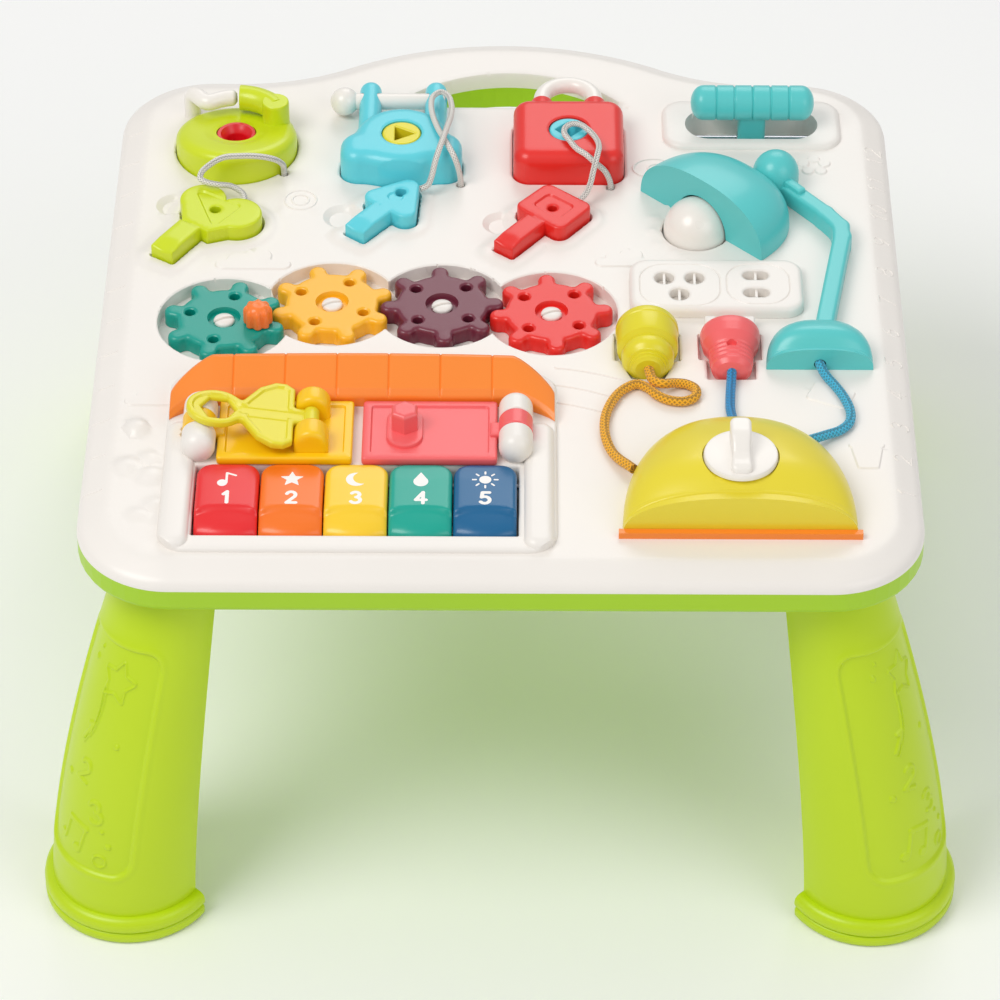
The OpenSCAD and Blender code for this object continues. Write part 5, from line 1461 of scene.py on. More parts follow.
class Hasp:
    """The swinging latch, shaped like a toy aeroplane, between two lobes on the yellow door."""

    REACH = 47.0
    WING = ((-10.5, 3), (-10.5, 19.5), (-14, 22.3), (-18.6, 22.3), (-25.6, 17.8), (-32.3, 8), (-35, 3))

    def plan(self, x: Array, y: Array) -> Array:
        """Outline of the latch lying flat, without its hole.

        Args:
            x: The places' x values in millimetres.
            y: Their y values.

        Returns:
            The signed distances.
        """
        nose = merge(circle(x, y, -self.REACH, 0, 12.6), circle(x, y, -self.REACH - 5, 0, 11), 4)
        body = merge(nose, rect(x, y, -20, 0, 42, 11.2, 1.5), 5)
        wings = polygon(x, np.abs(y), self.WING, 1.7)
        return merge(body, wings, 2.5)

    def hole(self, x: Array, y: Array) -> Array:
        """The hexagonal hole, 15.4 mm across its flats."""
        u, v = np.abs(x + self.REACH), np.abs(y)
        return np.maximum(v, 0.866 * u + 0.5 * v) - 7.7

    def top(self, x: Array, y: Array, d: Array) -> Array:
        """Raised rims round sunk fields."""
        f = self.plan(x, y)
        return 2.0 - edge_drop(np.maximum(f, -self.hole(x, y)), 1.1) - 1.0 * step((-f - 2.7) / 0.9)

    def place(self, p: Array) -> Array:
        """Turns points of the flat latch to its rest pose.

        Args:
            p: Points (n, 3) of the flat latch.

        Returns:
            The points at rest.
        """
        c, s = math.cos(math.radians(HASP_TILT)), math.sin(math.radians(HASP_TILT))
        return np.stack([c * p[:, 0] + s * p[:, 2] + HASP[0], p[:, 1] + HASP[1],
                         c * p[:, 2] - s * p[:, 0] + HASP[2]], 1)

    def build(self) -> None:
        """Makes the latch and the door's two lobes."""
        outline = lambda x, y: np.maximum(self.plan(x, y), -self.hole(x, y))
        flat = Relief(outline, self.top, lambda x, y, d: -2.0 + edge_drop(d, 0.8), (-63.5, -24.2, 2, 24.2),
                      rings=(-0.15, -0.5, -1.1), creases=((self.plan, (-2.7, -3.15, -3.6)),), cell=0.5, fill=2.0)
        verts, faces = flat.solid()
        knuckle = lathe([(0, -6), (3.6, -6), (4, -5.6), (4, 5.6), (3.6, 6), (0, 6)], (0, 0, 0), (0, 1, 0), 40)
        pts, all_faces = join((verts, faces), knuckle)
        show("Hasp", "hasp_leaf", (self.place(pts), all_faces), Finish.LEMON, "hasp")
        cx, cz = HASP[0] + 0.5, HASP[2] - 0.9
        arch = lambda u, v: np.minimum(circle(u, v, cx, cz, 8.8), rect(u, v, cx, cz - 3.4, 17.6, 6.8, 0.6))
        for k, (y0, y1) in enumerate(((-132.0, -118.1), (-104.9, -93.0))):
            lobe = Relief(arch, lambda u, v, d: -y0 - edge_drop(d, 2.6), lambda u, v, d: -y1 + edge_drop(d, 2.6),
                          (cx - 9, cz - 7, cx + 9, cz + 9), rings=(-0.2, -0.7, -1.5, -2.6), cell=0.5, fill=2)
            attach(lobe.build(f"Latch_lobe_{k + 1}", Finish.YELLOW.value, 40.0, upright), "left_leaf")


class Peg:
    """The six-sided peg on the pink door, on its long low boss."""

    def build(self) -> None:
        """Makes the boss and the peg."""
        at = (HASP[0] + 47.0, HASP[1])
        boss = Relief(lambda x, y: capsule(x, y, (at[0], at[1] - 7), (at[0], at[1] + 5), 9.2),
                      lambda x, y, d: DOOR_TOP + 0.9 - edge_drop(d, 0.8), plain(DOOR_TOP - 1.4),
                      (at[0] - 10, at[1] - 17, at[0] + 10, at[1] + 15), rings=(-0.3, -0.8), cell=0.55, fill=2)

        def six(x: Array, y: Array) -> Array:
            """Distance to the peg's six-sided outline."""
            u, v = np.abs(y - at[1]), np.abs(x - at[0])
            return np.maximum(v, 0.866 * u + 0.5 * v) - 6.5

        peg = Relief(six, lambda x, y, d: 248.5 - edge_drop(d, 2.2), plain(DOOR_TOP - 1),
                     (at[0] - 8, at[1] - 8, at[0] + 8, at[1] + 8), rings=(-0.12, -0.4, -0.9, -1.5, -2.2), cell=0.35,
                     fill=1.2)
        show("Pink_door_peg", "right_leaf", join(boss.solid(), peg.solid()), Finish.PINK, sharp=32.0)


@dataclass
class PianoKey:
    """One piano key with a printed motif and number."""

    number: int
    finish: Finish

    @property
    def mid(self) -> float:
        """The key's middle in X."""
        return -135.7 + 32.0 * (self.number - 1)

    def plan(self, x: Array, y: Array) -> Array:
        """Outline: round back corners and a bowed front.

        Args:
            x: The places' x values in millimetres.
            y: Their y values.

        Returns:
            The signed distances.
        """
        u = (x - self.mid) / 15.65
        back = rect(x, y, self.mid, -162, 31.3, 51, 9)
        front = np.maximum(rect(x, y, self.mid, -162, 31.3, 51, 3), -187.5 + 3.0 * u * u - y)
        return np.where(y > -150, back, front)

    def top(self, x: Array, y: Array, d: Array) -> Array:
        """Level over most of its length, with a rounded thumb pad at the front.

        The pad lies below an arched step that is 17 mm from the front edge at the middle of the
        key and nearer to it at the sides, and falls away to the front and to both sides.

        Args:
            x: The places' x values in millimetres.
            y: Their y values.
            d: Their distance to the outline.

        Returns:
            The heights.
        """
        u = (x - self.mid) / 15.65
        t = y + 187.5 - 3.0 * u * u
        pad = np.interp(t, [0, 1, 3, 6, 10, 14, 18], [-1.0, 0.4, 1.7, 2.8, 3.7, 4.5, 5.4]) - 1.3 * np.abs(u) ** 3
        flat = np.interp(t, [0, 30, 37, 46, 51], [6, 6, 6, 5.5, 4.6]) - 0.4 * u * u
        share = step((t - (14.6 - 5.5 * u * u)) / 2.6)
        return DECK + pad + (flat - pad) * share - edge_drop(d, 2.6) * (0.5 + 0.45 * share)

    def motif(self, x: Array, y: Array) -> Array:
        """The printed sign of each key: note, star, moon, drop or sun.

        Args:
            x: The places' x values in millimetres.
            y: Their y values.

        Returns:
            The signed distances.
        """
        cx, cy = self.mid, -150.5
        if self.number == 1:
            head = circle(x, y, cx - 2.6, cy - 3.2, 2.5)
            stem = [(cx - 0.5, cy - 3), (cx - 0.5, cy + 4.6), (cx + 4, cy + 2.6)]
            return np.minimum(head, strokes(x, y, [stem], 0.6))
        if self.number == 2:
            return polygon(x, y, star_points((cx, cy), 5.6, 2.5, 5), 0.2)
        if self.number == 3:
            return np.maximum(circle(x, y, cx, cy, 5.2), -circle(x, y, cx + 2.8, cy + 1.0, 4.5))
        if self.number == 4:
            peak = [(cx - 3.3, cy), (cx + 3.3, cy), (cx, cy + 5.8)]
            return np.minimum(circle(x, y, cx, cy - 1.6, 3.7), polygon(x, y, peak))
        rays = [[(cx + 4.6 * math.cos(a), cy + 4.6 * math.sin(a)), (cx + 6.2 * math.cos(a), cy + 6.2 * math.sin(a))]
                for a in np.arange(8) * math.pi / 4]
        return np.minimum(circle(x, y, cx, cy, 3.0), strokes(x, y, rays, 0.5))

    def build(self) -> None:
        """Makes the key and its white print."""
        x0 = self.mid - 15.65
        body = Relief(self.plan, self.top, lambda x, y, d: np.where(y > -145.5, DECK - 9.9, DECK - 5.9),
                      (x0, -187.5, x0 + 31.3, -136.5), rings=(-0.15, -0.5, -1.1, -2.0, -3.0), cell=0.7, fill=1.6)
        obj = body.build(f"Piano_key_{self.number}_top", self.finish.value, 50.0)
        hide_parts(f"piano_key_{self.number}")
        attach(obj, f"piano_{self.number}")
        skin_z = lambda x, y: self.top(x, y, self.plan(x, y))
        both = lambda x, y: np.minimum(self.motif(x, y), number_field(
            x, y, str(self.number), (self.mid, -164.5), 8.2, 0.95))
        ink = Relief(both, lambda x, y, d: skin_z(x, y) + 0.07, lambda x, y, d: skin_z(x, y) - 0.3,
                     (self.mid - 8, -172, self.mid + 8, -142), cell=0.3, fill=1.2)
        mark = ink.build(f"Key_print_{self.number}", Finish.INK.value)
        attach(mark, f"piano_{self.number}")


def make_house() -> None:
    """Builds the house and everything on it."""
    House().build()
    for door in (Door("Yellow_door_leaf", "left_leaf", "yellow_door", Finish.YELLOW, -142.4, YELLOW_HINGE),
                 Door("Pink_door_leaf", "right_leaf", "pink_door", Finish.PINK, -69.8, PINK_HINGE)):
        door.build()
    Hasp().build()
    Peg().build()
    for k, finish in enumerate((Finish.KEY_RED, Finish.KEY_ORANGE, Finish.KEY_YELLOW, Finish.KEY_TEAL,
                                Finish.KEY_BLUE)):
        PianoKey(k + 1, finish).build()


# ------------------------------------------------------------------ gears and their knob


@dataclass(frozen=True)
class Gear:
    """A toy gear with eight round teeth, four holes and a sunk hub, turning on a split post."""

    name: str
    body: str
    finish: Finish
    at: tuple[float, float]
    phase: float

    HIGH, LOW = 230.3, 221.3

    def folded(self, x: Array, y: Array, share: float, turn: float) -> tuple[Array, Array]:
        """Points turned about the gear's centre into one sector of share degrees.

        Args:
            x: The places' x values in millimetres.
            y: Their y values.
            share: The angle of the sector in degrees.
            turn: The turn in degrees.

        Returns:
            The folded x and y.
        """
        u, v = x - self.at[0], y - self.at[1]
        rho, a = np.hypot(u, v), np.degrees(np.arctan2(v, u)) - self.phase - turn
        a = np.radians((a + share / 2) % share - share / 2)
        return rho * np.cos(a), rho * np.sin(a)

    def teeth(self, x: Array, y: Array) -> Array:
        """Outline of the toothed wheel."""
        u, v = self.folded(x, y, 45, 0)
        return merge(np.hypot(u, v) - 24.4, capsule(u, v, (16, 0), (27.6, 0), 4.6), 2.6)

    def holes(self, x: Array, y: Array) -> Array:
        """The four small holes."""
        u, v = self.folded(x, y, 90, -45)
        return circle(u, v, 18.6, 0, 2.8)

    def top(self, x: Array, y: Array, d: Array) -> Array:
        """Rounded upper edges, a sunk hub and small chamfers round the holes.

        Args:
            x: The places' x values in millimetres.
            y: Their y values.
            d: Their distance to the outline; not used.

        Returns:
            The heights.
        """
        rho = np.hypot(x - self.at[0], y - self.at[1])
        hole = np.clip(1 - self.holes(x, y) / 0.9, 0, 1)
        return self.HIGH - edge_drop(self.teeth(x, y), 2.2) - 3 * (1 - step((rho - 8.0) / 0.7)) - 0.7 * hole

    def build(self) -> None:
        """Makes the gear and its post."""
        hub = lambda x, y: circle(x, y, *self.at, 4.3)
        plan = lambda x, y: np.maximum(np.maximum(self.teeth(x, y), -self.holes(x, y)), -hub(x, y))
        x, y = self.at
        wheel = Relief(plan, self.top, plain(self.LOW), (x - 33, y - 33, x + 33, y + 33),
                       rings=(-0.35, -0.9, -1.5, -2.2), creases=((hub, (3.7, 4.4)),), cell=0.55, fill=2.4)
        obj = wheel.build(self.name, self.finish.value)
        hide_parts(self.name.lower())
        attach(obj, self.body)
        turn = math.radians(20)
        halves = lambda px, py: np.maximum(circle(px, py, x, y, 5.5),
                                           0.55 - np.abs((py - y) * math.cos(turn) - (px - x) * math.sin(turn)))
        head = Relief(halves, lambda px, py, d: 230.1 - 0.035 * ((px - x) ** 2 + (py - y) ** 2) - edge_drop(d, 0.9),
                      plain(227.7), (x - 6, y - 6, x + 6, y + 6), rings=(-0.3, -0.9), cell=0.35, fill=1.3)
        post = lathe([(3.9, 216), (3.9, 228)], (x, y, 0), n=40)
        show(self.name.replace("gear", "post"), "table", join(head.solid(), post), Finish.SHELL, "gear_posts")


class Knob:
    """The lobed knob that stands in a hole of the teal gear."""

    AT = (-126.8, -19.6)

    def plan(self, x: Array, y: Array) -> Array:
        """Eight soft lobes.

        Args:
            x: The places' x values in millimetres.
            y: Their y values.

        Returns:
            The signed distances.
        """
        u, v = x - self.AT[0], y - self.AT[1]
        rho, a = np.hypot(u, v), (np.degrees(np.arctan2(v, u)) + 22.5) % 45 - 22.5
        a = np.radians(a)
        return merge(rho - 6.1, circle(rho * np.cos(a), rho * np.sin(a), 5.6, 0, 2.0), 1.2)

    def top(self, x: Array, y: Array, d: Array) -> Array:
        """A domed top with a small dimple."""
        rho2 = (x - self.AT[0]) ** 2 + (y - self.AT[1]) ** 2
        return 242.6 - 0.02 * rho2 - edge_drop(d, 3.4) - 0.5 * np.exp(-rho2 / 2.2)

    def build(self) -> None:
        """Makes the knob and its peg."""
        x, y = self.AT
        cap = Relief(self.plan, self.top, lambda px, py, d: 230.7 + edge_drop(d, 0.9), (x - 8, y - 8, x + 8, y + 8),
                     rings=(-0.15, -0.5, -1.0, -1.8, -2.6, -3.4), cell=0.3, fill=0.9)
        peg = rod((x, y, 223.7), (x, y, 231.5), 2.7)
        show("Crank_knob", "crank", join(cap.solid(), peg), Finish.KNOB, "crank_knob", sharp=50)


def make_gears() -> None:
    """Builds the four gears and the knob."""
    rows = (("Teal_gear", "gear_a", Finish.TEAL), ("Yellow_gear", "gear_b", Finish.GEAR_YELLOW),
            ("Plum_gear", "gear_c", Finish.PLUM), ("Red_gear", "gear_d", Finish.RED))
    for (name, body, finish), at, phase in zip(rows, GEARS, (30.5, 17.5, 3.0, 5.0)):
        Gear(name, body, finish, at, phase).build()
    Knob().build()


# ------------------------------------------------------------------ the three locks


WELL_FLOOR = DECK - 3.7


def keyhole(at: Sequence[float], high: float, hole: Field2) -> Solid:
    """A round barrel with a shaped keyhole down to 2 mm over the deck.

    Args:
        at: The barrel's middle.
        high: The height of the top.
        hole: Distance to the keyhole.

    Returns:
        The barrel's points and faces.
    """
    x, y = at
    ring = Relief(lambda px, py: np.maximum(circle(px, py, x, y, 10.6), -hole(px, py)),
                  lambda px, py, d: high - edge_drop(circle(px, py, x, y, 10.6), 1.2) - np.clip(
                      0.5 - hole(px, py), 0, 0.5), plain(DECK + 1.9),
                  (x - 11, y - 11, x + 11, y + 11), rings=(-0.3, -0.8, -1.2), cell=0.4, fill=1.8)
    return join(ring.solid(), lathe([(0, WELL_FLOOR), (10.5, WELL_FLOOR), (10.5, DECK + 2), (0, DECK + 2)], (x, y, 0)))


BARREL_BORE = 10.95


def padlock_case(plan: Field2, barrel: Sequence[float], span: tuple[float, float, float, float]) -> Solid:
    """A padlock's rounded case, with a round well for its barrel.

    Args:
        plan: Distance to the case's outline.
        barrel: The middle of its barrel.
        span: The outline's box.

    Returns:
        The case's points and faces.
    """
    bore = lambda x, y: circle(x, y, *barrel, BARREL_BORE)
    high = lambda x, y, d: DECK + 18 - edge_drop(plan(x, y), 7) - 0.5 * step((1.2 - bore(x, y)) / 1.2)
    return Relief(lambda x, y: np.maximum(plan(x, y), -bore(x, y)), high, plain(WELL_FLOOR), span,
                  rings=(-0.3, -0.9, -1.9, -3.2, -5.0, -7.0), creases=((bore, (1.2,)),), cell=0.7, fill=3).solid()


class LimeLock:
    """The round lock: a tilted disc with a hooked bow over a white catch."""

    AT = LIME_LOCK
    HOOK_Z = DECK + 15.2

    def top(self, x: Array, y: Array, d: Array) -> Array:
        """A plane that falls to the back, rounded at the edge and dished round the barrel.

        Args:
            x: The places' x values in millimetres.
            y: Their y values.
            d: Their distance to the outline; not used.

        Returns:
            The heights.
        """
        rho = np.hypot(x - self.AT[0], y - self.AT[1])
        return (DECK + 11.5 - 0.19 * (y - self.AT[1]) - edge_drop(rho - 33, 6)
                - 1.3 * (1 - step((rho - 12.5) / 6.5)))

    def hook(self) -> Solid:
        """The bow: an arc of tube of radius 7, bored from its cut end to let the catch in.

        Returns:
            The tube's points and faces.
        """
        angles = np.concatenate([np.linspace(32, 87.3, 20), [88, 88], np.linspace(87.5, 52, 14)])
        radii = np.concatenate([np.full(20, 7.0), [6.6, 5.6], np.full(14, 5.2)])
        a, s = np.radians(angles)[:, None], (2 * np.pi * np.arange(36) / 36)[None]
        rho = 25.5 + radii[:, None] * np.cos(s)
        z = self.HOOK_Z - radii[:, None] * np.sin(s)
        return skin(np.stack([self.AT[0] + rho * np.cos(a), self.AT[1] + rho * np.sin(a), z], -1))

    def build(self) -> None:
        """Makes the lock, its hook, the barrel and the catch."""
        x, y = self.AT
        bore = lambda px, py: circle(px, py, x, y, 10.95)
        rim = lambda px, py: circle(px, py, x, y, 33)
        disc = Relief(lambda px, py: np.maximum(rim(px, py), -bore(px, py)), self.top, plain(WELL_FLOOR),
                      (x - 33, y - 33, x + 33, y + 33), rings=(-0.4, -1.1, -2.2, -3.8, -6.0),
                      creases=((bore, (1.6, 5.0, 8.0)),), cell=0.8, fill=3)
        a = math.radians(32)
        c = np.radians(np.linspace(0, 90, 10))
        cap = np.stack([2.4 + 5 * np.cos(c), 16.8 + 5 * np.sin(c)], 1).tolist()
        foot = lathe([(0, 0), (9.5, 0), (8.2, 2), (7.4, 5), *cap, (0, 21.8)],
                     (x + 24.9 * math.cos(a), y + 24.9 * math.sin(a), DECK + 3))
        foot = moved(foot, lambda p: np.column_stack([p[:, :2], np.minimum(p[:, 2], DECK + 21.8)]))
        show("Lime_lock", "round_lock", join(disc.solid(), self.hook(), foot), Finish.LIME, "lime_lock", sharp=34)
        funnel = [(0, 0), (10.5, 0), (10.6, 0.2), (10.6, 12.7), (10.2, 13.2), (8.6, 13.1), (7.2, 11.4), (5.5, 9.4),
                  (5.4, 9.0), (5.4, 3.7), (0, 3.7)]
        show("Lime_lock_barrel", "round_barrel", lathe(funnel, (x, y, WELL_FLOOR), n=72), Finish.INSERT_RED,
             "lime_lock_barrel")
        arc = [(25.5, t, self.HOOK_Z) for t in range(91, 126, 6)]
        tail = [(26.3, 127.5, self.HOOK_Z), (29, 130, self.HOOK_Z), (35, 130, self.HOOK_Z),
                (38.2, 130, self.HOOK_Z - 0.8), (39.8, 130, self.HOOK_Z - 3.5), (40, 130, self.HOOK_Z - 8),
                (40, 130, DECK - 0.5)]
        path = spline([(x + r * math.cos(math.radians(t)), y + r * math.sin(math.radians(t)), z)
                       for r, t, z in arc + tail], 0.8)
        run = np.concatenate([[0], np.cumsum(np.linalg.norm(np.diff(path, axis=0), axis=1))])
        radius = 4.55 * np.sqrt(np.clip(1 - np.clip(1 - (run + 0.5) / 4, 0, 1) ** 2, 0.02, 1))
        pts, faces, _ = sweep(path, radius, 28)
        show("Lime_lock_catch", "table", (pts, faces), Finish.BUTTON, "lime_lock_catch", sharp=60)


class BoltLock:
    """The cyan padlock whose bolt slides through two prongs."""

    BOLT = (168.0, DECK + 9)

    def build(self) -> None:
        """Makes the lock, the barrel and the bolt."""
        x, y = CYAN_LOCK
        case = padlock_case(cyan_lock_plan, (x, y), (-88.5, 104.8, -22, 153.2))
        pieces = [case]
        for px0 in (-73.3, -37.3):
            plan = lambda px, py: capsule(px, py, (px0, 140), (px0, 176), 6)
            prong = Relief(plan, lambda px, py, d: DECK + 9 + np.sqrt(np.maximum(36 - (d + 6) ** 2, 0)),
                           plain(DECK - 0.4), (px0 - 6, 134, px0 + 6, 182), rings=(-0.12, -0.5, -1.1, -2, -3.2, -4.6),
                           cell=0.45, fill=1.8)
            pieces.append(carve(prong.solid(), rod((px0 - 8, *self.BOLT), (px0 + 8, *self.BOLT), 4.75, 48)))
        show("Cyan_lock", "table", join(*pieces), Finish.CYAN, "cyan_lock", sharp=34)
        tri = [(x + 7.4 * math.cos(a), y + 7.4 * math.sin(a)) for a in (0, 2.0944, 4.18879)]
        show("Cyan_lock_barrel", "bolt_barrel", keyhole((x, y), DECK + 17.4, lambda px, py: polygon(px, py, tri)),
             Finish.LEMON, "cyan_lock_barrel")
        a = np.radians(np.linspace(-90, 90 - 35.2, 18))
        ball = np.stack([7.8 * np.cos(a), 7.8 * np.sin(a)], 1).tolist()
        bolt = lathe([*ball, (4.5, 7.0), (4.5, 54.8), (4.0, 55.3), (0, 55.3)], (-87.6, *self.BOLT), (1, 0, 0), 48)
        show("Cyan_lock_bolt", "bolt", bolt, Finish.BUTTON, "cyan_lock_bolt")


class ShackleLock:
    """The red padlock with a white shackle at its back."""

    BARREL = (35.4, 131.0)
    SIDES = (20.9, 49.9)
    LEVEL = DECK + 10.5

    def build(self) -> None:
        """Makes the lock, the barrel and the shackle."""
        x, y = self.BARREL
        case = padlock_case(red_lock_plan, (x, y), (5.3, 104.9, 65.5, 161.1))
        legs = [rod((s, 146, self.LEVEL), (s, 175, self.LEVEL), 4.75, 48) for s in self.SIDES]
        pieces = [carve(case, *legs)]
        for s, leg in zip(self.SIDES, legs):
            boss = lathe([(0, 0), (6.5, 0), (6.5, 8.4), (6.2, 9.2), (5.5, 9.5), (0, 9.5)], (s, 154, self.LEVEL),
                         (0, 1, 0), 48)
            pieces.append(carve(boss, leg))
        show("Red_lock", "table", join(*pieces), Finish.RED, "red_lock", sharp=34)
        diamond = lambda px, py: np.abs(px - x) + np.abs(py - y) - 7.4
        show("Red_lock_barrel", "shackle_barrel", keyhole((x, y), DECK + 17.4, diamond), Finish.CYAN,
             "red_lock_barrel")
        a = np.radians(np.linspace(0, 180, 30))
        bend = np.stack([35.4 + 14.5 * np.cos(a), 167.5 + 14.5 * np.sin(a), np.full(30, self.LEVEL)], 1)
        path = np.concatenate([[(49.9, 147, self.LEVEL), (49.9, 147.3, self.LEVEL)], bend,
                               [(20.9, 147.3, self.LEVEL), (20.9, 147, self.LEVEL)]])
        pts, faces, _ = sweep(path, 4.5, 32)
        show("Red_lock_shackle", "shackle", (pts, faces), Finish.BUTTON, "red_lock_shackle", sharp=60)


def make_locks() -> None:
    """Builds the three locks."""
    LimeLock().build()
    BoltLock().build()
    ShackleLock().build()


# ------------------------------------------------------------------ toy keys


@dataclass(frozen=True)
class ToyKey:
    """A flat toy key with a raised rim, a hole and a bore for its cord."""

    name: str
    body: str
    finish: Finish
    plan: Field2
    field: Field2
    hole: tuple[float, float, float]
    tip: tuple[float, float]
    bore: tuple[tuple[float, float, float], tuple[float, float, float]]
    span: tuple[float, float, float, float]

    HIGH, LOW = 238.3, 225.3

    def top(self, x: Array, y: Array, d: Array) -> Array:
        """Rounded edges, a sunk field inside the rim, and a bit that falls at its tip.

        Args:
            x: The places' x values in millimetres.
            y: Their y values.
            d: Their distance to the outline; not used.

        Returns:
            The heights.
        """
        far = np.hypot(x - self.tip[0], y - self.tip[1])
        hole = np.clip(1 - circle(x, y, *self.hole) / 0.8, 0, 1)
        return (self.HIGH - edge_drop(self.plan(x, y), 1.5) - 0.9 * (1 - step((self.field(x, y) + 0.5) / 1.0))
                - 2.2 * step(1 - far / 11) - 0.6 * hole)

    def build(self) -> None:
        """Makes the key."""
        hole = lambda x, y: circle(x, y, *self.hole)
        flat = Relief(lambda x, y: np.maximum(self.plan(x, y), -hole(x, y)), self.top,
                      lambda x, y, d: self.LOW + edge_drop(self.plan(x, y), 0.8), self.span,
                      rings=(-0.2, -0.6, -1.5), creases=((self.field, (-0.5, 0.5)),), cell=0.5, fill=2)
        show(self.name, self.body, carve(flat.solid(), rod(*self.bore, 2.1, 24)), self.finish, self.name.lower())


def make_keys() -> None:
    """Builds the three toy keys."""
    heart_field = lambda x, y: polygon(x, y, [(-161, 82), (-143, 71), (-153, 57.5)], 2.5)
    triangle_field = lambda x, y: polygon(x, y, shrink(TRIANGLE, 11.5), 3.5)
    square_field = lambda x, y: polygon(x, y, shrink(SQUARE, 10), 2.5)
    top = DECK - 3.7
    for key in (
            ToyKey("Heart_key", "key_heart", Finish.LIME, heart_plan, heart_field, (-153.6, 69.6, 3.0), (-180.3, 34.5),
                   ((-138.5, 88, top + 8.2), (-139, 75, top + 8.2)), (-190, 26, -127, 92)),
            ToyKey("Triangle_key", "key_triangle", Finish.CYAN, triangle_plan, triangle_field, (-54.8, 85, 3.0),
                   (-79, 53.2), ((-38, 93.7, top + 9.7), (-51, 89, top + 9.7)), (-88, 46, -38, 107)),
            ToyKey("Square_key", "key_square", Finish.RED, square_plan, square_field, (26.4, 71.8, 2.6), (0.1, 39.9),
                   ((46, 88.2, top + 9.7), (34, 75, top + 9.7)), (-9, 33, 54, 100))):
        key.build()


# ------------------------------------------------------------------ lamp, sockets, plugs, timer and lever


@dataclass(frozen=True)
class HalfMoon:
    """A half-round hump with an upright front plate whose top edge is an arc."""

    at: tuple[float, float]
    half: float
    depth: float
    high: float
    q: float
    ridge: float
    lean: float
    soft: float

    def power(self, x: Array, y: Array) -> Array:
        """Share of the way from the middle of the front to the rim, as a power sum."""
        u, v = np.abs(x - self.at[0]) / self.half, np.maximum(y - self.at[1], 0) / self.depth
        return u ** self.q + v ** self.q

    def plan(self, x: Array, y: Array) -> Array:
        """Outline: half a superellipse.

        Args:
            x: The places' x values in millimetres.
            y: Their y values.

        Returns:
            The signed distances.
        """
        p = np.maximum(self.power(x, y), 1e-9) ** (1 / self.q)
        reach = np.hypot(x - self.at[0], y - self.at[1]) / p
        return np.maximum(reach * (p - 1), self.at[1] - y)

    def edge(self, x: Array) -> Array:
        """Height of the plate's upper edge as a share of its middle."""
        return np.maximum(1 - (np.abs(x - self.at[0]) / self.half) ** self.q, 0) ** (1 / self.q)

    def height(self, x: Array, y: Array) -> Array:
        """Height over the deck behind the front plate.

        The rear is h (1 - |x/a|^q - |y/b|^q)^(1/q). At the plate the surface starts just under
        the plate's edge, and it climbs to the rear one over soft mm.

        Args:
            x: The places' x values in millimetres.
            y: Their y values.

        Returns:
            The heights.
        """
        dome = self.high * np.maximum(1 - self.power(x, y), 0) ** (1 / self.q)
        low = (self.ridge - 0.8) * self.edge(x)
        rise = 1 - (1 - np.clip((y - self.at[1] - self.lean) / self.soft, 0, 1)) ** 2
        return np.maximum(np.minimum(low + (dome - low) * rise, dome), 0.2)

    def relief(self, cell: float, cut: Field2, floor: float, low: float) -> Relief:
        """The hump, with a level seat at floor wherever cut is negative.

        Args:
            cell: The size of the mesh's cells.
            cut: Distance to the seat's outline.
            floor: The seat's height over the deck.
            low: The height of the underside.

        Returns:
            The relief.
        """
        x, y = self.at
        creases = ((cut, (-0.15, 0.15)),) if floor < self.high else ()
        top = lambda px, py, d: DECK + np.where(cut(px, py) < 0, np.minimum(self.height(px, py), floor),
                                                self.height(px, py))
        return Relief(self.plan, top, plain(low), (x - self.half, y, x + self.half, y + self.depth),
                      rings=(-0.1, -0.35, -0.8, -1.6, -3.0), creases=creases, cell=cell, fill=2.6)

    def plate(self, cell: float) -> Solid:
        """The upright front plate: half a superellipse, leaning back, with a rounded edge.

        Args:
            cell: The size of the mesh's cells.

        Returns:
            The plate's points and faces.
        """
        x0, y0 = self.at
        k = self.ridge / self.half

        def arch(u: Array, v: Array) -> Array:
            """Distance to the plate's outline.

            Args:
                u: The places' x.
                v: Their height over the deck.

            Returns:
                The signed distances.
            """
            p = (np.abs(u - x0) / self.half) ** self.q + (np.maximum(v, 0) / self.ridge) ** self.q
            p = np.maximum(p, 1e-9) ** (1 / self.q)
            return np.maximum(np.hypot(u - x0, v) / p * (p - 1), -v)

        flat = Relief(arch, lambda u, v, d: 0 * u - 0.9 * edge_drop(d, 1.2) * (v > 0.6), plain(-self.lean - 1.2),
                      (x0 - self.half, 0, x0 + self.half, self.ridge), rings=(-0.2, -0.6, -1.2), cell=cell, fill=2.6)
        lean = self.lean / self.ridge
        stand = lambda p: np.column_stack([p[:, 0], y0 - p[:, 2] + lean * p[:, 1], DECK + 0.06 + p[:, 1]])
        return moved(flat.solid(), stand)


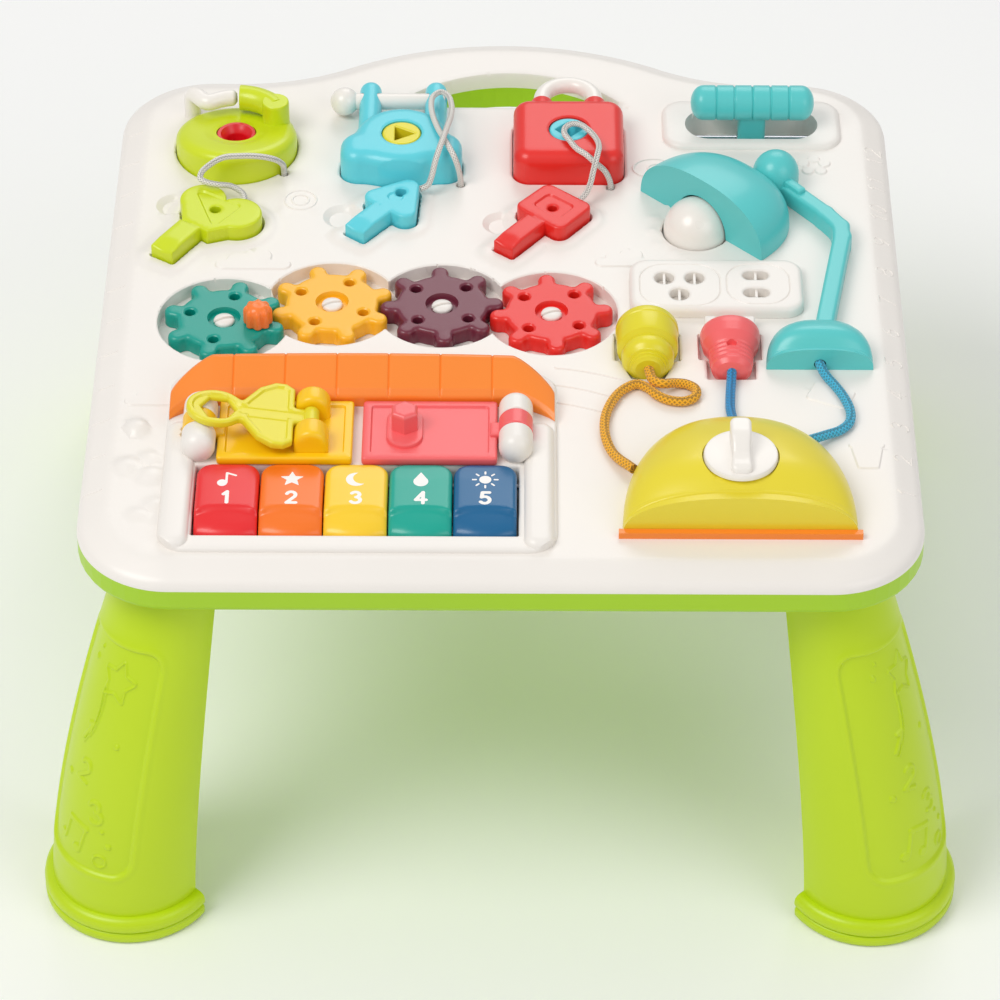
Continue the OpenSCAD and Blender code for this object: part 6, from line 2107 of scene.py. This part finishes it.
class DeskLamp:
    """The lamp: shade, joint, bent arm, foot and the bulb button under the shade."""

    SHADE, TURN = (105.6, 67.5), -44.5
    BULB = (103.0, 64.0)
    ARM = ((152, 94), (172, 69), (179.5, 57), (180, 48), (166, -32))

    def build(self) -> None:
        """Makes the pieces of the lamp."""
        a = np.radians(np.linspace(0, 90, 16))
        ball = np.stack([18.1 * np.cos(a), 1 + 18.1 * np.sin(a)], 1).tolist()
        room = lathe([(0, -6), (18.1, -6), *ball], (*self.BULB, DECK), n=72)
        dome = carve(half_dome((*self.SHADE, DECK + 0.05), 44, 46, 30, 2.4, self.TURN, 72, 24), room)
        e = np.radians(np.linspace(0, 90, 14))
        cap = np.stack([12.5 * np.cos(e), 9 + 13 * np.sin(e)], 1).tolist()
        knuckle = lathe([(0, 0), (12.5, 0), *cap], (147, 103, DECK + 0.05), n=64)
        collar = Relief(lambda x, y: rect(x, y, 156.6, 88.3, 12.6, 5.5, 1.4, -51.3),
                        lambda x, y, d: DECK + 12.4 - edge_drop(d, 1.4), plain(DECK + 0.1), (148, 80, 165, 97),
                        rings=(-0.3, -1.4), cell=0.4, fill=2)
        show("Lamp_shade", "table", join(dome, knuckle, collar.solid()), Finish.LAMP, "lamp_shade", sharp=32)

        def arm(x: Array, y: Array) -> Array:
            """Distance to the bent arm's outline.

            Args:
                x: The places' x values in millimetres.
                y: Their y values.

            Returns:
                The signed distances.
            """
            d = capsule(x, y, self.ARM[0], self.ARM[1], 4.6)
            for p, q in zip(self.ARM[1:], self.ARM[2:]):
                d = merge(d, capsule(x, y, p, q, 4.8), 1.5)
            return d

        bar = Relief(arm, lambda x, y, d: DECK + 10 - edge_drop(d, 2.0) - 3.2 * np.clip((y - 88) / 8, 0, 1),
                     plain(DECK + 0.1), (144, -38, 186, 100), rings=(-0.2, -0.6, -1.2, -2.0), cell=0.5, fill=2)
        show("Lamp_arm", "table", bar.solid(), Finish.LAMP, "lamp_arm")
        foot = HalfMoon((163.4, -55.0), 27.5, 29.0, 20.0, 2.6, 14.0, 2.0, 9.0)
        hole = rod((162.4, -46, DECK + 4), (163.9, -60, DECK + 3.6), 3.1, 24)
        solid = join(carve(foot.relief(0.5, foot.plan, 99, DECK + 0.05).solid(), hole), carve(foot.plate(0.5), hole))
        show("Lamp_base", "table", solid, Finish.LAMP, "lamp_base", sharp=32)
        bulb = np.stack([17.2 * np.cos(a), 1 + 17.2 * np.sin(a)], 1).tolist()
        show("Bulb_button", "bulb", lathe([(0, -1.6), (17.2, -1.6), *bulb], (*self.BULB, DECK), n=72), Finish.BUTTON,
             "bulb_button")


class Sockets:
    """The plate with three round and two long sockets, each crossed by a thin web."""

    ROUND = ((84.9, 14.4), (100.8, 14.5), (92.6, 0.7))
    LONG = ((132.9, 17.0), (132.9, 2.2))
    HIGH = DECK + 6

    def holes(self, x: Array, y: Array) -> Array:
        """All five sockets."""
        d = np.minimum.reduce([circle(x, y, *p, 5.2) for p in self.ROUND])
        return np.minimum(d, np.minimum.reduce([rect(x, y, *p, 13.8, 7.6, 3.7) for p in self.LONG]))

    def plan(self, x: Array, y: Array) -> Array:
        """Outline of the plate."""
        return np.maximum(rect(x, y, 112.2, 9.5, 91, 44, 10), -self.holes(x, y))

    def panels(self, x: Array, y: Array) -> Array:
        """The two rounded fields on the plate."""
        return np.minimum(rect(x, y, 93.0, 8.4, 42, 35, 13), rect(x, y, 134.0, 9.4, 33, 34, 13))

    def top(self, x: Array, y: Array, d: Array) -> Array:
        """Rounded edge, a shallow line round each field, and softened sockets.

        Args:
            x: The places' x values in millimetres.
            y: Their y values.
            d: Their distance to the outline; not used.

        Returns:
            The heights.
        """
        line = np.clip(1 - np.abs(self.panels(x, y)) / 0.55, 0, 1)
        lip = np.clip(1 - self.holes(x, y) / 0.8, 0, 1)
        return self.HIGH - edge_drop(rect(x, y, 112.2, 9.5, 91, 44, 10), 3) - 0.55 * line - 0.6 * lip * lip

    def build(self) -> None:
        """Makes the plate and the webs in its sockets."""
        plate = Relief(self.plan, self.top, plain(DECK + 0.15), (66, -13, 158, 32), rings=(-0.2, -0.7, -1.6, -3.0),
                       creases=((self.panels, (-0.5, 0.0, 0.5)),), cell=0.5, fill=2.6)
        webs = [Relief(lambda px, py: rect(px, py, x, y, 1.3, 11, 0.3), plain(self.HIGH - 1.6), plain(DECK + 0.15),
                       (x - 1, y - 6, x + 1, y + 6), cell=0.4, fill=3).solid() for x, y in self.ROUND + self.LONG]
        obj = make_object("Socket_plate", *join(plate.solid(), *webs), Finish.SHELL.value, 34.0)
        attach(obj, "table")


class Plugs:
    """The two toy plugs that lie in their recesses."""

    def build(self) -> None:
        """Makes both plugs, each turned about its axis and cut flat below."""
        a = np.radians(np.linspace(0, 80, 10))
        ball = np.stack([6.4 + 7.2 * np.cos(a), 25.2 + 6.2 * np.sin(a)], 1).tolist()
        body = [(0, 0), (14.6, 0), (15.8, 0.5), (16.3, 1.6), (16.3, 4.6), (15.9, 5.2), (15.9, 17.0), (15.4, 18.4),
                (13.8, 19.4), (12.4, 20.2), (13.0, 21.4), (13.7, 23.0), *ball[:6], (11.0, 30.2), (10.9, 31.0),
                (9.7, 31.4), (9.6, 32.4), (8.6, 32.8), (8.4, 33.8), (7.2, 34.4), (6.6, 34.9), (0, 34.9)]
        lemon = lathe(body, (75, -27.1, DECK + 4.7), (0, -1, 0), 72)
        floor = lambda low: lambda p: np.column_stack([p[:, :2], np.maximum(p[:, 2], low)])
        show("Yellow_plug", "plug_yellow", moved(lemon, floor(DECK - 3.6)), Finish.LEMON, "yellow_plug", sharp=30)
        y = np.linspace(0, 34.8, 240)
        rib = 0.45 * (1 - np.cos(2 * np.pi * (y - 17) / 3.1)) * step((y - 16.5) / 1) * (1 - step((y - 29) / 1.5))
        r = np.interp(y, [0, 1.2, 3, 6, 12, 15, 17, 20, 27, 31, 33.4, 34.8],
                      [13.6, 15.0, 15.5, 15.5, 14.6, 13.2, 12.2, 11.6, 11.2, 10.4, 8.2, 4.6]) - rib
        pink = lathe([(0, 0), *np.stack([r, y], 1).tolist(), (0, 34.8)], (118, -27.1, DECK + 2.7), (0, -1, 0), 72)
        squash = lambda p: np.column_stack(
            [p[:, :2], DECK + 2.7 + np.where(p[:, 2] > DECK + 2.7, 0.8, 1.0) * (p[:, 2] - DECK - 2.7)])
        pink = moved(moved(pink, squash), floor(DECK - 3.6))
        pink = carve(pink, lathe([(0, 6.5), (2.3, 6.5), (3.4, 14)], (118, -47.5, DECK + 2.7), n=28))
        show("Pink_plug", "plug_pink", pink, Finish.PINK, "pink_plug", sharp=30)
        nub = lathe([(0, 0), (4.2, 0), (4.2, 6), (3.4, 8.2), (1.8, 9.4), (0, 9.8)], (74.6, -21.6, DECK), n=28)
        prongs = [Relief(lambda px, py: rect(px, py, x, -22.2, 6.4, 7.4, 1.6),
                         lambda px, py, d: DECK + 7 - edge_drop(d, 1.5), plain(DECK + 0.1), (x - 4, -27, x + 4, -18),
                         rings=(-0.4, -1.5), cell=0.4, fill=2).solid()
                  for x in (108.0, 128.0)]
        obj = make_object("Plug_prongs", *join(nub, *prongs), Finish.SHELL.value, 34.0)
        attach(obj, "table")


class Timer:
    """The kitchen timer: housing, dial and pointer."""

    DIAL = (118.1, -158.5)

    def pointer(self, x: Array, y: Array, d: Array) -> Array:
        """High and flat at the back, falling in a saddle to the front.

        Args:
            x: The places' x values in millimetres.
            y: Their y values.
            d: Their distance to the outline.

        Returns:
            The heights.
        """
        v = y - self.DIAL[1]
        z = np.interp(v, [-16.5, -13, -9, -5, -1, 3, 6, 16.5], [262.4, 263.4, 263.6, 264.6, 267.2, 269.2, 269.8, 269.8])
        return z - edge_drop(d, 1.6)

    def build(self) -> None:
        """Makes the housing and the dial."""
        shell = HalfMoon((118.1, -184.4), 57.9, 79.8, 31.5, 2.3, 24.0, 4.6, 24.0)
        x, y = self.DIAL
        seat = lambda px, py: circle(px, py, x, y, 19.0)
        solid = shell.relief(0.7, seat, 26.9, DECK + 0.05).solid()
        front = shell.plate(0.6)
        holes = (((63, -136.6, DECK + 4.6), (72, -148, DECK + 6.6)), ((117.6, -102, DECK + 4.4), (119, -115, DECK + 6)),
                 ((158, -116.6, DECK + 5.3), (149, -122, DECK + 7)))
        solid = join(carve(solid, *[rod(a, b, 3.2, 24) for a, b in holes]), front)
        show("Timer_housing", "table", solid, Finish.TIMER, "timer_housing", sharp=30)
        waist = lambda px, py: rect(px, py, x, y, 10.5 - 1.6 * np.exp(-((py - y + 3) / 7) ** 2), 32.4, 3.4)
        fin = Relief(waist, self.pointer, plain(DECK + 30), (x - 6, y - 17, x + 6, y + 17), rings=(-0.3, -0.8, -1.6),
                     cell=0.4, fill=1.6)
        disc = lathe([(0, 27.3), (17.6, 27.3), (18.4, 27.9), (18.4, 29.6), (17.9, 30.5), (16.9, 30.8), (0, 30.8)],
                     (x, y, DECK), n=96)
        show("Timer_dial", "dial", join(disc, fin.solid()), Finish.BUTTON, "timer_dial")


class Lever:
    """The ribbed bar on a short stem."""

    def build(self) -> None:
        """Makes the bar and its stem."""
        s = np.linspace(0, 67.5, 271)
        ends = np.clip(1 - np.minimum(s, 67.5 - s) / 7.5, 0, 1)
        cuts = 9.9 * np.arange(-2, 3)
        slit = np.clip(1 - np.abs(s[:, None] - 33.75 - cuts).min(1) / 0.8, 0, 1)
        r = 9.6 * np.sqrt(np.maximum(1 - ends ** 2.3, 0.0004)) - 0.9 * slit
        bar = lathe([(0, 0), *np.stack([r, s], 1).tolist(), (0, 67.5)], (102.25, 155.5, 247), (1, 0, 0), 64)
        stem = Relief(lambda x, y: rect(x, y, 136, 155.5, 15, 10, 2.5), plain(243), plain(222), (128, 150, 144, 161),
                      cell=0.5, fill=3)
        hub = lathe([(0, 0), (5, 0), (5.5, 0.5), (5.5, 14.5), (5, 15), (0, 15)], (128.5, 155.5, 222), (1, 0, 0), 40)
        show("Lever", "lever_arm", join(bar, stem.solid(), hub), Finish.LAMP, "lever", sharp=40)


def make_right_side() -> None:
    """Builds everything on the right half of the table."""
    for piece in (DeskLamp(), Sockets(), Plugs(), Timer(), Lever()):
        piece.build()


# ------------------------------------------------------------------ legs


@dataclass(frozen=True)
class Leg:
    """A plug-in leg: a D-shaped column with a sunk, decorated panel and a beaded foot."""

    name: str
    corner: tuple[float, float]
    toward: float

    HALF_SPAN = 105.07

    def circle_at(self, z: Array) -> tuple[Array, Array]:
        """Distance of the section's centre from the corner, and the section's radius.

        With t the share of the height over the foot, the centre moves inward by
        18 + 29.7 t^1.45 and the radius shrinks as 40.2 - 13.7 t^1.7.
        """
        t = np.clip((z - 15) / 191, 0, 1)
        return 18 + 29.7 * t ** 1.45, 40.2 - 13.7 * t ** 1.7

    def motifs(self, s: Array, z: Array) -> Array:
        """Raised line work on the panel: a star with a tail, three numbers, dots and a note.

        Args:
            s: The places' position round the leg in millimetres.
            z: Their height.

        Returns:
            The signed distances.
        """
        star = np.abs(polygon(s, z, star_points((8, 150), 10.5, 5.6, 5, 80), 0.8)) - 0.6
        tail = strokes(s, z, [bow(-12, 138, 14, 30, -50, 20), bow(-16, 136, 16, 32, -54, 12)], 0.5)
        d = np.minimum(star, tail)
        for text, at, turn in (("1", (-5, 118), -30), ("2", (-2, 96), -12), ("3", (9, 76), 14)):
            d = np.minimum(d, number_field(s, z, text, at, 12.0, 1.1, turn))
        note = np.minimum(capsule(s, z, (-9, 52), (-6, 66), 0.9), capsule(s, z, (2, 50), (5, 64), 0.9))
        note = np.minimum(note, capsule(s, z, (-6, 66), (5, 64), 1.5))
        note = np.minimum(note, np.minimum(circle(s, z, -11, 52, 2.7), circle(s, z, 0, 50, 2.7)))
        spots = ((-13, 155, 1.6), (15, 116, 1.4), (-14, 88, 1.8), (18, 58, 1.5), (14, 66, 1.0), (-10, 162, 1.0))
        dots = np.minimum.reduce([circle(s, z, *spot) for spot in spots])
        ring = np.abs(circle(s, z, 14, 48, 3.4)) - 0.5
        return np.minimum.reduce([d, note, dots, ring])

    def sink(self, s: Array, z: Array) -> Array:
        """Depth below the round face: the sunk panel less its motifs, in millimetres.

        Args:
            s: The places' position round the leg in millimetres.
            z: Their height.

        Returns:
            The depths.
        """
        half = 33.0 - 3.0 * (165 - z) / 120
        edge = rect(s / half * 33, z, 0, 104.5, 66, 129, 11)
        panel = 1.5 * step(-edge / 1.8 + 0.2)
        roll = 0.35 * np.exp(-((edge - 1.6) / 1.6) ** 2)
        return panel - roll - 0.85 * (1 - step((self.motifs(s, z) + 0.35) / 0.7)) * (edge < -2)

    def ring(self, a: Array, c: Array, r: Array, z: Array) -> Array:
        """Points of D-shaped sections: an arc about the outward diagonal, closed by a chord.

        Args:
            a: Angles about the outward diagonal.
            c: Distance of the sections' centres from the corner.
            r: The radii.
            z: The heights.

        Returns:
            The points.
        """
        mid = math.radians(self.toward)
        back = math.cos(math.radians(self.HALF_SPAN))
        u = np.maximum(np.cos(a), back)
        v = np.where(np.cos(a) > back, np.sin(a), np.sin(a) * math.sin(math.radians(self.HALF_SPAN)) / np.maximum(
            np.abs(np.sin(a)), 1e-6) * np.clip((math.pi - np.abs(a)) / math.radians(180 - self.HALF_SPAN), 0, 1))
        cx = self.corner[0] - np.sign(math.cos(mid)) * c
        cy = self.corner[1] - np.sign(math.sin(mid)) * c
        return np.stack([cx + r * (u * math.cos(mid) - v * math.sin(mid)),
                         cy + r * (u * math.sin(mid) + v * math.cos(mid)), z + 0 * u], -1)

    def build(self) -> None:
        """Makes the leg and its foot."""
        fine = np.radians(np.linspace(-64, 64, 220))
        rest = np.radians(np.concatenate([np.linspace(66, 102, 14), [104.2, 105.07], np.linspace(107, 253, 12),
                                          [254.93, 255.8], np.linspace(258, 294, 14)]))
        a = np.concatenate([fine, rest])
        a = (a + math.pi) % (2 * math.pi) - math.pi
        z = np.concatenate([[10], np.linspace(16, 36, 12), np.linspace(37, 172, 340), np.linspace(174, 206.4, 12)])
        z2, a2 = np.meshgrid(z, a, indexing="ij")
        c, r = self.circle_at(z2)
        depth = np.where(np.abs(a2) < math.radians(66), self.sink(a2 * 36.0, z2), 0)
        column = skin(self.ring(a2, c, r - depth, z2))
        rows = [(43.8, 6.6), (44.9, 7.4), (45.2, 8.6), (45.3, 10.4), (44.9, 12.4), (43.8, 14.0), (42.2, 14.9),
                (40.6, 15.2), (39.6, 15.3)]
        bead = self.low_solid(rows, a)
        show(self.name, "table", join(column, bead), Finish.LEG, self.name.lower(), sharp=50)

    def low_solid(self, rows: Sequence[tuple[float, float]], a: Array) -> Solid:
        """A low D-shaped solid from rows of radius and height.

        Args:
            rows: The radius and height of each row.
            a: The angles round.

        Returns:
            The solid's points and faces.
        """
        r, z = np.array(rows).T
        n = len(a)
        return skin(self.ring(np.broadcast_to(a, (len(r), n)), np.full((len(r), n), 18.3),
                              np.repeat(r[:, None], n, 1), np.repeat(z[:, None], n, 1)))


def make_legs() -> None:
    """Builds the four legs and the caps under them."""
    coarse = (np.radians(np.linspace(0, 358, 180)) + math.pi) % (2 * math.pi) - math.pi
    rows = [(43.6, 0.02), (44.6, 0.5), (45.2, 1.6), (45.3, 4.6), (44.8, 5.9), (43.9, 6.4)]
    caps = []
    for name, corner, toward in (("Front_left_leg", (-210, -217.5), 225.0), ("Front_right_leg", (210, -217.5), 315.0),
                                 ("Back_left_leg", (-210, 206.5), 135.0), ("Back_right_leg", (210, 206.5), 45.0)):
        leg = Leg(name, corner, toward)
        leg.build()
        caps.append(leg.low_solid(rows, coarse))
    show("Foot_caps", "table", join(*caps), Finish.LEG, "foot_caps", sharp=50)


# ------------------------------------------------------------------ cords


@dataclass
class Cord:
    """A free braided cord: its route, its thickness and what is on its far end."""

    name: str
    body: str
    node: str
    finish: Finish
    diameter: float
    far_end: str
    route: Sequence[tuple[float, float, float]]
    pieces: tuple[str, ...] = ()

    def build(self) -> bpy.types.Object:
        """Returns:
            The cord's object.
        """
        line = spline(np.asarray(self.route) / MM)
        pts, faces, marks = sweep(line, self.diameter / MM / 2, 16)
        obj = make_object(self.name, pts, faces, self.finish.value, 60.0, marks)
        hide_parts(self.node)
        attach(obj, self.body)
        return obj


HEART_CORD = ((-0.119, 0.1135, 0.222), (-0.119, 0.1135, 0.231), (-0.1195, 0.107, 0.240),
              (-0.124, 0.1005, 0.248), (-0.132, 0.098, 0.2515), (-0.141, 0.0975, 0.252),
              (-0.1505, 0.098, 0.2505), (-0.1575, 0.0965, 0.247), (-0.162, 0.0935, 0.244),
              (-0.1625, 0.090, 0.2425), (-0.1595, 0.0875, 0.242), (-0.153, 0.0865, 0.241),
              (-0.146, 0.0885, 0.2385), (-0.140, 0.087, 0.235), (-0.1385, 0.082, 0.2335),
              (-0.139, 0.076, 0.2335))
TRIANGLE_CORD = ((-0.023, 0.104, 0.222), (-0.023, 0.104, 0.231), (-0.024, 0.1025, 0.240),
                 (-0.0265, 0.1035, 0.248), (-0.0305, 0.112, 0.2505), (-0.0355, 0.127, 0.2495),
                 (-0.0385, 0.139, 0.2495), (-0.0395, 0.149, 0.2495), (-0.0385, 0.157, 0.2495),
                 (-0.0345, 0.161, 0.2495), (-0.0305, 0.1575, 0.2495), (-0.0285, 0.149, 0.2495),
                 (-0.0285, 0.139, 0.250), (-0.030, 0.125, 0.2535), (-0.033, 0.110, 0.2535),
                 (-0.0365, 0.099, 0.248), (-0.0385, 0.0945, 0.241), (-0.0405, 0.093, 0.2365),
                 (-0.0445, 0.0915, 0.235))
SQUARE_CORD = ((0.058, 0.102, 0.222), (0.058, 0.102, 0.231), (0.055, 0.101, 0.240),
               (0.0495, 0.0995, 0.247), (0.0445, 0.103, 0.2498), (0.0395, 0.109, 0.2495),
               (0.0355, 0.117, 0.2495), (0.033, 0.123, 0.2495), (0.0335, 0.128, 0.2495),
               (0.037, 0.1315, 0.2495), (0.0415, 0.131, 0.2495), (0.046, 0.126, 0.2495),
               (0.050, 0.1185, 0.2495), (0.0515, 0.110, 0.2505), (0.0505, 0.100, 0.2515),
               (0.0485, 0.093, 0.247), (0.0465, 0.088, 0.2405), (0.0435, 0.084, 0.2365),
               (0.039, 0.080, 0.235))
YELLOW_CORD = ((0.0745, -0.055, 0.235), (0.0755, -0.063, 0.2345), (0.0775, -0.071, 0.2345),
               (0.082, -0.074, 0.235), (0.0885, -0.0705, 0.2325), (0.0945, -0.0705, 0.2317),
               (0.099, -0.0745, 0.2316), (0.0985, -0.0805, 0.2316), (0.0935, -0.084, 0.2316),
               (0.086, -0.0835, 0.2316), (0.0795, -0.0795, 0.2316), (0.0745, -0.0735, 0.2316),
               (0.069, -0.0705, 0.2316), (0.062, -0.075, 0.2316), (0.056, -0.085, 0.2316),
               (0.0525, -0.098, 0.2316), (0.0525, -0.112, 0.2316), (0.0555, -0.124, 0.2316),
               (0.059, -0.131, 0.2325), (0.063, -0.1366, 0.2336), (0.0662, -0.1409, 0.2342))
BLUE_CORD = ((0.118, -0.053, 0.234), (0.1178, -0.062, 0.233), (0.1172, -0.070, 0.2317),
             (0.1165, -0.080, 0.2316), (0.1162, -0.090, 0.2316), (0.1167, -0.096, 0.232),
             (0.1173, -0.1005, 0.2328), (0.1178, -0.1044, 0.2336))
LAMP_CORD = ((0.1625, -0.047, 0.233), (0.1635, -0.056, 0.2328), (0.166, -0.063, 0.2318),
             (0.1705, -0.0715, 0.2316), (0.1745, -0.081, 0.2316), (0.177, -0.092, 0.2316),
             (0.176, -0.1005, 0.2316), (0.171, -0.107, 0.2318), (0.164, -0.112, 0.233),
             (0.157, -0.117, 0.2345), (0.151, -0.121, 0.2355))


def make_cords() -> None:
    """Makes the six free cords."""
    for cord in (
        Cord("Heart_key_cord", "key_heart", "heart_key_cord", Finish.CORD_WHITE, 0.0032, "tool",
             HEART_CORD, ("Heart_key",)),
        Cord("Triangle_key_cord", "key_triangle", "triangle_key_cord", Finish.CORD_WHITE, 0.0032, "tool",
             TRIANGLE_CORD, ("Triangle_key",)),
        Cord("Square_key_cord", "key_square", "square_key_cord", Finish.CORD_WHITE, 0.0032, "tool",
             SQUARE_CORD, ("Square_key",)),
        Cord("Yellow_plug_cord", "plug_yellow", "yellow_plug_cord", Finish.CORD_YELLOW, 0.005, "object",
             YELLOW_CORD, ("Yellow_plug",)),
        Cord("Pink_plug_cord", "plug_pink", "pink_plug_cord", Finish.CORD_BLUE, 0.005, "object",
             BLUE_CORD, ("Pink_plug",)),
        Cord("Lamp_cord", "table", "lamp_cord", Finish.CORD_SKY, 0.005, "object", LAMP_CORD),
    ):
        cord.build()


SLOTS = {f.value.slot: f for f in reversed(Finish) if f.value.slot}


def dress_nodes() -> None:
    """Gives every CAD node the finish of its material slot."""
    for part in frame["record"]["subparts"]:
        obj = frame["nodes"][part["node"]]
        obj.data.materials.clear()
        obj.data.materials.append(SLOTS[part["material_slot"]].value.material())


def main() -> None:
    """Builds the whole scene."""
    logging.basicConfig(level=logging.INFO, format="%(message)s")
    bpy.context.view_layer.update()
    View().build()
    Studio().build()
    dress_nodes()
    TableTop().build()
    make_house()
    make_gears()
    make_locks()
    make_keys()
    make_right_side()
    make_legs()
    make_cords()


if __name__ == "__main__":
    main()
